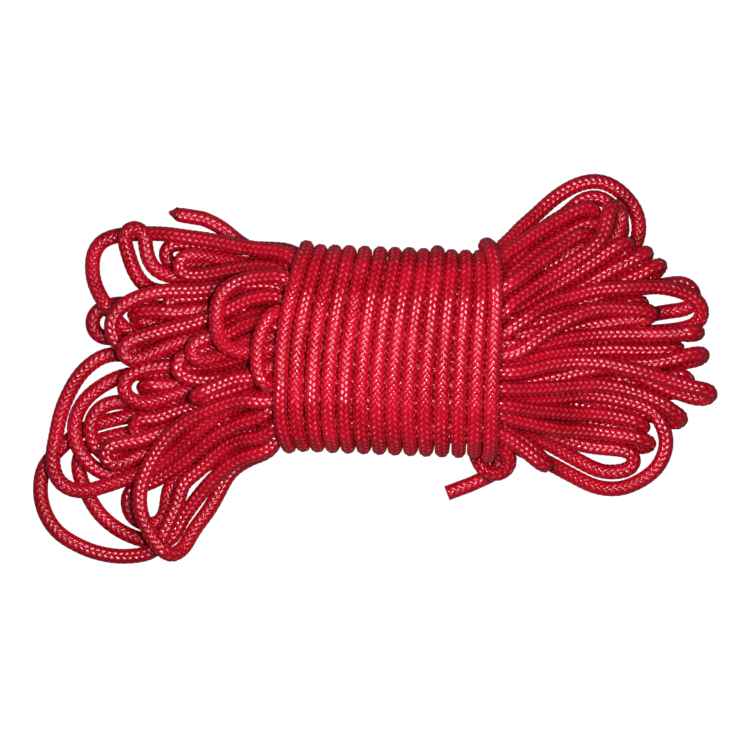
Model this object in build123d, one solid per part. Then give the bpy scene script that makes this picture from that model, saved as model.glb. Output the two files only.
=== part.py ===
from build123d import *
import os
import math

# Coiled dock line: one line flaked into a hank, frapped round the waist and finished
# with a hitch. Millimetres. +Z up. The origin is on the floor plane under the middle
# of the hank; +X runs along the hank towards the end with the finishing hitch, +Y
# across it towards the sealed tail. "Left" is the -X end, "right" the +X end.

# ---- driving dimensions ----------------------------------------------------------
cover_radius = 3.65          # slack cover, laid next to its neighbours
wrap_radius = 3.5            # line where the frapping turns pull it thin
core_radius = 2.6            # core bundle inside the cover
core_length = 11.0           # depth of the bore for the core at the cut end
core_clearance = 0.06        # gap between the core and the cover
core_end_gap = 0.05          # gap left at each end of the core
bore_overrun = 0.1           # how far the bore cutter passes the cut end
end_length = 12.5            # straight cylindrical run at each free end
butt_gap = 0.35              # gap for two lengths of the line that meet end to end
joint_clearance = 0.25       # gap round the half ball where a flexing length starts
seal_length = 4.0            # melted nub at the sealed end
seal_tip_radius = 1.1
seal_step = 0.3              # how far the nub's base lies inside the cover
seal_gap = 0.02              # gap between the nub and the end of the cover

# ---- joins at the waist ----------------------------------------------------------
# The left and right lengths start and finish at a join inside the waist, lying in
# level layers. The x,y direction in which a length leaves its join depends on the layer.
slack_layers = (13.22, 27.51, 41.8)      # z of every other layer, from the lowest
left_join = {"x": 6.432, "slack": (-0.9992, 0.03997), "between": (-0.99942, 0.03398)}
right_join = {"x": 6.732, "slack": (0.99912, -0.04196), "between": (0.9992, -0.03997)}

# x,y offset added to every left or right station, so that the tables need two decimals
left_offset = (-0.008, 0.005)
right_offset = (0.002, 0.005)

# ---- centre-lines of the line ----------------------------------------------------
# Each name is followed by its stations in the order in which the line runs:
# x,y,z and the x,y,z direction of the line there in hundred-thousandths.
# Two numbers alone are y,z of a station at a join. Two neighbouring stations are
# joined by two bends that meet smoothly.

# Each turn after the first starts at the last station of the turn before it.
wrap_table = """
wrap_turn_01
-33.942,60.972,35.28,-13787,-40811,90246 -34.683,58.807,40.573,-13362,-33764,93174
-35.289,57.428,44.133,-21904,-45775,86168 -36.361,55.104,47.337,-24918,-62776,73744
-38.334,48.293,53.476,-17831,-78944,58736 -39.244,44.133,56.216,-23588,-88995,39032
-40.663,39.396,57.351,-27005,-94719,17293 -45.415,14.678,59.931,-11480,-99302,2717
-46.682,-5.459,59.261,-376,-99503,-9952 -46.669,-7.937,58.99,-2559,-98421,-17513
-46.959,-12.745,57.656,-4875,-95083,-30587 -46.662,-26.003,51.692,10242,-84575,-52366
-46.014,-29.898,49.063,17313,-79803,-57721 -45.563,-31.752,47.681,18245,-72571,-66336
-44.451,-35.571,41.894,17644,-45779,-87138 -43.517,-37.597,37.796,21430,-40467,-88900
-43.012,-38.495,35.714,17394,-24805,-95300 -42.573,-37.72,28.91,5198,26148,-96381
-41.959,-34.267,20.577,1462,54400,-83896 -41.915,-29.875,15.416,2752,73553,-67693
-40.581,-13.181,6.657,10825,94616,-30507 -40.3,-10.815,5.942,11924,97090,-20769
-39.992,-8.384,5.628,12936,98402,-12235 -33.945,25.933,5.174,18962,97538,11261
-33.01,30.74,5.81,18907,97170,14161 -32.545,33.131,6.173,18913,95244,23894
-32.086,35.394,6.974,18705,92278,33687 -29.116,50.154,14.944,15165,75048,64326
-27.858,55.754,22.099,11472,41748,90142 -27.156,58.176,30.575,3658,19727,97967
wrap_turn_02
-27.117,58.813,35.056,-4047,-5554,99764 -27.976,56.362,41.262,-18027,-47472,86148
-28.907,54.006,45.121,-21441,-55176,80597 -29.431,52.621,47.01,-22562,-68885,68890
-29.99,50.69,48.415,-23002,-80158,55187 -32.838,40.41,54.533,-22457,-86199,45447
-33.377,38.304,55.622,-22256,-90636,35915 -34.446,33.675,56.729,-21172,-96018,18227
-38.012,12.231,58.951,-11036,-99382,1188 -39.54,-11.932,56.782,-1904,-98148,-19060
-39.574,-14.294,56.307,-829,-97911,-20317 -39.58,-16.641,55.805,645,-94540,-32584
-39.544,-18.773,54.771,2310,-89581,-44383 -38.724,-28.868,49.002,12173,-82995,-54439
-38.057,-32.395,46.11,16223,-60907,-77635 -37.674,-33.573,44.164,17490,-50673,-84418
-36.794,-35.884,40.266,20372,-49551,-84437 -35.893,-37.846,36.145,14670,-19958,-96884
-35.626,-37.951,33.805,7064,11079,-99133 -35.5,-36.494,29.396,3545,37477,-92644
-34.918,-31.18,19.398,5937,59173,-80395 -34.451,-26.666,14.337,7832,76308,-64155
-34.067,-22.95,11.7,8881,83438,-54399 -33.121,-14.773,7.288,11480,90040,-41965
-32.839,-12.626,6.311,12428,94591,-29968 -32.196,-7.91,5.597,14261,98360,-11046
-27.955,16.08,4.705,19129,98063,4203 -25.591,28.155,5.623,19070,97671,9837
-25.12,30.574,5.873,18960,97417,12264 -24.649,32.995,6.233,18924,94819,25519
-24.187,35.25,7.126,18575,91074,36885 -21.312,50.227,15.315,13602,76166,63354
-20.244,55.955,22.449,8747,41864,90393 -19.835,58.119,30.946,71,14010,99014
wrap_turn_03
-19.861,58.405,33.155,-2616,8872,99571 -19.952,58.514,35.388,-5988,-9338,99383
-20.124,58,37.535,-9165,-24949,96403 -21.36,54.672,45.443,-18041,-57193,80022
-23.728,45.522,52.697,-20582,-87134,44543 -28.086,24.238,58.428,-16101,-98133,10516
-31.279,-10.574,57.124,-2790,-98463,-17239 -31.369,-17.763,55.447,793,-92203,-38704
-31.33,-19.921,54.332,2356,-88481,-46535 -30.805,-28.224,49.554,8510,-84368,-53006
-30.339,-32.099,46.825,11331,-68380,-72082 -30.052,-33.449,44.878,12469,-53455,-83589
-29.429,-35.825,40.832,13798,-49964,-85517 -28.757,-38.003,36.643,12500,-26888,-95503
-28.5,-38.283,34.273,8474,4733,-99528 -28.18,-36.849,29.775,7664,40358,-91173
-27.263,-31.265,19.552,7688,56523,-82135 -26.699,-26.723,14.178,8626,78981,-60725
-26.489,-24.741,12.886,9025,83876,-53698 -25.512,-16.454,8.074,11482,87873,-46330
-24.905,-12.005,6.055,13341,96110,-24186 -24.566,-9.572,5.764,14119,98340,-11399
-18.847,22.219,4.635,18962,97904,7432 -15.253,40.573,8.956,17176,88814,42628
-13.262,52.039,17.73,9398,63310,76834 -12.666,56.452,26.014,2860,29796,95415
-12.617,57.586,30.545,-803,21068,97752
wrap_turn_04
-12.757,58.244,35.244,-5996,-7935,99504 -13.496,55.417,41.805,-12994,-49035,86179
-14.614,51.074,47.814,-16745,-77101,61441 -15.055,48.943,49.151,-17573,-83691,51836
-16.915,40.366,54.174,-18617,-85989,47532 -17.378,38.214,55.349,-18421,-89644,40306
-18.721,31.083,57.057,-17207,-97103,16581 -22.786,-3.147,58.307,-6379,-99193,-10955
-23.306,-15.182,56.282,-1771,-97519,-22064 -23.336,-17.538,55.701,-403,-94228,-33480
-23.326,-19.696,54.687,1119,-90065,-43441 -22.759,-29.799,48.832,8270,-81980,-56665
-22.557,-31.674,47.506,9329,-74629,-65905 -21.847,-35.563,41.907,10205,-50085,-85950
-21.621,-36.691,39.943,9474,-48999,-86657 -21.216,-38.489,35.787,8930,-15612,-98369
-20.812,-38.05,31.296,8369,21287,-97349 -20.011,-34.32,20.847,6975,49975,-86336
-18.669,-22.988,10.249,10571,87747,-46784 -17.531,-14.274,6.705,13430,94178,-30824
-17.196,-11.978,5.981,14292,96701,-21088 -16.839,-9.592,5.684,15041,98172,-11666
-11.986,17.294,4.943,18666,98101,5271 -9.672,29.558,5.887,18401,97851,9300
-9.211,32.008,6.131,18273,95065,25074 -8.767,34.266,7.13,17601,88215,43684
-7.902,38.557,9.514,16989,85603,48822 -6.692,44.953,13.342,14686,83828,52509
-6.332,47.081,14.695,13423,76018,63569 -6.012,48.803,16.567,11828,66324,73900
-4.986,55.707,26.642,4040,39130,91938 -4.894,57.216,30.999,-109,28315,95907
wrap_turn_05
-5.017,57.916,35.542,-5659,-11707,99151 -5.413,56.211,39.876,-10556,-46831,87724
-5.997,53.804,44.056,-13195,-52164,84290 -6.344,52.454,46.165,-14437,-62814,76459
-7.611,46.164,50.581,-17330,-84901,49916 -8.993,39.532,54.402,-17868,-85730,48282
-9.451,37.325,55.633,-17908,-91244,36796 -10.352,32.385,56.698,-17111,-97215,16012
-13.571,9.984,58.865,-10939,-99391,1291 -15.296,-12.154,56.994,-3840,-98202,-18482
-15.376,-14.533,56.526,-2685,-97944,-19996 -15.426,-16.887,56.028,-1296,-95075,-30970
-15.438,-19.088,55.041,214,-90671,-42174 -14.96,-29.366,49.306,7606,-83258,-54866
-14.562,-33.033,46.468,9523,-63964,-76275 -14.331,-34.245,44.49,9890,-51597,-85088
-13.883,-36.62,40.508,9015,-50522,-85827 -13.493,-38.683,36.33,8215,-22650,-97054
-12.922,-37.544,29.536,7610,33490,-93918 -12.118,-32.582,19.404,7397,57885,-81208
-10.63,-20.48,9.392,11684,88463,-45143 -10.044,-16.235,7.43,13172,91023,-39259
-9.721,-14.056,6.516,13902,93773,-31833 -8.619,-6.979,5.302,16264,98007,-11408
-3.723,19.857,4.602,17862,98143,6993 -1.964,29.622,5.78,17413,97132,16191
-1.53,32.046,6.206,17278,95376,24596 -1.105,34.364,7.001,17026,92762,33246
1.267,47.563,14.102,13135,77192,62201 2.56,55.269,23.781,6638,38527,92041
2.82,57.091,30.587,491,17469,98461
wrap_turn_06
2.806,57.466,32.917,-1717,11460,99326 2.738,57.632,35.296,-4588,-8719,99514
2.375,55.988,39.747,-9768,-45949,88279 1.822,53.574,43.977,-12490,-52392,84256
1.492,52.212,46.085,-13773,-62545,76801 0.288,46.103,50.66,-16714,-83801,51943
-1.024,39.584,54.348,-17385,-87408,45362 -1.458,37.384,55.464,-17314,-91060,37527
-2.72,30.19,57.225,-15970,-96965,18515 -6.688,-4.282,58.313,-6929,-99053,-11852
-7.198,-13.897,56.726,-3182,-97974,-19771 -7.293,-18.571,55.514,-614,-92888,-37034
-7.291,-20.708,54.468,805,-89395,-44809 -6.803,-30.778,48.515,6770,-82096,-56695
-6.639,-32.673,47.178,7634,-72522,-68427 -6.25,-35.271,43.368,8462,-49604,-86417
-5.885,-37.547,39.354,7119,-48643,-87082 -5.73,-38.667,37.329,6849,-35357,-93290
-5.397,-38.945,32.758,7589,20684,-97543 -5.222,-38.229,30.588,7351,32304,-94353
-4.287,-32.199,18.624,7640,61721,-78308 -2.996,-21.747,10.108,11504,87144,-47681
-2.101,-15.393,7.063,13674,90775,-39661 -1.763,-13.201,6.128,14653,95807,-24621
-1.401,-10.816,5.892,15251,98564,-7243 0.2,-1.218,5.511,17447,98435,-2493
5.473,27.714,5.82,17709,98365,3280 5.905,30.112,5.905,17715,97484,13526
7.176,36.713,8.723,17031,86425,47336 8.756,45.006,13.729,14536,81787,55674
9.106,47.024,15.179,13265,75124,64657 9.417,48.75,16.947,11829,68321,72057
10.248,54.552,24.647,4087,45139,89139 10.206,56.772,31.08,-4164,23347,97147
wrap_turn_07
10.068,57.309,35.621,-640,-13157,99129 10.013,55.533,39.937,-4505,-48269,87463
9.643,53.099,44.127,-10072,-51813,84935 9.364,51.784,46.234,-12556,-62852,76759
8.196,45.684,50.531,-17068,-84736,50284 6.863,39.29,54.228,-17959,-85724,48259
6.417,37.152,55.421,-17716,-90005,39815 5.138,29.98,57.024,-16342,-97409,15636
1.59,0.695,58.712,-7754,-99523,-5920 0.744,-16.059,56.294,-1752,-97543,-21963
0.715,-18.386,55.741,-518,-94463,-32809 0.719,-20.522,54.752,769,-90302,-42953
1.135,-30.538,48.987,5899,-82198,-56645 1.433,-34.001,46.023,7213,-60951,-78949
1.605,-35.18,44.083,7407,-51298,-85520 1.924,-37.471,40.171,6428,-49620,-86582
2.196,-39.362,36.043,6116,-18737,-98038 2.622,-38.298,29.382,5947,28060,-95798
3.462,-32.397,17.565,7551,63551,-76839 5.042,-19.646,8.507,12472,91038,-39454
5.667,-15.283,6.799,13982,93075,-33788 6.011,-13.047,6.013,14631,96098,-23476
6.364,-10.705,5.68,15103,97943,-13380 11.853,20.67,4.625,17252,98193,7780
15.172,39.691,8.992,15369,90019,40748 17.06,51.942,17.796,8425,65351,75222
17.495,56.435,26.146,-224,25489,96697 17.363,57.163,30.691,-4369,6973,99661
wrap_turn_08
16.978,54.258,43.906,-8351,-53061,84349 15.419,45.099,52.128,-14943,-85276,50047
11.624,21.274,58.936,-12863,-98767,8927 9.197,-3.582,58.628,-6497,-99167,-11118
8.646,-15.582,56.558,-2204,-97510,-22066 8.606,-17.909,56.014,-1112,-95168,-30689
8.593,-20.106,55.101,48,-91878,-39477 8.921,-30.169,49.528,5254,-80988,-58424
9.047,-31.965,48.18,5797,-78664,-61468 9.181,-33.698,46.771,6475,-67682,-73329
9.333,-34.958,44.942,6833,-54579,-83513 9.755,-38.29,39.248,5594,-47045,-88065
9.871,-39.302,37.299,5442,-34118,-93842 9.993,-39.779,35.143,5782,-7105,-99579
10.255,-39.208,30.794,5833,20023,-97801 10.897,-35.527,20.701,6789,52290,-84969
12.523,-22.013,9.873,11757,91986,-37420 15.265,-3.627,6.04,16607,98297,-7868
19.508,20.639,5.671,16921,98522,2662 20.742,27.9,5.913,16566,98540,3938
21.146,30.312,6.018,16459,96793,18978 21.919,34.703,7.931,15564,87357,46115
23.315,42.958,12.716,12832,83553,53425 23.613,44.974,14.03,11630,79835,59086
24.304,50.297,19.046,6947,67005,73906 24.589,55.17,26.818,-1125,33480,94222
24.456,56.264,31.058,-3800,20143,97877
wrap_turn_09
24.341,56.772,35.467,-52,-11062,99386 24.382,55.141,39.668,-1137,-47049,88233
24.187,52.806,43.758,-6738,-51838,85249 23.749,49.821,47.632,-10827,-76950,62940
23.458,47.717,48.929,-12364,-84712,51683 22.07,39.257,53.894,-14748,-86120,48641
21.343,34.867,56.07,-14685,-94747,28412 20.983,32.465,56.491,-14438,-97535,16689
18.274,10.597,58.876,-9745,-99481,2923 16.525,-15.943,56.548,-2478,-97523,-21980
16.477,-18.249,56.007,-1396,-95637,-29181 16.466,-22.607,54.293,869,-91724,-39825
16.858,-32.177,48.414,5502,-76378,-64313 16.983,-33.819,46.969,6089,-67796,-73257
17.123,-35.129,45.226,6365,-58174,-81088 17.511,-38.474,39.694,5264,-45381,-88954
17.727,-40.024,35.67,5267,-14093,-98862 17.956,-39.836,31.354,5043,10837,-99283
18.517,-36.91,21.16,6130,47584,-87739 20.032,-23.979,9.675,11129,90050,-42038
22.65,-5.798,5.011,15977,98061,-11347 26.35,16.104,4.327,16288,98590,3825
29.971,40.47,8.878,11307,91435,38882 31.485,56.566,23.636,625,34023,94032
31.353,58.059,30.391,-2033,9852,99493
wrap_turn_10
31.387,55.902,41.59,-3062,-44198,89650 30.057,43.433,52.924,-10540,-88983,44395
27.568,21.59,58.582,-10081,-99000,9865 25.39,-3.522,58.566,-7086,-99260,-9863
24.7,-15.629,56.656,-3704,-97820,-20432 24.622,-17.977,56.149,-2668,-95917,-28158
24.551,-22.399,54.333,-333,-90736,-42035 24.799,-32.244,48.45,4092,-79775,-60160
24.895,-34.013,47.077,4701,-70507,-70757 25.129,-36.545,43.43,5328,-51858,-85337
25.348,-38.731,39.628,4522,-47618,-87819 25.538,-40.35,35.579,4707,-12911,-99051
25.757,-40.045,31.227,4977,14041,-98884 26.315,-36.907,21.047,6122,48788,-87076
27.828,-23.86,9.92,11230,91236,-39368 30.428,-5.658,5.908,15760,98419,-8082
34.365,18.628,5.591,15145,98817,2427 35.443,25.953,5.798,13859,98987,3085
36.097,30.823,6.303,12283,94032,31736 36.381,33.007,7.43,11109,88031,46122
37.495,43.624,13.609,6881,83548,54519 37.657,45.696,14.987,5965,76266,64405
37.79,47.396,16.791,4988,67629,73495 38.123,54.309,26.653,-697,37907,92534
38.04,55.609,30.961,1650,23809,97110
wrap_turn_11
38.298,56.231,35.388,4812,-10025,99380 38.347,54.627,39.672,-1787,-46280,88628
38.214,52.249,43.822,-3648,-52796,84849 37.981,49.154,47.724,-5973,-77473,62947
37.815,47.031,49.058,-6897,-84784,52574 37.017,38.465,54.061,-8943,-87299,47947
36.559,33.988,56.138,-9580,-95766,27149 36.319,31.576,56.58,-9758,-97970,17509
34.355,9.61,58.926,-7197,-99718,2108 33.11,-14.658,56.88,-2805,-97986,-19771
33.049,-17.006,56.384,-2275,-97662,-21375 33.001,-19.333,55.857,-1626,-94814,-31743
32.972,-21.487,54.889,-933,-90766,-41960 33.036,-31.519,49.183,1826,-82211,-56904
33.134,-35.024,46.312,2721,-63262,-77399 33.203,-36.213,44.401,3049,-52121,-85288
33.336,-38.486,40.546,2753,-49577,-86802 33.453,-40.467,36.536,3176,-25333,-96686
33.74,-39.824,29.948,4603,23160,-97172 34.47,-34.439,18.085,7055,61667,-78406
36.499,-17.47,7.417,12691,94963,-28652 39.717,3.948,4.381,15713,98701,-3354
43.403,28.175,5.853,13135,97632,17186 43.713,30.533,6.29,12435,95700,26209
43.999,32.761,7.104,11513,92798,35441 45.071,43.295,12.726,5997,79715,60079
45.428,51.928,21.79,-270,54651,83745 45.265,54.931,28.421,-3900,25993,96484
45.166,55.438,30.748,-72,19200,98139
wrap_turn_12
45.433,55.939,35.55,5915,-12518,99037 45.619,54.008,40.06,2346,-50083,86523
45.691,51.413,44.423,529,-52162,85316 45.693,50.063,46.598,-892,-65768,75325
45.566,45.98,49.578,-3684,-84584,53216 45.028,37.424,54.5,-6898,-88414,46210
44.851,35.244,55.617,-7602,-92938,36121 44.453,30.438,56.752,-8236,-97836,18981
42.911,10.802,58.966,-6293,-99768,2594 41.873,-13.782,57.097,-2436,-98373,-17798
41.732,-20.852,55.324,-1421,-91627,-40031 41.68,-25.115,53.113,-774,-87848,-47771
41.654,-31.23,49.479,-85,-84202,-53945 41.656,-35.032,46.695,665,-66860,-74359
41.684,-36.326,44.72,1191,-52728,-84961 41.736,-38.695,40.677,982,-50274,-86438
41.785,-40.806,36.478,1715,-24585,-96916 41.838,-41.017,34.127,2795,6849,-99726
42.007,-39.694,29.665,4055,35435,-93423 42.559,-34.516,19.629,6077,59453,-80177
42.859,-31.606,16.205,7198,68366,-72624 43.028,-30.02,14.588,8000,76991,-63312
43.221,-28.122,13.342,8724,84212,-53218 44.702,-15.343,7.822,12306,96112,-24718
47.829,6.512,5.495,14873,98880,-1214 50.653,26.419,5.881,11575,99273,3300
50.926,28.899,5.969,11225,97847,17319 51.561,33.469,7.834,13301,88489,44641
52.808,47.872,17.291,921,72630,68732 52.536,54.624,26.922,-4701,37433,92610
52.421,55.371,28.996,-5772,30686,95000 52.283,55.972,31.09,-384,15361,98812
wrap_turn_13
52.581,55.735,35.421,6963,-19694,97794 52.895,53.137,41.656,2965,-49215,87001
52.987,50.522,45.756,1969,-61646,78714 53.052,48.81,47.625,2370,-76230,64678
53.106,46.697,49.005,1327,-84195,53939 52.92,37.995,54.079,-4594,-88265,46778
52.643,33.401,56.157,-6083,-95940,27543 52.485,30.941,56.63,-6588,-98095,18274
51.058,10.966,58.878,-6053,-99777,2809 50.042,-14.088,57.034,-2742,-98528,-16873
49.975,-16.544,56.598,-2589,-98336,-17983 49.913,-18.988,56.138,-2372,-96140,-27413
49.757,-25.672,52.893,-1894,-87358,-48631 49.631,-31.967,49.164,-1546,-84764,-53035
49.57,-35.766,46.168,-661,-61786,-78626 49.563,-36.992,44.081,-248,-50399,-86370
49.553,-39.417,39.903,240,-50101,-86544 49.55,-40.619,37.812,205,-38908,-92120
49.61,-41.15,33.047,2697,21341,-97659 49.692,-40.264,30.796,3534,39807,-91667
50.315,-33.334,18.319,5116,55522,-83013 50.588,-30.37,14.56,7993,77213,-63042
50.822,-28.292,13.332,10142,87053,-48155 53.453,-7.787,5.93,13522,97419,-18077
56.846,17.355,4.139,11580,99327,307 57.846,27.712,4.357,6536,99708,3947
57.983,30.316,4.477,5424,99264,10830 58.45,37.911,6.415,3726,95136,30583
58.185,47.716,10.201,-8757,89606,43522 57.93,50.038,11.431,-6112,83847,54151
57.863,52.073,13.001,-5097,77122,63452 56.991,57.224,18.306,-15103,57789,80202
56.088,59.778,22.555,-21862,45618,86262 55.461,60.929,24.878,-14935,37673,91421
55.3,61.807,27.524,6917,21469,97423 55.856,62.112,30.288,26214,-2128,96479
wrap_turn_14
56.754,61.7,32.898,27680,-19334,94128 57.978,59.467,40.402,7671,-33675,93847
58.157,58.583,42.737,11325,-44544,88812 59.394,53.698,48.167,13450,-76988,62386
60.013,42.765,55.328,-1349,-88189,47127 59.966,40.414,56.509,20,-94098,33847
60.034,35.278,57.492,-139,-98907,14746 59.047,12.278,59.354,-5350,-99854,763
57.915,-15.269,56.915,-2400,-97982,-19842 57.862,-17.687,56.405,-1885,-97694,-21267
57.822,-20.084,55.867,-1597,-95032,-31087 57.784,-22.329,54.888,-1227,-91238,-40916
57.768,-32.832,49.138,-172,-83348,-55255 57.74,-36.545,46.247,95,-66317,-74847
57.76,-37.876,44.33,-241,-56064,-82806 57.47,-41.526,38.42,-9171,-48368,-87043
56.948,-43.397,34.201,-8158,-22285,-97143 57.241,-42.2,25.023,1820,28665,-95786
57.263,-39.452,18.539,10295,57518,-81152 57.614,-37.952,16.739,13042,65044,-74828
58.16,-32.971,11.587,2489,72516,-68813 58.183,-31.186,9.938,4375,79964,-59889
58.376,-29.07,8.676,13984,90948,-39152 58.869,-26.73,8.022,18911,94868,-25348
61.797,-7.001,4.605,12986,98790,-8474 65.393,18.897,3.678,15001,98855,-1629
66.233,24.115,3.681,17369,98420,3423
"""

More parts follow.
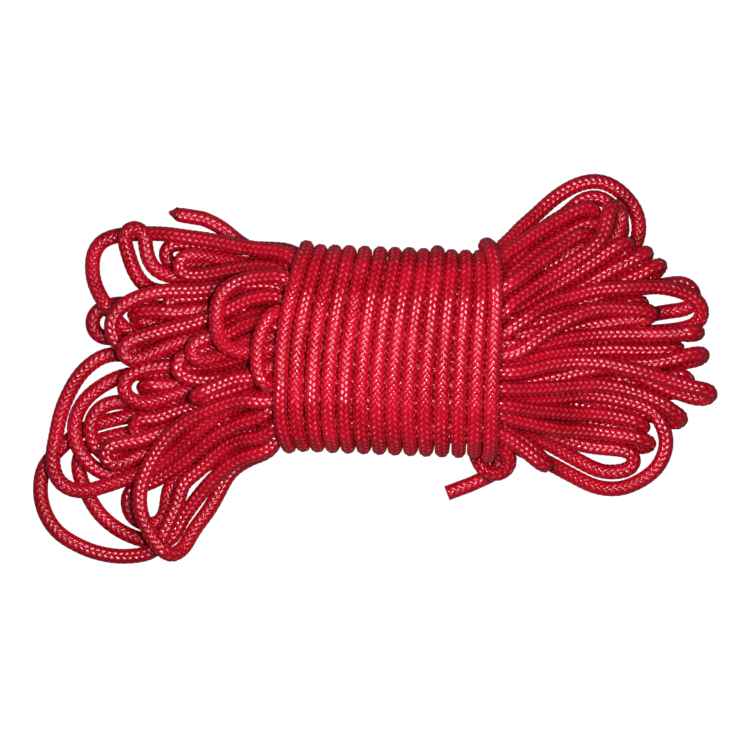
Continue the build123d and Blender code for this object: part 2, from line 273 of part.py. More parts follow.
left_table = """
left_bight_01
46.05,41.8 -28.56,47.42,41.8,-99910,4202,-574 -31.06,47.52,41.8,-99775,6696,-205
-35.73,48.52,41.69,-86539,49350,-8688 -39.03,52.07,40.73,-56553,76045,-31921
-42.08,55.65,38.49,-66700,56055,-49081 -50.47,58.83,33.02,-83593,13843,-53110
-61.74,60.5,26.19,-86522,14201,-48087 -80.45,64.11,17.62,-92351,17849,-33952
-94.86,66.29,12.95,-95074,12903,-28185 -104.22,67.59,9.81,-91622,9528,-38918
-113.27,68.04,5.79,-95665,1206,-29098 -120.71,67.93,4.56,-99435,-4342,-9685
-128.25,67.21,4.41,-98256,-16751,8073 -137.49,63.53,5.69,-75084,-64488,14273
-141.36,57.13,6.841,-25438,-95400,15868 -141.91,49.46,8.15,6900,-98159,17810
-140.36,41.96,9.63,32571,-92482,19653 -137.03,35.11,11.18,49994,-84925,16979
-134.3,30.76,11.6,55469,-83105,-4090 -131.34,26.6,11.02,59714,-79731,-8785
-128.19,22.68,10.98,68470,-72594,6479 -124.38,19.61,11.45,87382,-47970,7960
-114.79,17.3,11.61,99688,-7828,-1004 -102.42,17.6,11.57,99799,6302,611
-83.13,19.52,12.68,98251,14541,11633 -69,21.36,15.07,97506,7884,20746
-59.64,21.89,17.29,96892,3529,24483 -52.63,21.65,18.86,97030,-18337,15778
-48.09,20.33,19.47,94878,-28423,13792 -43.47,19.28,20.17,98585,-13309,10196
-36.06,18.84,20.37,99928,-3797,0 -1.06,17.47,20.37,99926,-3823,-359
17.18,20.37
left_bight_02
33.68,20.37 -28.56,35.04,20.37,-99928,3797,0 -33.56,35.24,20.37,-99845,5439,-1218
-38.33,35.88,20.01,-92675,29980,-22641 -42.08,37.93,18.17,-74158,46701,-48162
-45.78,39.83,15.89,-85097,29280,-43603 -52.29,40.98,13.12,-92680,8523,-36575
-65.89,41.55,8.33,-95969,-419,-28102 -84.73,40.15,4.79,-99082,-9140,-9966
-101.55,38.92,4.15,-99964,-2270,1431 -108.75,39.19,4.381,-98694,15157,5465
-115.23,41.83,5.03,-78674,60173,13770 -121.76,51.28,7.55,-36264,89308,26625
-124.55,59.99,10.31,-24648,92128,30082 -125.45,64.47,11.68,-3451,96918,24393
-124.26,68.84,12.51,63585,76167,12468 -122.35,70.24,12.75,92678,36159,10167
-119.97,70.5,12.98,98360,-15584,9076 -117.8,69.53,13.17,78878,-61268,4956
-115.58,65.44,12.97,23563,-96074,-14648 -114.91,60.77,11.98,14319,-96638,-21357
-111.75,51.92,10.35,59971,-79171,-11640 -105.97,47.7,9.77,93052,-36345,-4518
-98.8,45.95,9.68,98644,-16201,2636 -81.62,45.47,11.86,97970,601,20035
-62.28,45.33,17.14,94828,200,31744 -52.83,45.45,20.66,92725,5,37444
-46.04,44.6,23.61,84458,-33792,41531 -42.29,42.24,25.65,74501,-53616,39686
-38.37,40,27.2,93497,-29988,18950 -33.56,39.36,27.51,99857,-5241,1015
-21.06,38.88,27.51,99940,-3434,-515 37.8,27.51
left_bight_03
50.18,34.66 -26.06,51.45,34.66,-99928,3797,0 -31.01,51.75,34.58,-97871,17577,-10593
-33.24,52.36,34.17,-87902,38186,-28550 -36.69,55.01,31.95,-62750,56818,-53237
-40.04,57.61,29.17,-73743,41638,-53181 -46.41,59.58,25.15,-84753,11911,-51720
-55.55,60.17,19.74,-87576,3774,-48126 -89.06,62.3,6.53,-96418,9682,-24695
-96.41,62.92,4.81,-97993,1573,-19871 -101.32,62.36,4.02,-93202,-34796,-10131
-103.43,61.18,3.851,-73303,-67874,-4436 -104.06,54.74,3.891,60775,-79345,3284
-102.19,53.29,3.98,89381,-44646,4208 -97.32,52.58,4.24,99786,1235,6421
-92.4,52.87,4.62,99431,5479,9131 -66.25,52.91,10.16,93594,-2479,35128
-53.08,52.83,16.19,89331,2493,44875 -44.69,52.7,20.85,82920,-13703,54189
-40.98,51.48,23.53,72405,-38485,57240 -37.68,49.21,26.13,75906,-46701,45358
-35.77,48.22,27.03,90153,-32788,28239 -31.06,47.52,27.51,99826,-5658,1632
-21.06,47.13,27.51,99934,-3579,-579 46.05,27.51
left_bight_04
37.8,41.8 -28.56,39.17,41.8,-99911,4188,-396 -33.56,39.36,41.8,-99853,5425,0
-38.42,40.05,41.77,-94248,33349,-2279 -42.47,42.8,41.55,-69141,71776,-8227
-45.56,46.78,40.69,-62074,72161,-30653 -47.16,48.39,39.76,-71890,53521,-44355
-51.08,49.9,37.21,-82760,17535,-53322 -66.24,50.31,28.26,-88330,-11096,-45548
-82.19,47.61,21.18,-93537,-14857,-32094 -89.41,46.85,19.11,-97349,-2563,-22727
-94.23,47.3,18.1,-92447,32501,-19929 -96.31,48.42,17.62,-73374,64594,-21068
-97.91,52.6,16.63,14178,96949,-19997 -95.22,56.26,15.89,87020,48079,-10771
-90.53,57.13,15.62,99995,47,-1022 -83.21,56.3,15.94,98020,-17458,9341
-71.34,53.65,18.1,95007,-17317,25959 -53.1,52.23,25.99,87326,-3173,48621
-48.74,51.99,28.51,84799,-9800,52087 -44.77,50.91,31.2,73199,-40762,54593
-41.59,48.08,33.53,63806,-68114,35906 -38.15,44.88,34.56,85574,-50974,8869
-33.55,43.54,34.66,99341,-11463,207 -28.56,43.29,34.66,99928,-3797,0
41.93,34.66
left_bight_05
33.68,34.66 -28.56,35.04,34.66,-99928,3797,0 -33.56,35.24,34.66,-99878,4940,-275
-38.53,35.75,34.63,-96913,24420,-3398 -40.89,36.6,34.49,-89805,43212,-8226
-45.16,39.5,33.84,-81840,55629,-14407 -49.65,41.81,33.07,-94066,29884,-16077
-59.48,42.57,31.08,-97287,-3354,-22891 -73.92,41.19,26.85,-94105,-13757,-30903
-88.21,39.37,22.75,-97408,-6424,-21689 -102.88,39.11,20.26,-99211,-5848,-11091
-115.09,36.99,19.47,-95797,-28602,-2199 -126.32,31.6,19.24,-78930,-61361,-2198
-131.84,23.66,18.57,-22352,-95280,-20547 -130.3,14.62,15.66,48762,-81595,-31057
-125.14,9.76,13.87,88188,-44563,-15392 -117.91,8.22,13.04,99647,-628,-8375
-110.39,8.82,12.59,99524,9338,-2784 -92.92,10.28,13.74,98372,11348,13936
-80.72,12.14,15.95,96318,17349,20541 -66.31,14.2,19.46,95826,9277,27041
-54.85,15.12,23.54,91297,4351,40569 -45.92,15.19,27.05,97796,-5178,20226
-38.56,14.81,27.51,99920,-4005,201 -3.56,13.44,27.51,99928,-3772,382
13.05,27.51
left_bight_06
29.55,13.22 -28.56,30.92,13.22,-99911,4206,-117 -36.06,31.21,13.22,-99839,5438,-1623
-40.84,31.79,12.73,-93310,24126,-26667 -44.95,33.34,10.79,-84836,29502,-43960
-49.32,34.28,8.86,-93775,9355,-33448 -58.98,34.23,6.4,-98163,-5184,-18361
-86.42,31.7,3.801,-99520,-9497,-2376 -104.03,30.62,3.681,-99995,995,0
-111.51,31.25,3.681,-98776,15601,0 -118.91,32.43,3.681,-99495,10036,0
-126.38,32.73,3.681,-99997,-822,0 -136.02,30.95,3.681,-91327,-40736,0
-140.03,28.23,3.681,-65583,-75491,0 -139.35,17.46,3.681,76180,-64781,0
-134.94,15.66,3.681,99027,-13916,0 -129.96,15.61,3.681,99997,800,0
-112.32,14.6,3.681,99825,-5918,0 -94.57,14.55,3.78,99700,7475,1987
-74.51,16.91,5.091,98047,13895,13917 -48.05,21.69,10.97,93881,19659,28283
-40.99,22.94,12.93,98437,7955,15713 -33.56,22.86,13.22,99928,-3797,0
1.44,21.5,13.22,99897,-4426,-962 21.3,13.22
left_bight_07
29.55,41.8 -28.56,30.92,41.8,-99917,4044,414 -36.06,31.21,41.8,-99853,5423,0
-40.91,31.86,41.79,-95501,29568,-2293 -45.2,34.09,41.43,-84043,52221,-14483
-49.41,36.21,40.33,-92576,23620,-29526 -56.3,36.07,37.77,-91356,-13877,-38229
-67.33,32.99,33.08,-85653,-37977,-34948 -77.88,27.78,29.21,-88503,-37579,-27478
-89.19,23.66,26.29,-93289,-29684,-20395 -107.99,18.73,22.92,-95973,-26026,-10574
-117.41,15.96,22.32,-94667,-32169,-1831 -121.95,14.11,22.32,-86765,-49713,614
-125.39,10.73,22.24,-37320,-92548,-6494 -125.73,8.39,22.03,13987,-98437,-10703
-124.74,6.23,21.75,63467,-76437,-11376 -122.75,4.84,21.5,92533,-36818,-9057
-115.63,5.84,21.03,92131,38530,-5220 -106.59,10.02,20.71,91574,40136,-1814
-95.04,14.49,20.83,95266,29203,8461 -78.83,19.22,24.41,90506,28608,31468
-70.39,22.58,27.99,82701,37981,41449 -62.38,25.9,32.63,81136,25906,52401
-56.33,27.32,36.71,82196,11063,55870 -50.01,26.88,40.46,87665,-31809,36097
-45.68,24.7,41.55,90131,-41926,10888 -41.03,23.29,41.77,98882,-14795,1847
-36.06,22.96,41.8,99912,-4196,0 -1.06,21.6,41.8,99941,-3422,-209
21.3,41.8
left_bight_08
17.18,48.95 -28.56,18.54,48.95,-99928,3797,0 -38.56,18.93,48.95,-99874,5007,-201
-45.8,20.13,48.85,-94163,33061,-6351 -50.26,22.08,48.14,-88865,39098,-23966
-54.61,23.54,46.44,-87693,12622,-46375 -60.57,22.93,42.36,-79116,-18293,-58360
-68.14,20.13,37.1,-78096,-40816,-47277 -74.13,17.38,34.27,-91408,-25147,-31815
-83.38,15.75,32.09,-95085,-27579,-14078 -87.8,13.88,31.61,-84386,-53461,-4569
-91.02,10.33,31.72,-32341,-94213,8833 -91.25,7.98,31.99,18583,-97284,13800
-90.17,5.89,32.35,66260,-73216,15784 -85.69,4.2,33.13,98565,-1309,16830
-80.89,5.17,34.04,93480,28888,20663 -69.92,10.2,37.52,81238,47209,34229
-63.5,13.47,40.05,90501,34079,25459 -51.08,15.39,41.54,99846,386,5534
-38.56,14.81,41.8,99912,-4196,0 -3.56,13.44,41.8,99928,-3755,526
13.05,41.8
left_bight_09
4.8,41.8 -28.56,6.17,41.8,-99914,4152,75 -41.07,6.67,41.8,-99884,4742,-781
-48.89,7.09,41.22,-98224,4240,-18277 -59.06,7.05,37.17,-82582,-8040,-55817
-65.38,5.71,32.181,-76407,-21514,-60821 -87.37,1.36,19.36,-94161,-4956,-33303
-99.52,1.2,16.06,-98458,2779,-17271 -107.01,1.17,15.16,-99459,-7351,-7342
-116.89,-0.57,14.93,-94934,-31194,3803 -123.31,-4.19,15.61,-69151,-70936,13645
-125.51,-10.59,16.79,19141,-96288,19034 -118.85,-16.55,18.3,96607,-23765,10120
-111.6,-16.47,18.82,97452,21840,5110 -104.58,-14.2,19.14,94418,32692,4061
-90.48,-9.97,19.71,97712,20645,5111 -73.65,-8.02,21.69,97838,12541,16446
-61.91,-5.92,23.92,94798,24571,20238 -55.2,-3.65,25.61,90274,34342,25909
-50.75,-2.19,26.81,95412,22286,19995 -38.56,-1.69,27.51,99920,-3997,0
-3.56,-3.06,27.51,99916,-4086,-87 -3.45,27.51
left_bight_10
0.68,34.66 -28.56,2.04,34.66,-99928,3797,0 -41.06,2.53,34.66,-99934,3603,-402
-50.8,2.08,34.15,-97554,-16645,-14358 -57.55,0.11,32.59,-90043,-36771,-23242
-64.28,-2.54,31.12,-93998,-28959,-18049 -73.75,-4.63,29.41,-97047,-18514,-15463
-85.71,-6,27.71,-98773,3936,-15116 -92.74,-4.86,26.62,-94461,29307,-14770
-96.91,-2.68,25.84,-68895,69732,-19773 -98.51,1.47,24.78,7427,96924,-23465
-96.36,5.38,23.91,76658,63155,-11615 -92.03,7.31,23.72,95783,28716,1020
-84.98,9.13,24.14,96342,24910,9887 -68.71,12.73,27.27,95846,10551,26500
-57.31,12.7,31.08,92616,-10801,36134 -48.29,11.48,34.12,97419,-11890,19190
-38.56,10.68,34.66,99911,-4207,201 -3.56,9.32,34.66,99926,-3853,210
8.93,34.66
left_bight_11
0.68,48.95 -28.56,2.04,48.95,-99928,3797,0 -41.06,2.53,48.95,-99935,3603,0
-50.64,1.41,49.03,-90721,-42042,1483 -52.67,0.2,49.06,-81498,-57935,-1253
-56.32,-2.81,48.71,-82950,-53739,-15214 -65.28,-4.89,46.41,-95921,-9855,-26497
-72.23,-6.21,44.59,-92784,-29947,-22234 -78.99,-8.92,43.22,-91301,-38210,-14283
-83.56,-10.83,42.59,-90588,-38794,-16995 -87.72,-12.8,40.9,-65133,-39381,-64860
-88.89,-13.67,39.01,-26150,-30691,-91511 -88.93,-14.21,36.71,23219,-14483,-96183
-87.82,-14.33,34.61,65707,3303,-75311 -83.65,-13.53,32.79,96855,24406,-4847
-79.1,-12.25,33.54,93157,27798,23431 -68.02,-8.79,36.77,91158,29071,29070
-59.44,-5.49,39.53,86995,42962,24210 -53.06,-2.57,41,94400,28236,17068
-43.55,-1.52,41.79,99985,-1188,1228 -33.56,-1.89,41.8,99928,-3797,0
1.44,-3.25,41.8,99934,-3611,350 -3.45,41.8
left_loop_12
33.68,48.95 -28.56,35.04,48.95,-99928,3797,0 -33.56,35.24,48.95,-99772,6696,820
-38.2,36.23,49.2,-85062,51211,11913 -41.16,40.03,49.78,-47172,88013,5340
-43.74,44.23,49.67,-72356,68192,-10701 -45.65,45.5,49.32,-89397,39183,-21747
-50.19,46.07,47.76,-92722,-979,-37438 -57.15,45.68,44.91,-93056,-7377,-35864
-61.84,45.14,43.22,-93527,-16003,-31570 -76.22,37.08,39.72,-53404,-84294,-6530
-79.04,25.16,40.25,-2399,-98873,14780 -77.54,15.69,42.53,40145,-86341,30555
-70.87,9.51,45.68,91203,-33035,24304 -63.51,8.55,46.92,99090,1569,13369
-53.5,9.77,48.33,97589,18102,12197 -46.05,10.85,48.92,99855,4595,2800
-38.56,10.68,48.95,99920,-3997,0 -3.56,9.32,48.95,99919,-4002,302
8.93,48.95
left_bight_13
25.43,34.66 -28.56,26.79,34.66,-99928,3797,0 -36.06,27.09,34.66,-99874,4999,346
-43.24,28.24,34.46,-91660,38367,-11244 -47.17,30.71,33.51,-75828,58394,-28986
-50.64,33.41,31.7,-75463,46355,-46439 -54.43,34.86,29.28,-83679,18657,-51475
-58.53,35.54,26.86,-85824,13715,-49458 -73.38,37.31,19.16,-92170,2703,-38695
-87.11,36.7,14.85,-97080,-10394,-21619 -94.18,36.08,13.56,-98908,-3525,-14307
-98.98,35.86,12.95,-97297,-19467,-12421 -101.27,35.1,12.64,-85436,-50190,-13477
-103.04,33.48,12.31,-53229,-83602,-13318 -103.76,31.22,12.02,-2427,-99465,-10038
-103.16,28.93,11.85,49583,-86771,-3502 -101.48,27.24,11.86,85144,-52424,1500
-96.75,26.52,11.94,99639,8487,7 -91.88,27.4,11.92,98010,19848,408
-68.12,32.13,14.37,95422,18047,23852 -57.01,34.34,18.4,88712,16204,43215
-48.71,34.87,23.08,82918,-14368,54019 -44.91,33.56,25.6,80482,-36989,46417
-40.87,31.82,27.2,94540,-26553,18896 -36.06,31.21,27.51,99847,-5439,1015
-26.06,30.82,27.51,99904,-4373,-127 29.55,27.51
left_bight_14
21.3,27.51 -28.56,22.67,27.51,-99911,4217,79 -38.55,23.07,27.51,-99802,6289,0
-43.36,23.73,27.47,-96081,27355,-4482 -47.64,25.65,26.93,-87162,44844,-19791
-51.84,27.41,25.67,-92770,22311,-29933 -58.67,27.91,23.67,-97001,3552,-24044
-72.79,29.17,21.39,-98949,10227,-10227 -84.7,29.63,20.37,-99657,-5646,-6057
-96.62,28.44,20.02,-99718,-7497,-416 -103.8,28.41,19.86,-99240,6076,-10700
-110.72,28.7,18.08,-94489,-2071,-32673 -115.24,28.5,16.43,-91803,-4135,-39436
-119.32,28.16,13.88,-65269,-17831,-73634 -120.5,27.58,11.95,-29136,-33914,-89448
-119.78,25.45,7.961,55396,-48426,-67722 -115.93,23.68,6.07,94768,-24613,-20329
-111.07,22.89,5.5,98902,-11496,-9283 -93.88,22.8,4.73,99521,8345,5089
-76.84,24.75,6.52,97936,13126,15368 -55.67,28.12,12.59,89769,16742,40758
-49.33,28.84,16.23,80733,-4441,58843 -45.49,28.14,18.98,86811,-19308,45728
-43.35,27.68,19.85,94891,-16560,26859 -38.55,27.19,20.35,99815,-5475,2652
-28.56,26.79,20.37,99928,-3797,0 25.43,20.37
left_bight_15
8.93,20.37 -28.56,10.29,20.37,-99928,3797,0 -38.56,10.68,20.37,-99917,3996,-799
-45.91,11.03,19.6,-95934,2255,-28137 -52.76,10.84,16.74,-91554,-4617,-39957
-69.3,10.07,10.85,-96156,-4739,-27049 -79.06,8.97,8.46,-96328,-17443,-20414
-93.71,6.56,6.04,-98715,-9812,-12615 -111.02,6.15,4.41,-99838,1617,-5456
-123.34,6.85,4.051,-99480,10151,-812 -133.14,7.07,4.11,-98551,-16834,2072
-145.73,-0.19,4.72,-70873,-70250,6478 -155.92,-16.98,6.79,-36453,-91960,14649
-158.8,-26.36,8.55,-20799,-95577,20794 -160.62,-35.97,10.76,-17941,-96081,21133
-161.68,-43.34,11.87,-5387,-99638,6575 -160.28,-53.21,12.12,40015,-91618,2211
-153.36,-60.06,12.43,91832,-39380,4019 -143.54,-60.99,12.96,98475,16011,6805
-133.95,-58.27,13.81,94857,30354,8988 -126.88,-55.84,14.35,93173,35624,7047
-115.53,-51.55,15.8,92406,33415,18564 -109.11,-48.66,17.66,80122,51637,30234
-103.57,-44.23,19.96,72175,61379,31989 -94.79,-36.43,24.33,68050,63473,36612
-87.78,-30.13,27.83,72969,61630,29619 -78.1,-22.96,31.42,79964,51238,31312
-65.74,-16.86,36.87,87011,27106,41162 -59.32,-14.89,39.82,86366,37227,33985
-50.77,-10.59,41.66,95456,29271,5598 -41.06,-9.84,41.8,99942,-3402,0
-6.06,-11.21,41.8,99916,-4094,208 -11.7,41.8
left_bight_16
4.8,13.22 -28.56,6.17,13.22,-99912,4190,-56 -38.56,6.56,13.22,-99910,3817,-1830
-43.38,6.7,12.67,-95008,-1115,-31181 -49.46,5.72,9.15,-84930,-28573,-44390
-53.71,4.14,7.611,-92618,-29139,-23935 -63.07,2.51,5.81,-98220,-11531,-14826
-84.89,-0.23,3.921,-99002,-13306,-4638 -99.75,-1.91,3.711,-99899,-4373,993
-114.92,-2.09,4.02,-99886,-1973,4337 -129.84,-4.77,5.49,-91950,-37238,12589
-140.89,-11.22,7.37,-77536,-60997,16355 -148.91,-21.07,9.71,-41268,-89043,19191
-150.76,-33.57,11.8,14152,-98800,6195 -148.38,-40.91,11.88,45388,-89003,-4290
-143.97,-47.05,10.6,67289,-69260,-25985 -133.3,-52.99,7.3,96915,-12982,-20951
-123.14,-52.13,5.65,97166,19830,-12865 -105.78,-47.55,4.26,94621,32064,-4319
-93.67,-43.57,3.961,96017,27936,575 -76.69,-39.2,5.6,95143,24386,18793
-62.65,-35.64,9.33,91765,25362,30594 -55.99,-33.43,11.79,85477,37510,35869
-50.62,-29.6,14.73,54817,69005,47258 -48.52,-25.96,17.28,42167,72959,53842
-45.67,-22.81,19.76,84575,40692,34514 -41.06,-22.22,20.37,99969,-1353,2073
-36.06,-22.41,20.37,99928,-3797,0 -1.06,-23.78,20.37,99926,-3843,-93
-24.07,20.37
left_bight_17
-7.57,20.37 -28.56,-6.21,20.37,-99928,3797,0 -41.06,-5.72,20.37,-99934,3603,-402
-48.36,-5.98,19.88,-96178,-18834,-19876 -54.92,-8.27,17.9,-90949,-33060,-25207
-64.1,-10.54,15.94,-96731,-16541,-19221 -78.25,-12.68,13.45,-97624,-16513,-14033
-99.63,-16.2,11.35,-99399,-8708,-6640 -111.62,-17,10.55,-99530,-7050,-6635
-118.81,-17.21,10.04,-99605,4770,-7488 -126,-16.75,9.82,-99918,2290,3331
-135.32,-18.28,10.5,-89312,-43921,9713 -141.68,-25,11.53,-38132,-91860,10376
-142.08,-34.32,11.9,27595,-96084,-2527 -140.13,-38.62,11.46,52827,-82601,-19656
-135.18,-43.24,9.5,86553,-42481,-26532 -126.05,-44.22,7.4,97516,12445,-18326
-116.71,-42.29,6.02,96385,24459,-10571 -93.75,-35.09,5.35,96464,25666,6005
-77.47,-31.02,7.41,95009,25196,18397 -61.99,-25.91,11.86,84917,40484,33914
-56.28,-22.21,14.46,66744,64652,36952 -53.38,-18.75,16.39,57501,70264,41911
-50.24,-15.61,18.49,75925,51038,40379 -45.98,-14.04,20.04,97219,13777,18936
-41.06,-13.97,20.37,99944,-3201,1006 -21.06,-14.75,20.37,99921,-3963,282
-15.82,20.37
left_bight_19
-15.82,34.66 -28.56,-14.46,34.66,-99928,3797,0 -41.06,-13.97,34.66,-99942,3402,-201
-48.37,-14.22,34.49,-98020,-17914,-8433 -56.54,-18.11,32.22,-68427,-62718,-37204
-62.23,-24.1,27.92,-76402,-39245,-51211 -66.2,-25.2,25.63,-88255,-15372,-44438
-77.31,-26.45,21.67,-97069,-9035,-22270 -89.06,-27.45,20.11,-99529,-9239,-2940
-98.45,-29.1,20.26,-96025,-27894,1046 -105.27,-31.32,20.22,-95160,-30676,-1878
-112.07,-33.64,20.06,-93807,-34604,-1668 -118.93,-35.75,19.94,-97899,-20044,-3755
-128.38,-37.34,19.39,-97308,-22346,-5638 -132.81,-38.98,19.05,-80687,-57814,-12128
-135.17,-42.83,18.18,-6268,-96508,-25435 -134.72,-45.07,17.53,43727,-85212,-28755
-133.16,-46.74,16.86,80915,-52443,-26506 -128.58,-47.38,15.87,97519,15583,-15723
-123.96,-45.9,15.23,92674,35518,-12248 -114.96,-42.38,14.14,94206,32159,-9544
-105.84,-39.37,13.48,93717,34709,-3527 -99.19,-36.61,13.41,91564,40166,1660
-92.44,-34.17,13.74,97058,22799,7740 -83,-33.02,14.81,98756,7934,13573
-68.86,-31.92,17.1,97998,8569,17970 -64.18,-31.41,17.95,97241,14855,17986
-57.74,-29.32,19.79,73459,53327,41953 -55.27,-26.16,22.13,41066,74906,51988
-53.3,-22.56,24.55,49773,71905,48500 -50.33,-19.55,26.57,80082,50461,32258
-45.99,-18.12,27.43,99010,11908,7426 -41.06,-18.09,27.51,99949,-3201,201
-13.56,-19.17,27.51,99927,-3808,-368 -19.95,27.51
left_bight_20
-7.57,34.66 -28.56,-6.21,34.66,-99928,3797,0 -41.06,-5.72,34.66,-99935,3603,-201
-50.71,-6.3,34.02,-95598,-22071,-19338 -59.17,-9.77,31.37,-83128,-44167,-33749
-65.19,-12.74,28.78,-86527,-35029,-35862 -78.2,-16.31,23.8,-93217,-15604,-32667
-89.55,-18.18,20.39,-94425,-21882,-24597 -103.01,-22.37,17.44,-92208,-35589,-15199
-109.77,-24.6,16.46,-97558,-18018,-12562 -114.52,-25,15.85,-98350,-9299,-15520
-118.97,-26.34,14.79,-73108,-60742,-31076 -120.28,-28.15,13.98,-30133,-88324,-35930
-120.34,-30.4,13.14,25028,-90854,-33454 -119.11,-32.36,12.43,71808,-65061,-24712
-117.02,-33.43,11.99,95818,-25236,-13491 -112.16,-33.01,11.76,96504,26199,-805
-105.13,-30.34,11.83,91364,40583,2398 -93.92,-24.96,12.45,91525,39464,8106
-87.01,-22.65,13.35,95629,23344,17610 -75.43,-20.32,16.21,94151,18210,28356
-64.35,-17.8,20.21,88867,26571,37371 -58.27,-15.2,23.04,77480,48876,40099
-54.67,-12.65,24.92,78650,49754,36589 -46.01,-9.82,27.39,99306,7344,9184
-41.06,-9.84,27.51,99942,-3402,201 -6.06,-11.21,27.51,99913,-4179,116
-11.7,27.51
left_bight_21
-15.82,48.95 -28.56,-14.46,48.95,-99928,3797,0 -41.06,-13.97,48.95,-99966,2597,202
-45.96,-14.18,49.04,-98331,-17666,4357 -50.62,-15.55,49.23,-96094,-27666,-781
-55.5,-16.39,48.88,-99200,-2877,-12293 -62.94,-15.74,47.2,-93773,5668,-34270
-69.91,-16.32,44.02,-88344,-18590,-43009 -85.4,-21.89,36.59,-84142,-37030,-39357
-95.96,-27.41,31.87,-76821,-54719,-33231 -110.55,-43.76,25.86,-50855,-83891,-19393
-115.86,-54.91,23.52,-32794,-92013,-21404 -117.64,-61.97,22.02,-11526,-97801,-17380
-116.48,-74.06,20.51,31284,-94683,-7518 -112.31,-82.91,20.08,50458,-86317,-1844
-109.69,-86.98,20,58275,-81135,-4598 -105.05,-91.97,18.42,73510,-47988,-47890
-98.28,-91.74,12.57,68381,47607,-55295 -95.31,-88.71,10.59,55881,76819,-31242
-92.93,-84.71,9.4,47600,85268,-21532 -89.17,-78.64,8.07,57425,80353,-15678
-83.48,-70.9,6.94,55054,83201,-6831 -76.48,-58.22,7.11,46738,87892,9513
-72.6,-52.25,8.12,65270,73444,18597 -63.21,-45.59,11.28,84631,40746,34314
-57.07,-43.06,14.07,82575,36296,43174 -53.42,-40.95,16.29,66261,55540,50247
-49.32,-34.2,21.51,25800,78179,56766 -48.2,-30.3,24.33,29993,76633,56814
-45.65,-26.97,26.9,83018,43184,35258 -41.06,-26.34,27.51,99972,-1146,2073
-36.06,-26.54,27.51,99920,-3997,0 -1.06,-27.9,27.51,99897,-4531,-212
-28.2,27.51
left_bight_22
-19.95,41.8 -28.56,-18.58,41.8,-99912,4184,-239 -41.06,-18.09,41.8,-99942,3398,0
-48.4,-18.59,41.76,-95294,-30213,-2481 -52.69,-20.92,41.36,-81548,-54923,-18260
-56.74,-23.56,39.81,-81356,-42515,-39671 -63.36,-25.9,36.35,-84741,-25331,-46662
-71.9,-29.29,31.23,-78657,-38672,-48141 -81.84,-35.15,24.97,-71746,-50761,-47705
-92.69,-43.77,17.84,-69674,-57641,-42697 -104.11,-52.21,12.02,-78685,-53313,-31086
-112.59,-56.99,9.4,-90075,-37349,-22169 -117.19,-58.63,8.37,-92137,-33565,-19600
-121.44,-60.71,7.41,-75250,-62681,-20215 -123.26,-71.44,5.54,36807,-92353,-10776
-118.73,-76.68,4.961,87358,-48280,-6127 -107.74,-76,4.341,70666,70690,-3057
-104.57,-67.23,4.33,12701,99141,3127 -103.17,-60.25,4.75,39373,91491,8893
-94.79,-52.27,6.421,87411,44552,19353 -86.14,-48.66,8.58,89792,35874,25503
-71.61,-42.53,14.48,83237,33418,44214 -63.66,-39.74,19.17,80352,27202,52949
-57.08,-35.88,24.77,45421,62026,63951 -54.91,-30.67,29.27,28784,76574,57515
-48.32,-22.74,34.31,92984,31907,18330 -43.55,-22.15,34.65,99983,865,1638
-38.56,-22.32,34.66,99928,-3797,0 -3.56,-23.68,34.66,99914,-4105,-512
-24.07,34.66
left_bight_23
-28.2,41.8 -28.56,-26.83,41.8,-99911,4211,-215 -38.56,-26.44,41.8,-99920,3997,0
-43.53,-26.35,41.83,-99510,-9429,2960 -45.87,-26.78,41.94,-94876,-31460,2964
-49.85,-29.2,41.62,-76971,-58936,-24538 -55.08,-32.93,38.35,-73622,-38630,-55566
-60.87,-34.66,33.85,-76410,-12543,-63279 -68.57,-36.23,27.4,-75383,-25540,-60541
-79.6,-43.09,19.95,-70917,-60102,-36859 -90.28,-52.61,15.72,-75690,-61755,-21387
-95.57,-57.5,14.38,-57739,-80214,-15228 -97.56,-61.81,13.75,-28889,-95133,-10726
-98.78,-66.54,13.32,-28403,-95618,-7111 -103.55,-77.94,12.52,-42355,-90357,-6454
-106.64,-84.67,12.09,-42843,-90135,-6333 -110.57,-90.56,11.13,-74353,-63281,-21612
-116.99,-93.37,9.5,-95395,-21218,-21202 -126.64,-94.28,7.611,-98516,405,-17159
-148.08,-89.3,4.87,-90162,42575,-7630 -162.01,-79.21,4.02,-61347,78928,-2623
-168.21,-58.24,3.721,6251,99804,-382 -165.72,-48.74,3.69,48226,87603,-204
-159.44,-41.07,3.681,70307,71112,0 -150.02,-32.9,3.681,82336,56752,0
-141.3,-28.28,3.681,93873,34466,0 -127.01,-24.54,3.681,97947,20161,0
-95.92,-18.69,3.681,97912,20329,0 -74.6,-14.86,3.971,99131,12679,3512
-62.67,-13.53,4.57,98971,12677,6631 -55.84,-11.72,5.15,84715,51642,12510
-52.64,-8.45,6.07,54491,78151,30384 -50.32,-4.77,8.14,48483,68115,54861
-47.65,-2.18,11.2,71407,33802,61306 -45.78,-1.65,12.49,89893,14197,41445
-41.06,-1.59,13.22,99918,-3211,2455 -33.56,-1.89,13.22,99928,-3797,0
1.44,-3.25,13.22,99926,-3828,-393 -3.45,13.22
left_bight_24
-32.32,34.66 -28.56,-30.96,34.66,-99928,3797,0 -38.56,-30.57,34.66,-99928,3797,0
-41.06,-30.47,34.66,-99992,730,-1037 -45.69,-31.21,34.36,-86171,-47932,-16645
-48.92,-34.84,33.18,-56399,-78843,-24553 -52.08,-38.74,31.97,-71273,-66301,-22899
-56.21,-41.45,30.68,-86597,-39146,-31122 -60.74,-42.97,28.67,-85302,-25609,-45472
-69.04,-46.06,23.39,-76044,-39591,-51476 -79.71,-54.21,16.09,-65620,-61672,-43482
-93.22,-70.29,7.89,-57029,-77111,-28311 -97.19,-76.3,6.131,-46858,-86191,-19375
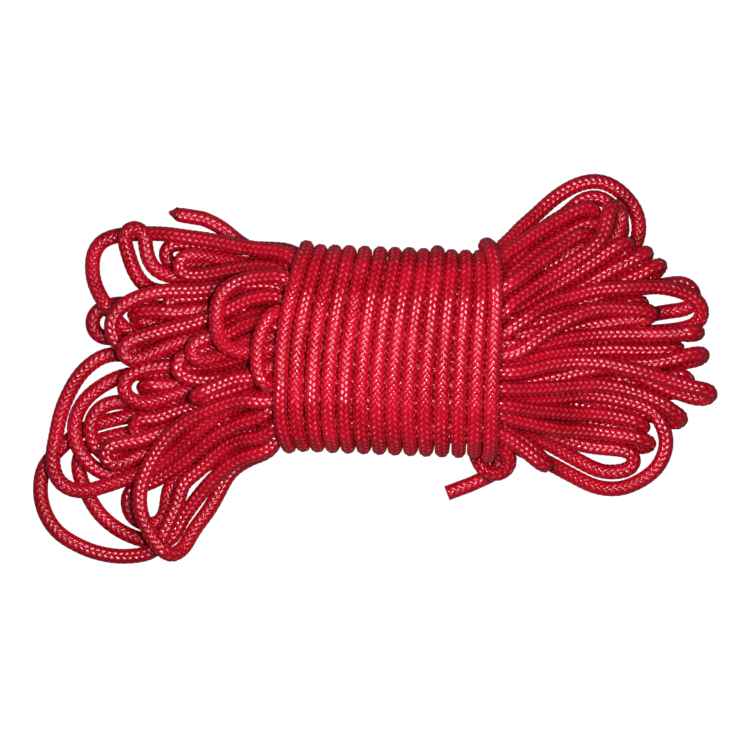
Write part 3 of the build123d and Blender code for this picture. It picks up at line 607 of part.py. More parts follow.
-99.35,-80.62,5.26,-45990,-87242,-16547 -102,-84.56,4.51,-71088,-68786,-14662
-106.09,-86.78,3.91,-96644,-24050,-9028 -113.4,-86.78,3.681,-98885,14890,-183
-125.11,-83.03,3.681,-90233,43105,0 -141.7,-68.33,3.681,-52445,85144,0
-147.22,-57.17,3.681,-35232,93588,0 -149.04,-50.04,3.681,-8976,99596,0
-147.72,-43.01,3.681,49311,86996,0 -140.27,-36.82,3.681,90837,41816,0
-130.76,-33.82,3.681,97359,22831,0 -108.71,-29.59,3.681,98493,17295,319
-89.19,-25.76,3.681,97948,20153,0 -72.08,-22.87,3.75,99440,10289,2399
-59.78,-22.29,4.82,98233,1016,18688 -55.06,-22.07,6.04,93237,17524,31619
-52.94,-21.44,6.85,83233,41311,36955 -49.99,-18.4,8.66,44417,80603,39118
-48.33,-14.15,10.62,36040,83688,41200 -45.65,-10.52,12.66,83306,46306,30263
-41.06,-9.84,13.22,99974,-939,2073 -36.06,-10.04,13.22,99920,-3997,0
-1.06,-11.4,13.22,99903,-4393,-265 -11.7,13.22
left_bight_25
4.8,27.51 -28.56,6.17,27.51,-99942,3380,436 -41.05,6.66,27.51,-99923,3919,-10
-50.61,6.35,26.87,-95882,-17376,-22467 -54.9,5.16,25.27,-84027,-32226,-43601
-60.49,2.48,21.68,-78108,-37799,-49703 -72.7,-2.23,15.84,-91929,-26329,-29255
-81.85,-3.97,13.68,-98041,-9389,-17315 -88.94,-4.67,12.7,-98088,-17368,-8780
-98.18,-7.21,12.54,-97055,-23938,2710 -105.29,-8.21,12.86,-99848,-2301,5004
-110.1,-8.03,12.98,-99603,4368,-7753 -114.55,-8.2,11.49,-74532,-18590,-64027
-115.91,-8.82,9.64,-33764,-33150,-88097 -116.1,-9.72,7.45,19539,-39428,-89798
-115.02,-10.62,5.54,65856,-33437,-67416 -110.6,-11.56,3.86,99228,-7114,-10161
-105.69,-11.53,3.94,99702,5549,5359 -89.01,-9.04,5.31,98059,16377,10780
-72.64,-6.26,7.99,94316,20404,26233 -61.67,-3.21,11.83,88213,30379,35995
-55.72,-0.63,14.85,73727,42002,52916 -52.36,1.35,17.62,75090,35334,55794
-48.35,2.51,19.75,95056,12178,28565 -43.55,2.62,20.35,99911,-2409,3460
-36.06,2.34,20.37,99928,-3797,0 -1.06,0.97,20.37,99925,-3871,199
0.68,20.37
tail_1
41.93,20.37 -28.56,43.29,20.37,-99928,3797,0 -31.06,43.39,20.37,-99770,6307,-2473
-35.63,44.27,19.69,-81298,44195,-37914 -38.22,47.55,16.94,-35359,74047,-57155
-40.16,51.45,14.2,-52951,69914,-48043 -43.58,54.24,12.04,-81200,41798,-40736
-50.23,56.39,9.3,-91694,24067,-31828 -64.01,61.18,5.93,-87251,46151,-16044
-72.04,66.83,4.711,-76616,63643,-8921 -73.93,68.41,4.51,-77613,62610,-7496
-82.2,73.74,4,-89981,43494,-3423 -84.47,74.76,3.921,-92342,38277,-2807
-86.81,75.65,3.86,-98700,16010,-1433
start_turn
25.43,48.95 -28.56,26.79,48.95,-99928,3797,0 -36.06,27.09,48.95,-99880,4617,1616
-40.94,27.46,49.43,-95714,12643,26057 -45.43,28.17,51.53,-86745,6455,49332
-49.64,27.59,53.95,-81806,-37748,43392 -53.04,24.66,55.41,-59498,-78692,16358
-55.42,20.33,55.71,-38835,-92115,2588 -58.06,2.99,56.47,5660,-99619,6631
-57.46,-1.9,56.74,22463,-97442,-686 -55.61,-6.24,56.03,60792,-71356,-34824
-53.96,-7.54,55.01,79517,-34291,-50013 -51.97,-7.79,53.74,83353,6464,-54869
-49.9,-7.15,52.33,78241,28576,-55333 -47.9,-6.3,50.86,80784,26880,-52454
-45.82,-5.77,49.66,91915,13327,-37069 -41.06,-5.72,48.95,99912,-3416,-2455
-31.06,-6.11,48.95,99920,-3997,0 3.94,-7.48,48.95,99932,-3665,-404
-7.57,48.95
"""

right_table = """
right_bight_01
50.17,34.66 41.73,48.8,34.66,99916,-4071,411 49.23,48.51,34.66,99936,-3581,188
51.73,48.41,34.66,99976,-720,-2086 54.16,48.47,34.56,97662,17384,-12643
56.27,49.17,34.1,81185,48986,-31771 58.94,52.98,31.61,36877,76813,-52343
61.06,57.28,28.46,42801,70543,-56496 65.52,62.64,23.55,58898,57144,-57144
70.58,67.68,18.89,58976,62144,-51575 77.8,74.54,13.57,68262,60084,-41595
94.01,88.32,6.87,81559,54252,-20120 106.39,93.88,4.74,97456,19545,-10965
117.03,93.08,3.971,93295,-35789,-3895 127.63,84.89,3.721,63299,-77414,-536
132.45,75.41,3.69,21552,-97650,-170 126.17,56.42,3.681,-76084,-64894,0
117.07,51.07,3.681,-90942,-41588,171 100.17,44.1,4.091,-92661,-37335,4470
85.87,38.73,5.12,-95035,-29354,10327 71.6,34.72,7.59,-93548,-28247,21236
64.85,32.17,9.48,-84471,-43154,31659 60.82,29.82,11.25,-81173,-45459,36666
56.57,28.02,12.83,-95543,-20659,21087 51.73,27.78,13.22,-99964,2394,1222
41.73,28.17,13.22,-99904,4376,-178 29.54,13.22
right_bight_02
41.92,34.66 41.73,40.55,34.66,99928,-3771,385 51.73,40.16,34.66,99941,-3398,-400
59.13,40.73,34.23,91975,33990,-19628 62.95,43.56,32.61,57372,71066,-40720
65.26,47.71,30.24,38360,80274,-45657 68.78,53.86,26.62,54761,70510,-45050
73.58,59,23.15,62106,65392,-43205 79.82,65.78,18.66,63464,63057,-44678
90.2,74.22,12.36,78362,48791,-38454 95.87,77.86,9.76,75043,57543,-32517
103.02,83.76,7.3,82364,53185,-19687 111.87,86.03,5.711,97543,-15062,-16079
121.17,79.42,4.171,57398,-81472,-8229 124.26,68.44,3.721,-22520,-97429,-631
120.57,62.57,3.75,-75437,-65636,1058 114.42,58.92,3.87,-90262,-42944,2938
96.71,51.56,5.25,-92007,-37467,11446 83.45,46.49,7.72,-91441,-32494,24138
70.84,41.42,12.4,-81233,-41857,40610 65.46,37.82,15.49,-66287,-59992,44799
58.91,32.38,19.59,-90168,-30920,30228 51.73,31.91,20.37,-99939,3402,805
26.73,32.88,20.37,-99949,3186,260 33.67,20.37
right_bight_03
46.04,41.8 41.73,44.67,41.8,99933,-3667,-25 49.23,44.38,41.8,99915,-4037,804
51.73,44.28,41.8,99992,-742,1031 56.4,45,42.03,87416,47971,7569
59.65,48.8,41.94,51010,83606,-20199 62.23,53.19,39.87,49479,73125,-46952
67.13,58.37,35.7,68598,52436,-50446 73.03,62.47,31.62,71293,51109,-48012
81,68.04,26.61,75442,48825,-43870 95.78,76.77,18.79,82409,42512,-37436
102.5,79.75,15.91,88025,29238,-37372 107.01,80.64,13.77,83996,-3082,-54178
110.03,79.26,10.57,30375,-55472,-77461 109.49,76.07,7.35,-51239,-69782,-50050
105.77,73.34,6.171,-89257,-44511,-7209 101.07,71.39,6.28,-92644,-37058,6623
84.57,64.65,9.32,-88741,-37758,26445 73.25,59.94,13.88,-82408,-36077,43673
65.11,55.5,18.99,-69235,-51018,51026 60.4,50.56,23.19,-46738,-71227,52367
59.21,48.53,24.62,-44640,-73779,50635 56.31,44.99,26.96,-83247,-46035,30833
51.73,44.28,27.51,-99980,720,1877 46.73,44.48,27.51,-99920,3997,0
11.73,45.85,27.51,-99936,3495,-765 46.04,27.51
right_bight_04
37.79,41.8 41.73,36.42,41.8,99925,-3869,124 51.73,36.03,41.8,99949,-3195,-199
59.26,36.64,41.74,93738,34753,-2324 63.49,39.71,41.41,65133,74653,-13590
66.44,44.13,40.07,50373,78289,-36515 69.38,47.97,37.53,59039,61041,-52805
74.54,52.35,32.98,64577,52400,-55535 85.46,60.64,24.64,74334,47393,-47205
95.66,66.72,19.25,80275,48556,-34616 101.95,70.48,16.9,86028,44043,-25678
106.5,72.2,15.8,95942,18189,-21549 111.01,72.03,14.36,81991,-27795,-50050
113.32,68.43,9.34,-25254,-60568,-75457 110.57,66,6.61,-81323,-43684,-38447
106.24,64.17,5.671,-92699,-36632,-8058 96.98,60.53,5.82,-92838,-36337,7789
83.02,55.34,8.26,-92184,-30991,23272 69.29,50.44,12.76,-85964,-36803,35437
61.35,45.46,16.74,-64421,-63000,43370 58.23,42.04,19.02,-68940,-60326,40100
56.4,40.74,19.89,-87833,-39395,27079 51.73,40.16,20.37,-99977,1361,1649
46.73,40.35,20.37,-99928,3797,0 11.73,41.72,20.37,-99937,3553,-242
41.92,20.37
right_bight_05
33.67,48.95 41.73,32.3,48.95,99957,-2927,-182 49.23,32.01,48.95,99928,-3797,0
51.73,31.91,48.95,99990,-1163,820 56.44,32.54,49.19,89939,42175,11498
60.06,35.86,49.83,65844,74918,7202 63.68,39.62,49.71,75707,64283,-11668
70.06,43.85,47.51,75739,47377,-44934 75.6,47.82,43.18,65691,50847,-55672
84.6,54.63,36,68426,52592,-50516 97.96,64.1,27.91,78401,49447,-37528
102.04,66.36,26.02,84167,33150,-42627 105.88,66.94,23.44,67809,-14008,-72151
107.69,65.35,19.56,2578,-44359,-89586 106.08,63.25,15.85,-64032,-46857,-60863
102.37,60.97,14.16,-84824,-50063,-17277 98.2,58.56,13.86,-86786,-49680,-14
85.46,51.73,15.86,-88267,-39754,25070 70.52,45.13,21.51,-80744,-45152,37969
64.88,41.07,24.45,-67654,-62117,39552 61.31,37.83,26.41,-78751,-53447,30687
59.14,36.66,27.06,-91782,-34588,19488 51.73,36.03,27.51,-99949,3198,200
24.23,37.11,27.51,-99929,3741,333 37.79,27.51
right_bight_06
25.42,48.95 41.73,24.05,48.95,99917,-4080,118 51.73,23.66,48.95,99942,-3398,200
56.71,23.69,49.05,99097,12413,5075 61.34,25.31,49.32,83872,54444,1113
65.08,28.85,48.93,66054,72778,-18445 68.51,32.43,47.4,69369,61191,-37995
74.1,36.61,44.09,72783,52649,-43940 85.66,44.59,37.59,77725,49937,-38276
104.02,56.53,30.55,78662,56494,-24913 111.47,62.97,28.17,62103,74315,-24908
115.59,71.48,25.17,23670,92174,-30719 116.53,76.08,23.66,20060,91763,-34310
117.92,80.05,21.53,45928,64447,-61132 120.72,81.42,18.21,66677,-12509,-73469
123.34,78.99,15.36,34776,-82977,-43651 123.71,74.43,14.18,-12787,-98292,-13236
121.32,67.42,13.75,-46617,-88468,-607 108.97,55.43,15.64,-85674,-47291,20577
97.7,50.53,18.88,-89244,-33979,29682 86.49,45.79,22.86,-84036,-42795,33264
74.14,38.59,28.67,-78336,-45572,42269 65.83,34.23,32.76,-86526,-38612,31975
59.09,32.09,34.38,-98206,-14814,11671 49.23,32.01,34.66,-99928,3797,0
14.23,33.37,34.66,-99928,3778,-384 33.67,34.66
right_bight_07
29.54,41.8 41.73,28.17,41.8,99964,-2650,346 51.73,27.78,41.8,99942,-3398,-200
59.2,27.96,41.59,99031,10590,-8984 68.85,29.98,39.22,88472,31172,-34655
81.38,36.7,33.26,78161,48536,-39180 96.15,45.13,27.41,83103,49395,-25574
111.14,54.47,23.58,79828,57603,-17588 117.35,58.95,22.33,81759,55465,-15464
121.67,61.63,21.38,85226,43553,-28975 125.69,62.89,18.95,65683,-4975,-75240
126.79,59.41,13.51,-34567,-77980,-52195 124.03,55.93,12.3,-74651,-66011,-8354
120.13,53.09,12.34,-82694,-56033,4697 109.53,46.89,13.69,-89189,-41408,18188
98.25,42.34,16.98,-87822,-34497,33124 87.34,36.9,20.99,-81028,-54530,21469
79.08,30.66,22.24,-80992,-58504,4192 74.67,27.82,22.11,-86851,-47545,-14013
69.96,25.78,20.71,-91426,-27986,-29293 67.45,25.17,19.98,-96010,-19939,-19611
62.1,24.28,19.75,-98608,-15184,6771 56.79,23.63,20.25,-99665,-5455,6093
46.73,23.85,20.37,-99928,3797,0 11.73,25.22,20.37,-99895,4585,258
25.42,20.37
right_bight_08
25.42,34.66 41.73,24.05,34.66,99903,-4396,-101 51.73,23.66,34.66,99936,-3536,-501
59.09,23.61,34.32,99146,3939,-12431 68.55,24.51,32.52,96606,16329,-20015
80,28.09,30.25,90829,38050,-17388 90.79,33.13,27.52,84734,44405,-29128
101.01,39.01,24.05,83085,50054,-24322 115.66,47.78,20.94,85483,50568,-11639
126.69,53.54,19.79,90165,42384,-8598 131.13,55.74,19.17,85049,46777,-24053
134.88,57.87,16.93,60905,27128,-74530 136.43,57.71,12.66,2156,-37211,-92794
135.19,54.9,9.24,-50232,-71039,-49297 132.08,51.54,7.83,-71991,-66159,-20983
124.18,45.7,5.9,-84362,-49909,-19803 112.91,40.29,3.961,-92240,-38040,-6688
101.12,35.53,3.9,-92269,-38314,4296 91.87,31.41,5.33,-87369,-38844,29288
85.32,28.85,8.66,-79401,-26283,54815 81.33,27.53,11.86,-71632,-32433,61781
79.5,26.5,13.46,-66493,-50089,55405 72.61,18.98,17.1,-80982,-53980,22980
64.75,16.47,18.76,-96514,-18232,18780 56.79,15.35,20.2,-99451,-4331,9528
49.23,15.51,20.37,-99928,3797,0 14.23,16.87,20.37,-99924,3865,490
17.17,20.37
right_bight_09
17.17,34.66 41.73,15.8,34.66,99900,-4451,-414 54.22,15.32,34.64,99947,-2820,-1632
66.22,15.69,33.92,98964,13005,-6080 73.28,16.9,33.37,97339,18509,-13511
84.29,20.1,29.93,80994,39556,-43304 89.79,23.35,26.57,75563,47537,-45061
103.35,31.67,20.97,85057,48810,-19568 109.68,35.18,20.08,88310,46720,-4314
118.29,39.87,19.75,85857,50418,-9309 126.83,44.66,18.37,88678,43226,-16363
135.64,48.85,16.62,87440,44323,-19740 139.9,50.97,15.25,80957,35827,-46502
142.98,51.9,11.84,34914,-6923,-93451 141.68,48.98,6.03,-59928,-60199,-52771
138.22,46.08,4.51,-77245,-60207,-20207 126.01,37.42,3.681,-86163,-50754,0
109.69,30.09,3.681,-92794,-37273,0 91.17,20.95,3.681,-80778,-58948,0
87.08,17.68,3.681,-78203,-62324,173 82.79,14.74,3.77,-88946,-45155,7052
78.02,13.14,4.711,-92665,-18118,32938 73.41,12.73,7.08,-84830,-1914,52917
66.64,12.62,10.88,-94970,-7803,30329 61.62,11.92,11.81,-97158,-15935,17504
56.69,11.26,12.87,-98443,-5948,16539 49.23,11.38,13.22,-99920,3997,0
14.23,12.75,13.22,-99930,3709,488 13.04,13.22
right_bight_10
29.54,27.51 41.73,28.17,27.51,99914,-4135,279 51.73,27.78,27.51,99942,-3398,-200
61.42,28.58,26.75,92172,31718,-22322 65.57,30.91,25.17,72897,55246,-40423
69.14,33.8,22.51,67418,43801,-59467 74.85,35.62,17.49,80895,8609,-58154
84.31,35.74,13.41,97712,-2907,-21068 94.47,35.36,12.37,99868,1973,-4737
109.41,37.43,11.92,98876,14723,-2586 121.85,38.96,11.66,99073,13582,398
131.79,40.3,11.8,99267,11342,-4165 141.69,41.49,10.39,96558,14837,-21365
149,42.67,8.68,96627,12673,-22419 156.1,42.34,7.02,90023,-36901,-23111
160.49,35.06,4.99,-18523,-96883,-16452 157.97,31.25,4.49,-80731,-58612,-6865
153.45,29.6,4.28,-98104,-19199,-2654 148.54,28.93,4.2,-99047,-13750,-806
131.58,25.91,4.64,-98847,-13779,6275 119.39,24.04,5.86,-97353,-18466,13468
102.54,20.4,9.16,-95103,-19691,23825 92.68,18.91,11.42,-98798,-5057,14604
84.99,19.3,11.26,-96375,11338,-24151 80.11,19.97,9.34,-92409,13712,-35672
77.61,20.35,8.51,-97062,14625,-19106 75,20.74,8.33,-98711,14219,7346
69.85,21.35,9.95,-92858,4355,36858 67.26,21.34,10.95,-95151,-6554,30054
59.29,19.88,12.52,-97229,-16366,16692 54.23,19.47,13.17,-99856,-179,5355
46.73,19.73,13.22,-99920,3997,0 11.73,21.1,13.22,-99911,4201,410
21.29,13.22
right_bight_11
17.17,48.95 41.73,15.8,48.95,99915,-4099,351 51.73,15.41,48.95,99942,-3398,0
61.52,16.18,48.9,95312,30227,-1422 65.99,18.39,48.8,83234,55287,-3935
70.04,21.43,48.38,80474,57724,-13851 76.17,25.55,46.73,77446,55696,-30001
81.79,29.66,43.66,73474,47471,-48458 89.62,33.6,38.57,81844,32417,-47442
105.22,37.95,31.78,92240,24704,-29690 114.73,39.84,29.19,96853,10164,-22719
126.86,40.63,26.14,94634,6758,-31603 136.27,41.09,22.6,93318,594,-35937
147.96,40.24,18.26,92631,-17900,-33152 156.89,37.43,15.12,85109,-42501,-30825
164.13,29.47,10.84,14394,-87136,-46905 160.82,22.38,6.49,-77339,-50429,-38413
154.28,20.1,4.671,-97038,-19876,-13733 142.08,18.65,3.9,-99600,-8485,-2810
112.59,14.89,3.73,-98574,-16766,1414 95.75,11.09,4.43,-94979,-30101,8542
88.92,8.51,5.33,-91216,-37138,17329 79.93,5.77,7.961,-91986,-16964,35366
71.11,5.02,12.08,-88039,-807,47419 64.92,5.48,15.78,-82414,14817,54666
58.91,6.63,19.46,-92431,12512,36056 49.23,7.26,20.37,-99928,3797,0
14.23,8.62,20.37,-99881,4866,111 8.92,20.37
right_bight_12
21.29,41.8 41.73,19.92,41.8,99929,-3755,-304 51.73,19.53,41.8,99942,-3398,-200
59.18,19.69,41.61,99189,10194,-7592 69.28,21.39,40.18,96022,22544,-16478
76.82,23.21,38.71,95407,20792,-21569 86.58,25.38,35.89,91758,21829,-33225
95.99,27.45,32.19,91780,15942,-36363 105.42,28.97,28.51,92390,16085,-34719
117.25,31.07,24.38,93606,19196,-29485 124.41,32.52,22.43,95917,17909,-21889
129.24,33.29,21.3,94013,9826,-32634 133.17,33.3,18.66,53218,-13403,-83596
132.15,31.53,12.49,-76779,-22619,-59944 127.49,30.92,11.15,-99500,-6753,-7352
122.48,30.59,11.24,-99460,-8983,5190 100.44,27.2,13.79,-96855,-16243,18850
91.06,25.4,16.63,-88272,-25269,39617 82.68,22.14,21.31,-80219,-33027,49740
76.19,19.9,24.53,-92699,-21930,30429 66.35,19.18,26.4,-99262,17,12124
54.22,19.44,27.5,-99940,2815,2028 41.73,19.92,27.51,-99932,3683,-50
21.29,27.51
right_bight_13
8.92,48.95 41.73,7.55,48.95,99918,-4055,61 59.15,6.72,48.87,99725,-6919,-2646
66.56,6.97,48.57,97714,20667,-4983 75.71,11.01,47.69,81854,54482,-18212
83.49,16.9,44.91,76712,56652,-30096 93.78,23.38,41.32,85348,44843,-26548
102.62,27.45,38.35,88010,34247,-32884 114.16,30.17,34.1,94161,7136,-32907
126.12,30.02,30.14,95417,-6178,-29282 130.88,29.7,28.66,94717,-6020,-31503
135.45,29.3,26.79,83516,-16383,-52504 138.28,27.92,23.46,24584,-42271,-87228
137.42,25.83,19.5,-59060,-38940,-70680 133.35,24.61,17.33,-95530,-14906,-25531
128.49,24.12,16.62,-99139,-9367,-9149 104.56,20.42,17.69,-95366,-24413,17588
86.94,14.88,23.19,-87179,-31402,37599 74.51,10.04,28.93,-85851,-32686,39512
65.97,7.4,32.51,-92771,-16502,33484 56.67,7.01,34.54,-99708,1632,7454
46.73,7.35,34.66,-99928,3797,0 11.73,8.72,34.66,-99912,4164,448
8.92,34.66
right_bight_14
13.04,41.8 41.73,11.67,41.8,99915,-4106,-296 51.73,11.28,41.8,99942,-3402,0
59.12,11.41,41.77,99537,9469,-1649 66.46,12.01,41.34,99121,-336,-13226
73.97,11.64,39.73,96659,-770,-25623 83.57,12.51,36.35,89806,14145,-41652
96.94,15.27,29.43,89290,15765,-42176 120.75,17.26,22.34,98922,2015,-14506
145.44,17.47,21.53,99736,2833,6679 152.81,17.9,22.2,99199,9870,7880
157.75,18.46,22.12,96675,8766,-24023 159.99,18.61,21.19,80785,879,-58933
161.52,18.51,19.42,44021,-10237,-89204 161.27,17.65,14.92,-53993,-19334,-81920
159.53,17.26,13.39,-86639,-10518,-48817 154.69,17.33,12.45,-99618,6748,-5547
149.67,17.54,12.31,-99913,-1787,-3781 139.67,16.7,11.95,-99389,-10777,-2392
107.54,12.86,12.75,-98822,-12731,8490 88.22,10.82,15.59,-97420,-6139,21719
74.34,10.14,20.04,-91933,-3489,39194 67.74,10.16,23.11,-88912,6622,45287
59.06,11.03,27,-97446,5044,21882 51.73,11.28,27.51,-99927,3804,402
16.73,12.65,27.51,-99920,3997,0 13.04,27.51
right_bight_15
4.79,41.8 41.73,3.42,41.8,99911,-4222,207 54.22,2.94,41.78,99929,-3021,-2238
63.81,2.87,40.64,97265,1669,-23166 77.17,4.55,34.8,86365,18408,-46929
90.03,7.09,28.03,90034,13946,-41223 108.27,8.79,21.59,96383,7621,-25540
124.79,9.41,17.99,98321,-2697,-18046 136.66,9.21,15.95,98841,1242,-15128
143.82,9.38,14.92,98725,2686,-15689 148.55,9.47,13.79,91151,1676,-41094
150.59,9.52,12.54,71856,5974,-69289 152.13,10.17,8.31,-13338,18093,-97441
151.27,10.57,6.15,-58338,12478,-80255 149.48,10.74,4.65,-87588,2716,-48177
144.76,10.55,3.75,-99725,-6819,-2887 139.96,10.15,3.881,-99520,-8953,3956
116.18,7.25,5.36,-98444,-13974,10657 93.14,3.59,10.49,-91862,-16493,35909
84.38,2.39,14.14,-91405,-7517,39857 73.63,1.88,19.36,-88397,-3762,46602
65.36,2.02,24.04,-84821,10544,51906 61.26,2.59,26.31,-92280,9596,37313
51.73,3.03,27.51,-99927,3804,402 16.73,4.4,27.51,-99920,3997,0
4.79,27.51
right_bight_16
-7.58,34.66 41.73,-8.95,34.66,99917,-4080,0 54.22,-9.44,34.64,99904,-3634,-2452
61.38,-9.57,33.69,95703,1469,-28963 67.97,-8.99,30.95,91362,13972,-38180
81.61,-6.56,26.96,96110,18685,-20338 97.8,-2.72,24.16,95564,25649,-14479
107.16,-0.55,22.97,98090,17519,-8452 119.22,1.39,22.51,98695,16043,-1421
129,2.56,22.08,99469,3439,-9703 136.4,2.73,21.33,99529,6647,-7053
146.23,4.09,20.9,98091,18891,-4619 153.42,5.8,19.93,93332,25491,-25287
158.02,6.97,18.37,91280,19209,-36043 163.84,7.46,14.31,48358,-14273,-86358
163.24,5.27,8.12,-62896,-34293,-69772 159.22,4.01,5.85,-92026,-20657,-33235
149.57,2.53,3.931,-99407,-7779,-7604 139.48,1.84,3.681,-99569,-9269,-177
114.25,-1.22,4.051,-99106,-12339,5073 84.15,-3.76,8.43,-96440,197,26445
67.31,-3.14,14.23,-91671,8488,39043 62.81,-2.51,16.36,-86473,16438,47457
58.71,-1.66,18.86,-87302,14341,46612 56.56,-1.38,19.83,-94882,9714,30050
49.23,-0.99,20.37,-99928,3797,0 14.23,0.37,20.37,-99931,3664,622
0.67,20.37
right_bight_17
-3.46,27.51 41.73,-4.83,27.51,99904,-4366,-254 51.73,-5.22,27.51,99927,-3804,-402
59,-5.5,26.84,95073,-6770,-30254 65.22,-6.31,23.45,86937,-10051,-48384
74.09,-6.55,19.77,94293,620,-33295 99.93,-6.59,12.82,98178,-816,-18984
124.25,-6.45,8.83,98965,3434,-13935 141.31,-4.89,8.17,98475,14507,9607
148.51,-3.79,9.19,98314,12827,13031 153.38,-3.55,9.41,98073,-13931,-13698
155.61,-4.17,8.82,82417,-43080,-36764 157.2,-5.54,7.711,45760,-70823,-53759
157.71,-7.41,6.36,-4666,-82246,-56690 156.98,-9.3,5.12,-52950,-71725,-45298
152.97,-11.51,3.86,-96571,-23486,-11062 147.99,-12.04,3.711,-99795,-6365,-598
122.83,-12.78,3.681,-99725,7414,182 108,-11.91,4.011,-99810,2844,5470
74.58,-12.37,9.63,-95983,-620,28050 67.74,-12.28,11.88,-92919,5441,36556
63.52,-11.72,13.99,-80962,19520,55355 60.13,-10.54,17.07,-68774,24521,68329
58.48,-10.01,18.66,-78742,19226,58567 56.51,-9.65,19.78,-92739,12066,35411
51.73,-9.34,20.37,-99881,4426,2032 41.73,-8.95,20.37,-99901,4449,91
-7.58,20.37
right_bight_18
0.67,48.95 41.73,-0.7,48.95,99941,-3407,-376 51.73,-1.09,48.95,99910,-4205,-603
59.08,-1.54,48.47,98499,-7387,-15598 71.25,-1.55,45.4,92734,11720,-35538
82.67,0.94,40.23,88778,21365,-40767 103.99,3.34,32.95,97810,-1607,-20750
118.73,1.79,30.94,97902,-18820,-7808 128.45,-0.28,29.88,96104,-21623,-17217
140.04,-3.34,26.66,90881,-27186,-31647 155.66,-8.25,22,94241,-27342,-19265
160.27,-9.45,21.2,96556,-20890,-15507 164.93,-10.37,20.18,89323,-24387,-37772
166.92,-11.07,19.01,68246,-36853,-63122 168.2,-13.25,15.22,-20684,-47883,-85319
165.28,-14.84,12.11,-91498,-13755,-37932 160.49,-14.53,11.7,-97756,19130,8818
155.74,-13.22,12.52,-93400,30000,19400 146.59,-9.88,14.76,-90368,36468,22442
137.59,-5.85,16.04,-90923,41617,991 128.57,-2.08,15.29,-92842,34579,-13588
119.38,0.56,14.3,-98141,18969,-2925 105.12,2.14,15.4,-97925,8126,18564
95.99,2.71,18.22,-92520,1247,37927 80.67,1.41,24.95,-89142,-11871,43736
70.12,-0.34,30.36,-87884,-15900,44984 61.4,-1.3,33.88,-97501,-1699,22152
49.23,-0.99,34.66,-99928,3797,0 14.23,0.37,34.66,-99902,4408,417
0.67,34.66
right_bight_19
-7.58,48.95 41.73,-8.95,48.95,99949,-3189,85 54.22,-9.45,48.94,99843,-5427,-1409
64.05,-10.09,47.77,95352,-3343,-29948 73.44,-10.19,42.9,85649,561,-51614
94.32,-9.06,31.69,91344,6908,-40106 103.89,-8.43,27.77,92653,5963,-37147
113.48,-8.42,24.2,94704,-8494,-30968 127.88,-11.01,20.61,95408,-24545,-17169
137.2,-14.18,19.19,91054,-39261,-12952 145.7,-18.61,17.46,80380,-53657,-25690
149.44,-21.25,15.98,76247,-52295,-38101 152.75,-23.62,13.54,50077,-49747,-70835
153.49,-25.78,9.61,-22527,-39152,-89217 150.9,-26.81,6.01,-80710,-409,-59040
146.58,-25.91,4.29,-93740,29029,-19241 137.33,-22.8,4.37,-95096,27951,13248
123.06,-20.35,7.04,-97213,15421,17659 108.74,-17.95,9.63,-96689,16557,19420
87.73,-15.14,14.87,-95123,6010,30257 71.94,-14.86,20.8,-91979,-208,39241
65.39,-14.61,23.77,-88640,9201,45369 59.01,-13.81,26.88,-95644,8016,28069
51.73,-13.47,27.51,-99927,3804,402 16.73,-12.1,27.51,-99920,3997,0
-11.71,27.51
right_ring_20
-11.71,41.8 41.73,-13.08,41.8,99951,-3106,468 54.23,-13.57,41.78,99883,-4204,-2407
61.64,-13.98,40.88,96020,-8079,-26737 71.03,-14.69,36.1,84587,-2952,-53258
87.24,-14.52,26.38,88533,2796,-46412 96.92,-13.89,21.84,92041,8998,-38045
109.46,-13.56,17.52,95962,-7185,-27198 122.19,-15.43,14.58,96654,-18422,-17848
132.27,-17.88,13,94165,-31265,-12465 141.02,-23.01,12.15,66894,-74181,-4735
144.79,-29.58,11.32,35179,-91500,-19754 146.15,-34.35,10.12,15518,-95711,-24465
142.71,-48.37,6.97,-55341,-81470,-17320 131.18,-57.52,5.131,-89932,-43073,-7542
121.58,-60.32,4.671,-99650,-8171,-1792 109.22,-58.52,4.91,-93485,35031,5775
98.01,-53,6.3,-86885,46617,16669 80.8,-44.04,11.62,-83873,40345,36574
68.51,-38.62,18.19,-81111,29255,50647 62.77,-36.2,22.14,-70388,43925,55822
59.68,-33.58,24.88,-59540,60133,53282 56.4,-30.81,27.04,-87209,40217,27877
51.73,-29.97,27.51,-99789,6288,1640 44.23,-29.67,27.51,-99928,3797,0
9.23,-28.31,27.51,-99900,4459,-266 -28.21,27.51
right_bight_21
-15.83,48.95 41.73,-17.2,48.95,99913,-4178,-109 54.22,-17.71,48.94,99836,-5642,-1011
63.82,-18.44,47.79,94495,-7289,-31898 72.77,-19.6,42.78,80767,-13271,-57451
87.31,-21.3,31.88,81121,-6030,-58163 106.72,-22.61,20.6,91419,-5560,-40144
122.67,-24.29,15.5,96306,-16854,-21004 127.3,-25.19,14.58,95862,-21631,-18508
131.75,-26.5,13.46,84755,-35636,-39328 134.69,-28.49,10.51,26367,-45036,-85302
133.78,-30.19,6.37,-61724,-20048,-76081 129.68,-30.2,4.16,-97080,13869,-19573
124.9,-29.2,4.02,-97483,22026,3445 91.35,-23.01,8.26,-96347,14574,22471
72.57,-20.56,13.85,-93757,10328,33210 61.06,-18.95,18.14,-90565,19529,37639
56.58,-17.98,19.89,-95806,14684,24608 49.23,-17.49,20.37,-99928,3797,0
14.23,-16.13,20.37,-99890,4690,172 -15.83,20.37
right_bight_22
-19.96,41.8 41.73,-21.33,41.8,99916,-4094,292 54.23,-21.83,41.79,99804,-6184,-997
59.2,-22.44,41.61,97382,-20758,-9267 64.02,-23.83,40.62,90232,-28473,-32365
70.83,-25.81,36.99,83808,-21512,-50135 86.58,-29.54,28.07,87070,-18295,-45653
95.67,-30.84,23.45,90253,-6472,-42573 112.08,-32,17.65,96942,-10570,-22148
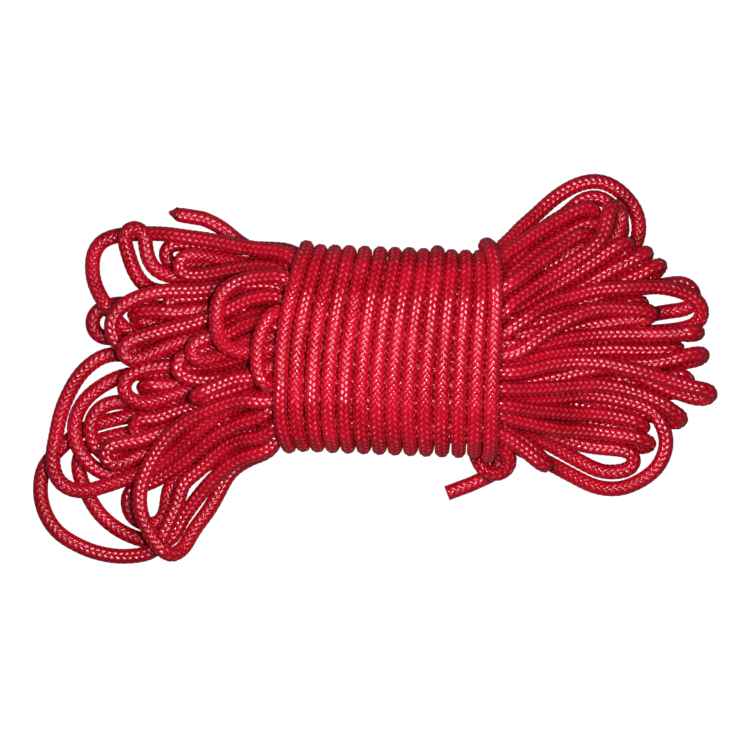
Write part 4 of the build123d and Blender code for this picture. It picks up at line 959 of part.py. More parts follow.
124.12,-33.52,15.87,98700,-13050,-9381 128.92,-34.31,15.39,97074,-20874,-11868
133.57,-35.49,14.5,90703,-25896,-33202 137.18,-36.85,11.8,45603,-34091,-82208
137.26,-38.52,7.56,-42542,-30177,-85320 133.75,-39.18,4.631,-92642,2609,-37559
128.86,-38.49,3.77,-98158,18179,-5873 121.29,-36.98,3.801,-98190,18822,2135
96.05,-32.25,5.04,-97387,20688,9369 76.38,-28.45,8.53,-94871,11810,29327
58.2,-26.7,17.21,-81363,12288,56825 54.03,-26.06,19.75,-93626,10440,33543
46.73,-25.65,20.37,-99919,4012,-383 11.73,-24.28,20.37,-99933,3604,617
-24.08,20.37
right_bight_23
-28.21,41.8 41.73,-29.58,41.8,99914,-4143,-206 51.73,-29.97,41.8,99894,-4606,201
56.65,-30.41,41.78,98026,-19171,-4835 61.1,-31.92,41.04,86962,-40710,-27935
65.12,-34.09,39.36,81512,-46309,-34804 73.05,-39.24,36.25,76499,-58392,-27171
78.6,-43.79,34.49,74441,-62818,-22636 82.23,-46.72,33.06,71842,-50699,-47627
84.98,-48.13,29.66,33518,-1347,-94206 84.93,-46.77,25.29,-35720,55772,-74924
82.15,-43.51,23.44,-68479,72434,-7999 78.74,-40.07,24.03,-70270,67794,21587
73.36,-35.71,26.1,-79143,49970,35205 67.77,-32.4,29.17,-72618,47985,49235
64.44,-29.99,31.63,-68773,52467,50175 60.96,-27.52,33.7,-83667,44536,31880
51.72,-25.84,34.66,-99909,4241,409 16.73,-24.48,34.66,-99930,3719,405
-24.08,34.66
right_ring_24
-15.83,34.66 41.73,-17.2,34.66,99913,-4170,155 51.73,-17.59,34.66,99911,-4205,-402
61.34,-18.68,33.64,91161,-29067,-29066 65.31,-20.65,31.79,73997,-49274,-45788
68.73,-23.26,29.29,69106,-50389,-51820 82.29,-29.74,20.99,82315,-38908,-41357
90.48,-33.51,17.35,87031,-36048,-33559 108.3,-38.95,12.82,97818,-15401,-13944
120.21,-40.2,11.67,99306,-9972,-6233 124.96,-40.89,11.42,96160,-26429,-7400
128.97,-43.16,10.74,60091,-76067,-24556 129.76,-47.45,9.28,-30857,-89543,-32091
126.54,-50.61,8.03,-88745,-41612,-19819 121.86,-51.72,7.33,-98741,-11484,-10882
112.14,-50.82,6.75,-95071,30984,-1217 103.12,-46.5,7.1,-87472,47730,8396
90.28,-39.34,9.66,-83541,48111,26573 84.02,-36.04,12.01,-84724,38741,36344
71.48,-30.86,18.5,-82690,31009,46912 65.56,-27.99,22.06,-71252,53027,45949
62.31,-24.98,24.27,-65104,60122,46334 58.83,-22.6,26.49,-86718,32550,37689
54.22,-21.84,27.47,-99528,7138,6579 49.23,-21.62,27.51,-99920,3997,0
14.23,-20.25,27.51,-99909,4271,76 -19.96,27.51
tail_2
-32.33,34.66 41.73,-33.7,34.66,99911,-4148,755 51.73,-34.09,34.66,99818,-5861,-1428
56.5,-34.83,34.26,91486,-33359,-22750 60.49,-37.24,32.38,72599,-52137,-44846
64.19,-40.04,29.88,65187,-58406,-48367 66.87,-43.55,27.37,30510,-81158,-49825
64.27,-51.32,22.73,-75114,-49616,-43545 55.83,-51.07,18.71,-74404,52640,-41147
52.03,-45.96,15.57,-37069,77941,-50509 51.16,-39.39,9.32,36642,47933,-79748
55.8,-38.88,4.64,82940,-37685,-41242 59.41,-41.85,3.73,61958,-78266,-5971
61.61,-46.21,3.681,21541,-97652,0 61.06,-50.77,3.681,-49324,-86990,0
57.4,-53.95,3.681,-86755,-49735,0 52.79,-56.11,3.681,-91243,-40922,0
48.14,-58.21,3.681,-93662,-35033,0
"""

# Indexes of the two stations where a length is cut so that its outer part can flex
flexing_cuts = {
    "left_bight_01": (13, 17),
    "left_loop_12": (9, 14),
    "left_bight_23": (17, 21),
    "right_ring_20": (12, 17),
}
tail_1_cuts = (10, 12)
tail_2_cuts = (14, 16)

# Bights that share one file: the first part of their names and their numbers
groups = {
    "left_inner_bights": ("left", (3, 6, 13, 14, 25)),
    "left_lower_bights": ("left", (16, 17, 19, 20)),
    "right_inner_bights": ("right", (10, 12, 15, 17)),
    "right_lower_bights": ("right", (16, 21, 22, 23)),
    "right_stacked_bights": ("right", (7, 8, 9)),
}


# ---- reading the tables ----------------------------------------------------------
def read_paths(table, offset=(0, 0), join=None):
    """Lists of (place, unit direction) by name."""
    paths = {}
    for word in table.split():
        if word[0].isalpha():
            path = paths[word] = []
            continue
        numbers = [float(number) for number in word.split(",")]
        if len(numbers) == 2:
            y, z = numbers
            x = join["x"]
            dir_x, dir_y = join["slack" if z in slack_layers else "between"]
            direction = Vector(dir_x, dir_y, 0)
            if path:                     # the length comes back to the waist
                direction = direction * -1
        else:
            x, y, z = numbers[:3]
            x += offset[0]
            direction = Vector(*[number / 100000 for number in numbers[3:]])
        path.append((Vector(x, y + offset[1], z), direction.normalized()))
    return paths


def read_wraps():
    """The frapping turns, each starting where the one before it ends."""
    turns = read_paths(wrap_table)
    last_station = []
    for name in turns:
        turns[name] = last_station + turns[name]
        last_station = turns[name][-1:]
    return turns


# ---- building a length of line ---------------------------------------------------
def bends(path):
    """(start, direction at start, end) of each circular bend along the stations."""
    out = []
    for (start, start_dir), (end, end_dir) in zip(path[:-1], path[1:]):
        span = end - start
        along = span.dot(start_dir + end_dir)
        turning = 2 * (1 - start_dir.dot(end_dir))
        if turning < 1e-9:
            reach = span.dot(span) / (2 * along)
        else:
            reach = (-along + math.sqrt(along * along + turning * span.dot(span))) / turning
        corner_1 = start + start_dir * reach
        corner_2 = end - end_dir * reach
        middle = (corner_1 + corner_2) * 0.5
        out.append((start, start_dir, middle))
        out.append((middle, (corner_2 - corner_1).normalized(), end))
    return out


def disc(centre, normal, side, radius):
    plane = Plane(origin=centre, x_dir=side, z_dir=normal)
    return Face(Wire([Edge.make_circle(radius, plane)]))


def half_ball(centre, outward, side, radius):
    plane = Plane(origin=centre, x_dir=side, z_dir=outward)
    return skin(Solid.make_sphere(radius, plane, 0, 90, 360), GeomType.SPHERE)


def skin(solid, kind):
    return [face for face in solid.faces() if face.geom_type == kind][0]


def square_to(side, direction):
    return (side - direction * side.dot(direction)).normalized()


def line_length(path, radius=cover_radius, gap_start=0.0, gap_end=0.0,
                ball_start=False, ball_end=False, run=0.0):
    """A length of round line: one ring segment for each bend, an optional straight run,
    and a flat or half-ball end."""
    path = list(path)
    if gap_start:
        path[0] = (path[0][0] + path[0][1] * gap_start, path[0][1])
    if gap_end:
        path[-1] = (path[-1][0] - path[-1][1] * gap_end, path[-1][1])

    start, direction = path[0]
    side = direction.cross(Vector(0, 0, 1))
    if side.length < 0.1:
        side = direction.cross(Vector(0, 1, 0))
    side = side.normalized()
    if ball_start:
        skins = [half_ball(start, direction * -1, side, radius)]
    else:
        skins = [disc(start, direction, side, radius)]

    for start, direction, end in bends(path):
        chord = end - start
        chord_dir = chord.normalized()
        sideways = chord_dir - direction * chord_dir.dot(direction)
        inward = sideways.normalized()
        half_angle = math.asin(min(1.0, sideways.length))
        bend_radius = chord.length / (2 * math.sin(half_angle))
        axis_dir = direction.cross(inward).normalized()
        side = square_to(side, direction)
        axis = Axis(start + inward * bend_radius, axis_dir)
        profile = disc(start, direction, side, radius)
        ring = Solid.revolve(profile, math.degrees(2 * half_angle), axis)
        skins.append(skin(ring, GeomType.TORUS))
        # carry the side direction round the bend so that the seams meet
        cosine, sine = math.cos(2 * half_angle), math.sin(2 * half_angle)
        side = (side * cosine + axis_dir.cross(side) * sine
                + axis_dir * (axis_dir.dot(side) * (1 - cosine)))

    direction = path[-1][1]
    side = square_to(side, direction)
    if run:
        plane = Plane(origin=end, x_dir=side, z_dir=direction)
        skins.append(skin(Solid.make_cylinder(radius, run, plane), GeomType.CYLINDER))
        end = end + direction * run
    if ball_end:
        skins.append(half_ball(end, direction, side, radius))
    else:
        skins.append(disc(end, direction, side, radius))
    body = Solid(Shell(skins))
    if body.volume < 0:
        body = Solid(Shell([face * -1 for face in skins]))
    return body


def butted(path):
    """A whole length that leaves half the butt gap at each end."""
    return line_length(path, gap_start=butt_gap / 2, gap_end=butt_gap / 2)


def socket(body, centre):
    """Hollows the end of a flexing length round the half ball it turns on."""
    plane = Plane(origin=centre)
    ball = Solid.make_sphere(cover_radius + joint_clearance, plane, -90, 90, 360)
    return max(body.cut(ball).solids(), key=lambda solid: solid.volume)


def write(name, solids):
    piece = solids[0] if len(solids) == 1 else Compound(children=solids)
    piece.label = name
    export_step(piece, "parts/%s.step" % name)


# ---- pieces ----------------------------------------------------------------------
def write_wraps():
    for index, (name, path) in enumerate(read_wraps().items()):
        gap_start = butt_gap / 2 if index else 0
        write(name, [line_length(path, wrap_radius, gap_start, butt_gap / 2)])


def write_flexing(name, path, cuts):
    """Fixed legs with half-ball ends, and an outer part with a socket at each end."""
    first, last = cuts
    leg_out = line_length(path[:first + 1], gap_start=butt_gap / 2, ball_end=True)
    leg_back = line_length(path[last:], gap_end=butt_gap / 2, ball_start=True)
    outer = line_length(path[first:last + 1])
    outer = socket(outer, path[first][0])
    outer = socket(outer, path[last][0])
    write(name + "_legs", [leg_out, leg_back])
    write(name + "_outer", [outer])


def tail_parts(path, cuts):
    """Root, middle and tip of a tail, with a ball joint between neighbours."""
    first, last = cuts
    root = line_length(path[:first + 1], gap_start=butt_gap / 2, ball_end=True)
    middle = socket(line_length(path[first:last + 1], ball_end=True), path[first][0])
    tip = socket(line_length(path[last:], run=end_length), path[last][0])
    return root, middle, tip


def write_sealed_tail(path):
    root, middle, tip = tail_parts(path, tail_1_cuts)
    place, direction = path[-1]
    end_face = place + direction * end_length
    plane = Plane(origin=end_face + direction * seal_gap, z_dir=direction)
    seal = Solid.make_cone(cover_radius - seal_step, seal_tip_radius, seal_length, plane)
    write("tail_1_sealed_end", [seal])
    write("tail_1_root", [root])
    write("tail_1_mid", [middle])
    write("tail_1_tip", [tip])


def write_cut_tail(path):
    """The tail with the finishing hitch; the core shows at its cut end."""
    root, middle, tip = tail_parts(path, tail_2_cuts)
    place, direction = path[-1]
    end_face = place + direction * end_length
    bore_plane = Plane(origin=end_face - direction * core_length, z_dir=direction)
    bore = Solid.make_cylinder(core_radius + core_clearance, core_length + bore_overrun,
                               bore_plane)
    tip = tip.cut(bore).solids()[0]
    core_start = end_face - direction * (core_length - core_end_gap)
    core = Solid.make_cylinder(core_radius, core_length - 2 * core_end_gap,
                               Plane(origin=core_start, z_dir=direction))
    write("tail_2_core", [core])
    write("finishing_hitch", [root])
    write("tail_2_mid", [middle])
    write("tail_2_tip", [tip])


os.makedirs("parts", exist_ok=True)

write_wraps()

paths = read_paths(left_table, left_offset, left_join)
paths.update(read_paths(right_table, right_offset, right_join))
write_sealed_tail(paths.pop("tail_1"))
write_cut_tail(paths.pop("tail_2"))
for name, cuts in flexing_cuts.items():
    write_flexing(name, paths.pop(name), cuts)
for name, (end_name, numbers) in groups.items():
    members = ["%s_bight_%02d" % (end_name, number) for number in numbers]
    write(name, [butted(paths.pop(member)) for member in members])

# every other length has a file of its own
for name, path in paths.items():
    write(name, [butted(path)])
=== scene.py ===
"""A hank of braided line, flat on the floor (z = 0) in the XY plane.

Seen from above, +X is right and +Y is up. Bights run out to the left (-X) and right (+X)
of a waist of straight legs, which fourteen frapping turns bind from x = -60 to x = +60 mm.
Two tails come free: one end is melted to a nub, the other is cut and shows its core.
Lengths are in millimetres up to the meshes; lights and camera are in metres.
"""
import math

import bmesh
import bpy
import numpy as np
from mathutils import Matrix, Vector


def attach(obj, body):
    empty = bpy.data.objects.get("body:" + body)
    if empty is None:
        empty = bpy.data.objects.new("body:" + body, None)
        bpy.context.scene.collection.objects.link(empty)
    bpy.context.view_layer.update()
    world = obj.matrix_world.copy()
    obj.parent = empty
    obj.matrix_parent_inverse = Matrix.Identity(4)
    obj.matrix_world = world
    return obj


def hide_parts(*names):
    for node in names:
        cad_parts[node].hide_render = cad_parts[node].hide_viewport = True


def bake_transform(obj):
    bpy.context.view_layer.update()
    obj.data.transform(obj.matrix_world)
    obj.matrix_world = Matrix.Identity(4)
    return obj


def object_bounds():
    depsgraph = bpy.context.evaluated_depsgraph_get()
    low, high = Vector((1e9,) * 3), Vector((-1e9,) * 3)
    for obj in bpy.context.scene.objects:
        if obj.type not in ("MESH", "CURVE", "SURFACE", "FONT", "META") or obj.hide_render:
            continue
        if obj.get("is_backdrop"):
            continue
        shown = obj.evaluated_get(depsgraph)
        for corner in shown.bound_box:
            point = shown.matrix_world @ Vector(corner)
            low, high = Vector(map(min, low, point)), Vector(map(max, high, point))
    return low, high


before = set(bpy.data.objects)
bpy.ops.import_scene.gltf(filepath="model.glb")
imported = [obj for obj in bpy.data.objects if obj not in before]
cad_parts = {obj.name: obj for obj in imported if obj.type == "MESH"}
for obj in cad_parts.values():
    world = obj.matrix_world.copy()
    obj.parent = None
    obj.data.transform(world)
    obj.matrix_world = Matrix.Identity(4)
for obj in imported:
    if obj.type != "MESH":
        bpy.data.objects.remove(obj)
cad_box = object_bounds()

MM = 0.001
SLACK_RADIUS = 3.95
WRAP_RADIUS = 3.78             # the frapping turns are pulled a little thinner
CARRIERS = 16                  # yarns in the cover, half wound each way
PITCH = 25.2                   # length of one full turn of a carrier
RELIEF = 0.46                  # depth from crown to crevice
CELL_LINES = (0.0, 0.25, 0.75)  # mesh lines inside one cell of the braid
SAMPLE_STEP = 0.4              # spacing of samples along a centre-line

# ---------------------------------------------------------------------------------
# the lay of the line
# ---------------------------------------------------------------------------------
# The straight legs lie in rows (0 at the top, +Y) and layers (0 at the bottom).
LAYER_Z = (13.22, 20.37, 27.51, 34.66, 41.8, 48.95)
LEG_STEP = 2.5                 # spacing of the leg points in x
LEFT_LEG_X = 6.43              # x of a leg's inner end
RIGHT_LEG_X = 6.73

# One row per line: y of the leg points, from the inner end outwards.
LEFT_ROWS = """
50.19 50.27 50.38 50.48 50.58 50.67 50.77 50.87 50.97 51.06 51.16 51.26 51.35 51.45 51.55
46.05 46.16 46.26 46.35 46.45 46.55 46.65 46.74 46.84 46.94 47.03 47.13 47.23 47.33 47.42 47.52
41.94 42.02 42.12 42.23 42.33 42.42 42.52 42.62 42.72 42.81 42.91 43.01 43.1 43.2 43.3 43.4
37.8 37.91 38.01 38.1 38.2 38.3 38.4 38.49 38.59 38.69 38.78 38.88 38.98 39.08 39.17 39.27 39.37
33.69 33.77 33.88 33.98 34.08 34.17 34.27 34.37 34.47 34.56 34.66 34.76 34.85 34.95 35.05 35.15 35.24
29.55 29.66 29.75 29.86 29.95 30.05 30.14 30.25 30.34 30.43 30.54 30.64 30.73 30.82 30.93 31.02 31.11 31.21
25.43 25.52 25.62 25.73 25.82 25.93 26.02 26.11 26.21 26.32 26.41 26.5 26.61 26.7 26.8 26.89 27 27.09
21.3 21.41 21.5 21.61 21.7 21.8 21.89 22 22.09 22.18 22.29 22.39 22.48 22.57 22.68 22.77 22.86 22.96
17.18 17.27 17.38 17.48 17.57 17.68 17.77 17.86 17.96 18.07 18.16 18.25 18.36 18.45 18.55 18.64 18.75 18.84 18.93
13.05 13.15 13.26 13.36 13.45 13.54 13.64 13.74 13.84 13.94 14.04 14.13 14.22 14.32 14.43 14.53 14.62 14.71 14.81
8.94 9.03 9.12 9.22 9.32 9.43 9.52 9.62 9.71 9.81 9.9 10.01 10.11 10.21 10.29 10.39 10.49 10.6 10.69
4.8 4.91 5 5.11 5.2 5.29 5.39 5.5 5.58 5.68 5.79 5.88 5.97 6.08 6.17 6.28 6.37 6.46 6.57
0.69 0.78 0.88 0.97 1.07 1.18 1.26 1.36 1.47 1.56 1.66 1.75 1.85 1.96 2.04 2.15 2.25 2.35 2.44 2.54
-3.44 -3.35 -3.25 -3.15 -3.06 -2.96 -2.85 -2.75 -2.67 -2.56 -2.46 -2.37 -2.27 -2.17 -2.08 -1.98 -1.89 -1.78 -1.69 -1.58
-7.57 -7.47 -7.38 -7.28 -7.17 -7.08 -6.99 -6.88 -6.79 -6.68 -6.59 -6.5 -6.39 -6.29 -6.21 -6.11 -6 -5.91 -5.82 -5.71
-11.7 -11.6 -11.49 -11.39 -11.3 -11.21 -11.11 -11.01 -10.91 -10.81 -10.71 -10.62 -10.53 -10.43 -10.32 -10.22 -10.13 -10.04 -9.94 -9.84
-15.81 -15.72 -15.62 -15.53 -15.43 -15.32 -15.23 -15.13 -15.04 -14.94 -14.85 -14.74 -14.64 -14.54 -14.46 -14.36 -14.26 -14.15 -14.06 -13.96
-19.95 -19.84 -19.75 -19.64 -19.55 -19.45 -19.36 -19.25 -19.16 -19.07 -18.96 -18.86 -18.77 -18.68 -18.57 -18.48 -18.39 -18.29 -18.18 -18.09
-24.07 -23.98 -23.88 -23.77 -23.68 -23.57 -23.48 -23.39 -23.29 -23.18 -23.09 -23 -22.89 -22.8 -22.7 -22.61 -22.5 -22.41 -22.32 -22.21
-28.2 -28.09 -28 -27.89 -27.8 -27.7 -27.61 -27.5 -27.41 -27.32 -27.21 -27.11 -27.02 -26.93 -26.82 -26.73 -26.64 -26.54 -26.43 -26.34
-32.31 -32.23 -32.12 -32.02 -31.93 -31.82 -31.73 -31.64 -31.54 -31.43 -31.34 -31.25 -31.14 -31.05 -30.95 -30.86 -30.75 -30.66 -30.57 -30.46
"""
RIGHT_ROWS = """
50.17 50.08 49.98 49.88 49.77 49.69 49.59 49.48 49.38 49.3 49.2 49.09 48.99 48.91 48.8 48.7 48.6 48.52 48.41
46.05 45.95 45.85 45.76 45.66 45.55 45.45 45.37 45.27 45.16 45.06 44.98 44.88 44.77 44.67 44.59 44.48 44.38 44.28
41.92 41.83 41.73 41.62 41.52 41.44 41.34 41.23 41.13 41.05 40.95 40.84 40.74 40.66 40.55 40.45 40.35 40.27 40.16
37.8 37.7 37.6 37.51 37.41 37.3 37.2 37.12 37.02 36.91 36.81 36.73 36.62 36.52 36.42 36.34 36.23 36.13 36.03
33.67 33.58 33.48 33.38 33.27 33.19 33.09 32.98 32.88 32.8 32.7 32.59 32.49 32.41 32.3 32.2 32.1 32.02 31.91
29.55 29.45 29.36 29.25 29.16 29.05 28.95 28.86 28.77 28.66 28.57 28.48 28.38 28.27 28.18 28.09 27.98 27.89 27.79
25.43 25.32 25.23 25.12 25.02 24.93 24.84 24.73 24.64 24.55 24.45 24.34 24.25 24.16 24.05 23.95 23.86 23.77 23.66
21.3 21.2 21.11 21 20.91 20.8 20.7 20.61 20.52 20.41 20.32 20.23 20.12 20.02 19.93 19.84 19.73 19.64 19.54
17.18 17.07 16.98 16.88 16.77 16.68 16.59 16.48 16.39 16.3 16.2 16.09 15.99 15.9 15.8 15.71 15.61 15.52 15.41
13.04 12.95 12.86 12.76 12.65 12.55 12.46 12.37 12.27 12.16 12.06 11.97 11.88 11.78 11.68 11.59 11.48 11.38 11.29
8.93 8.82 8.72 8.62 8.53 8.44 8.34 8.23 8.13 8.04 7.95 7.84 7.75 7.66 7.55 7.46 7.36 7.26 7.17
4.79 4.7 4.61 4.5 4.41 4.3 4.21 4.12 4.01 3.92 3.81 3.73 3.62 3.52 3.42 3.33 3.23 3.13 3.04
0.68 0.57 0.47 0.38 0.28 0.18 0.09 -0.01 -0.12 -0.2 -0.3 -0.41 -0.51 -0.59 -0.69 -0.8 -0.9 -0.98 -1.08
-3.46 -3.56 -3.65 -3.75 -3.85 -3.94 -4.04 -4.13 -4.24 -4.33 -4.43 -4.53 -4.62 -4.72 -4.83 -4.92 -5.01 -5.12 -5.21
-7.58 -7.67 -7.78 -7.88 -7.97 -8.06 -8.16 -8.27 -8.37 -8.46 -8.55 -8.65 -8.76 -8.85 -8.95 -9.04 -9.14 -9.23 -9.34
-11.71 -11.8 -11.89 -11.99 -12.1 -12.2 -12.29 -12.38 -12.48 -12.59 -12.69 -12.78 -12.88 -12.97 -13.07 -13.16 -13.27 -13.37 -13.46
-15.82 -15.93 -16.02 -16.12 -16.23 -16.32 -16.41 -16.52 -16.61 -16.7 -16.8 -16.91 -17 -17.09 -17.2 -17.3 -17.39 -17.48 -17.59
-19.95 -20.05 -20.14 -20.25 -20.34 -20.45 -20.55 -20.64 -20.73 -20.84 -20.93 -21.02 -21.12 -21.23 -21.32 -21.41 -21.52 -21.61 -21.71
-24.07 -24.18 -24.27 -24.38 -24.48 -24.57 -24.66 -24.77 -24.86 -24.95 -25.05 -25.16 -25.25 -25.34 -25.45 -25.55 -25.64 -25.73
-28.2 -28.3 -28.39 -28.5 -28.59 -28.7 -28.8 -28.89 -28.98 -29.09 -29.18 -29.27 -29.38 -29.48 -29.57 -29.66 -29.77 -29.86 -29.96
-32.33 -32.42 -32.52 -32.62 -32.73 -32.81 -32.91 -33.02 -33.12 -33.2 -33.3 -33.41 -33.51 -33.59 -33.7 -33.8 -33.9 -33.98 -34.09
"""

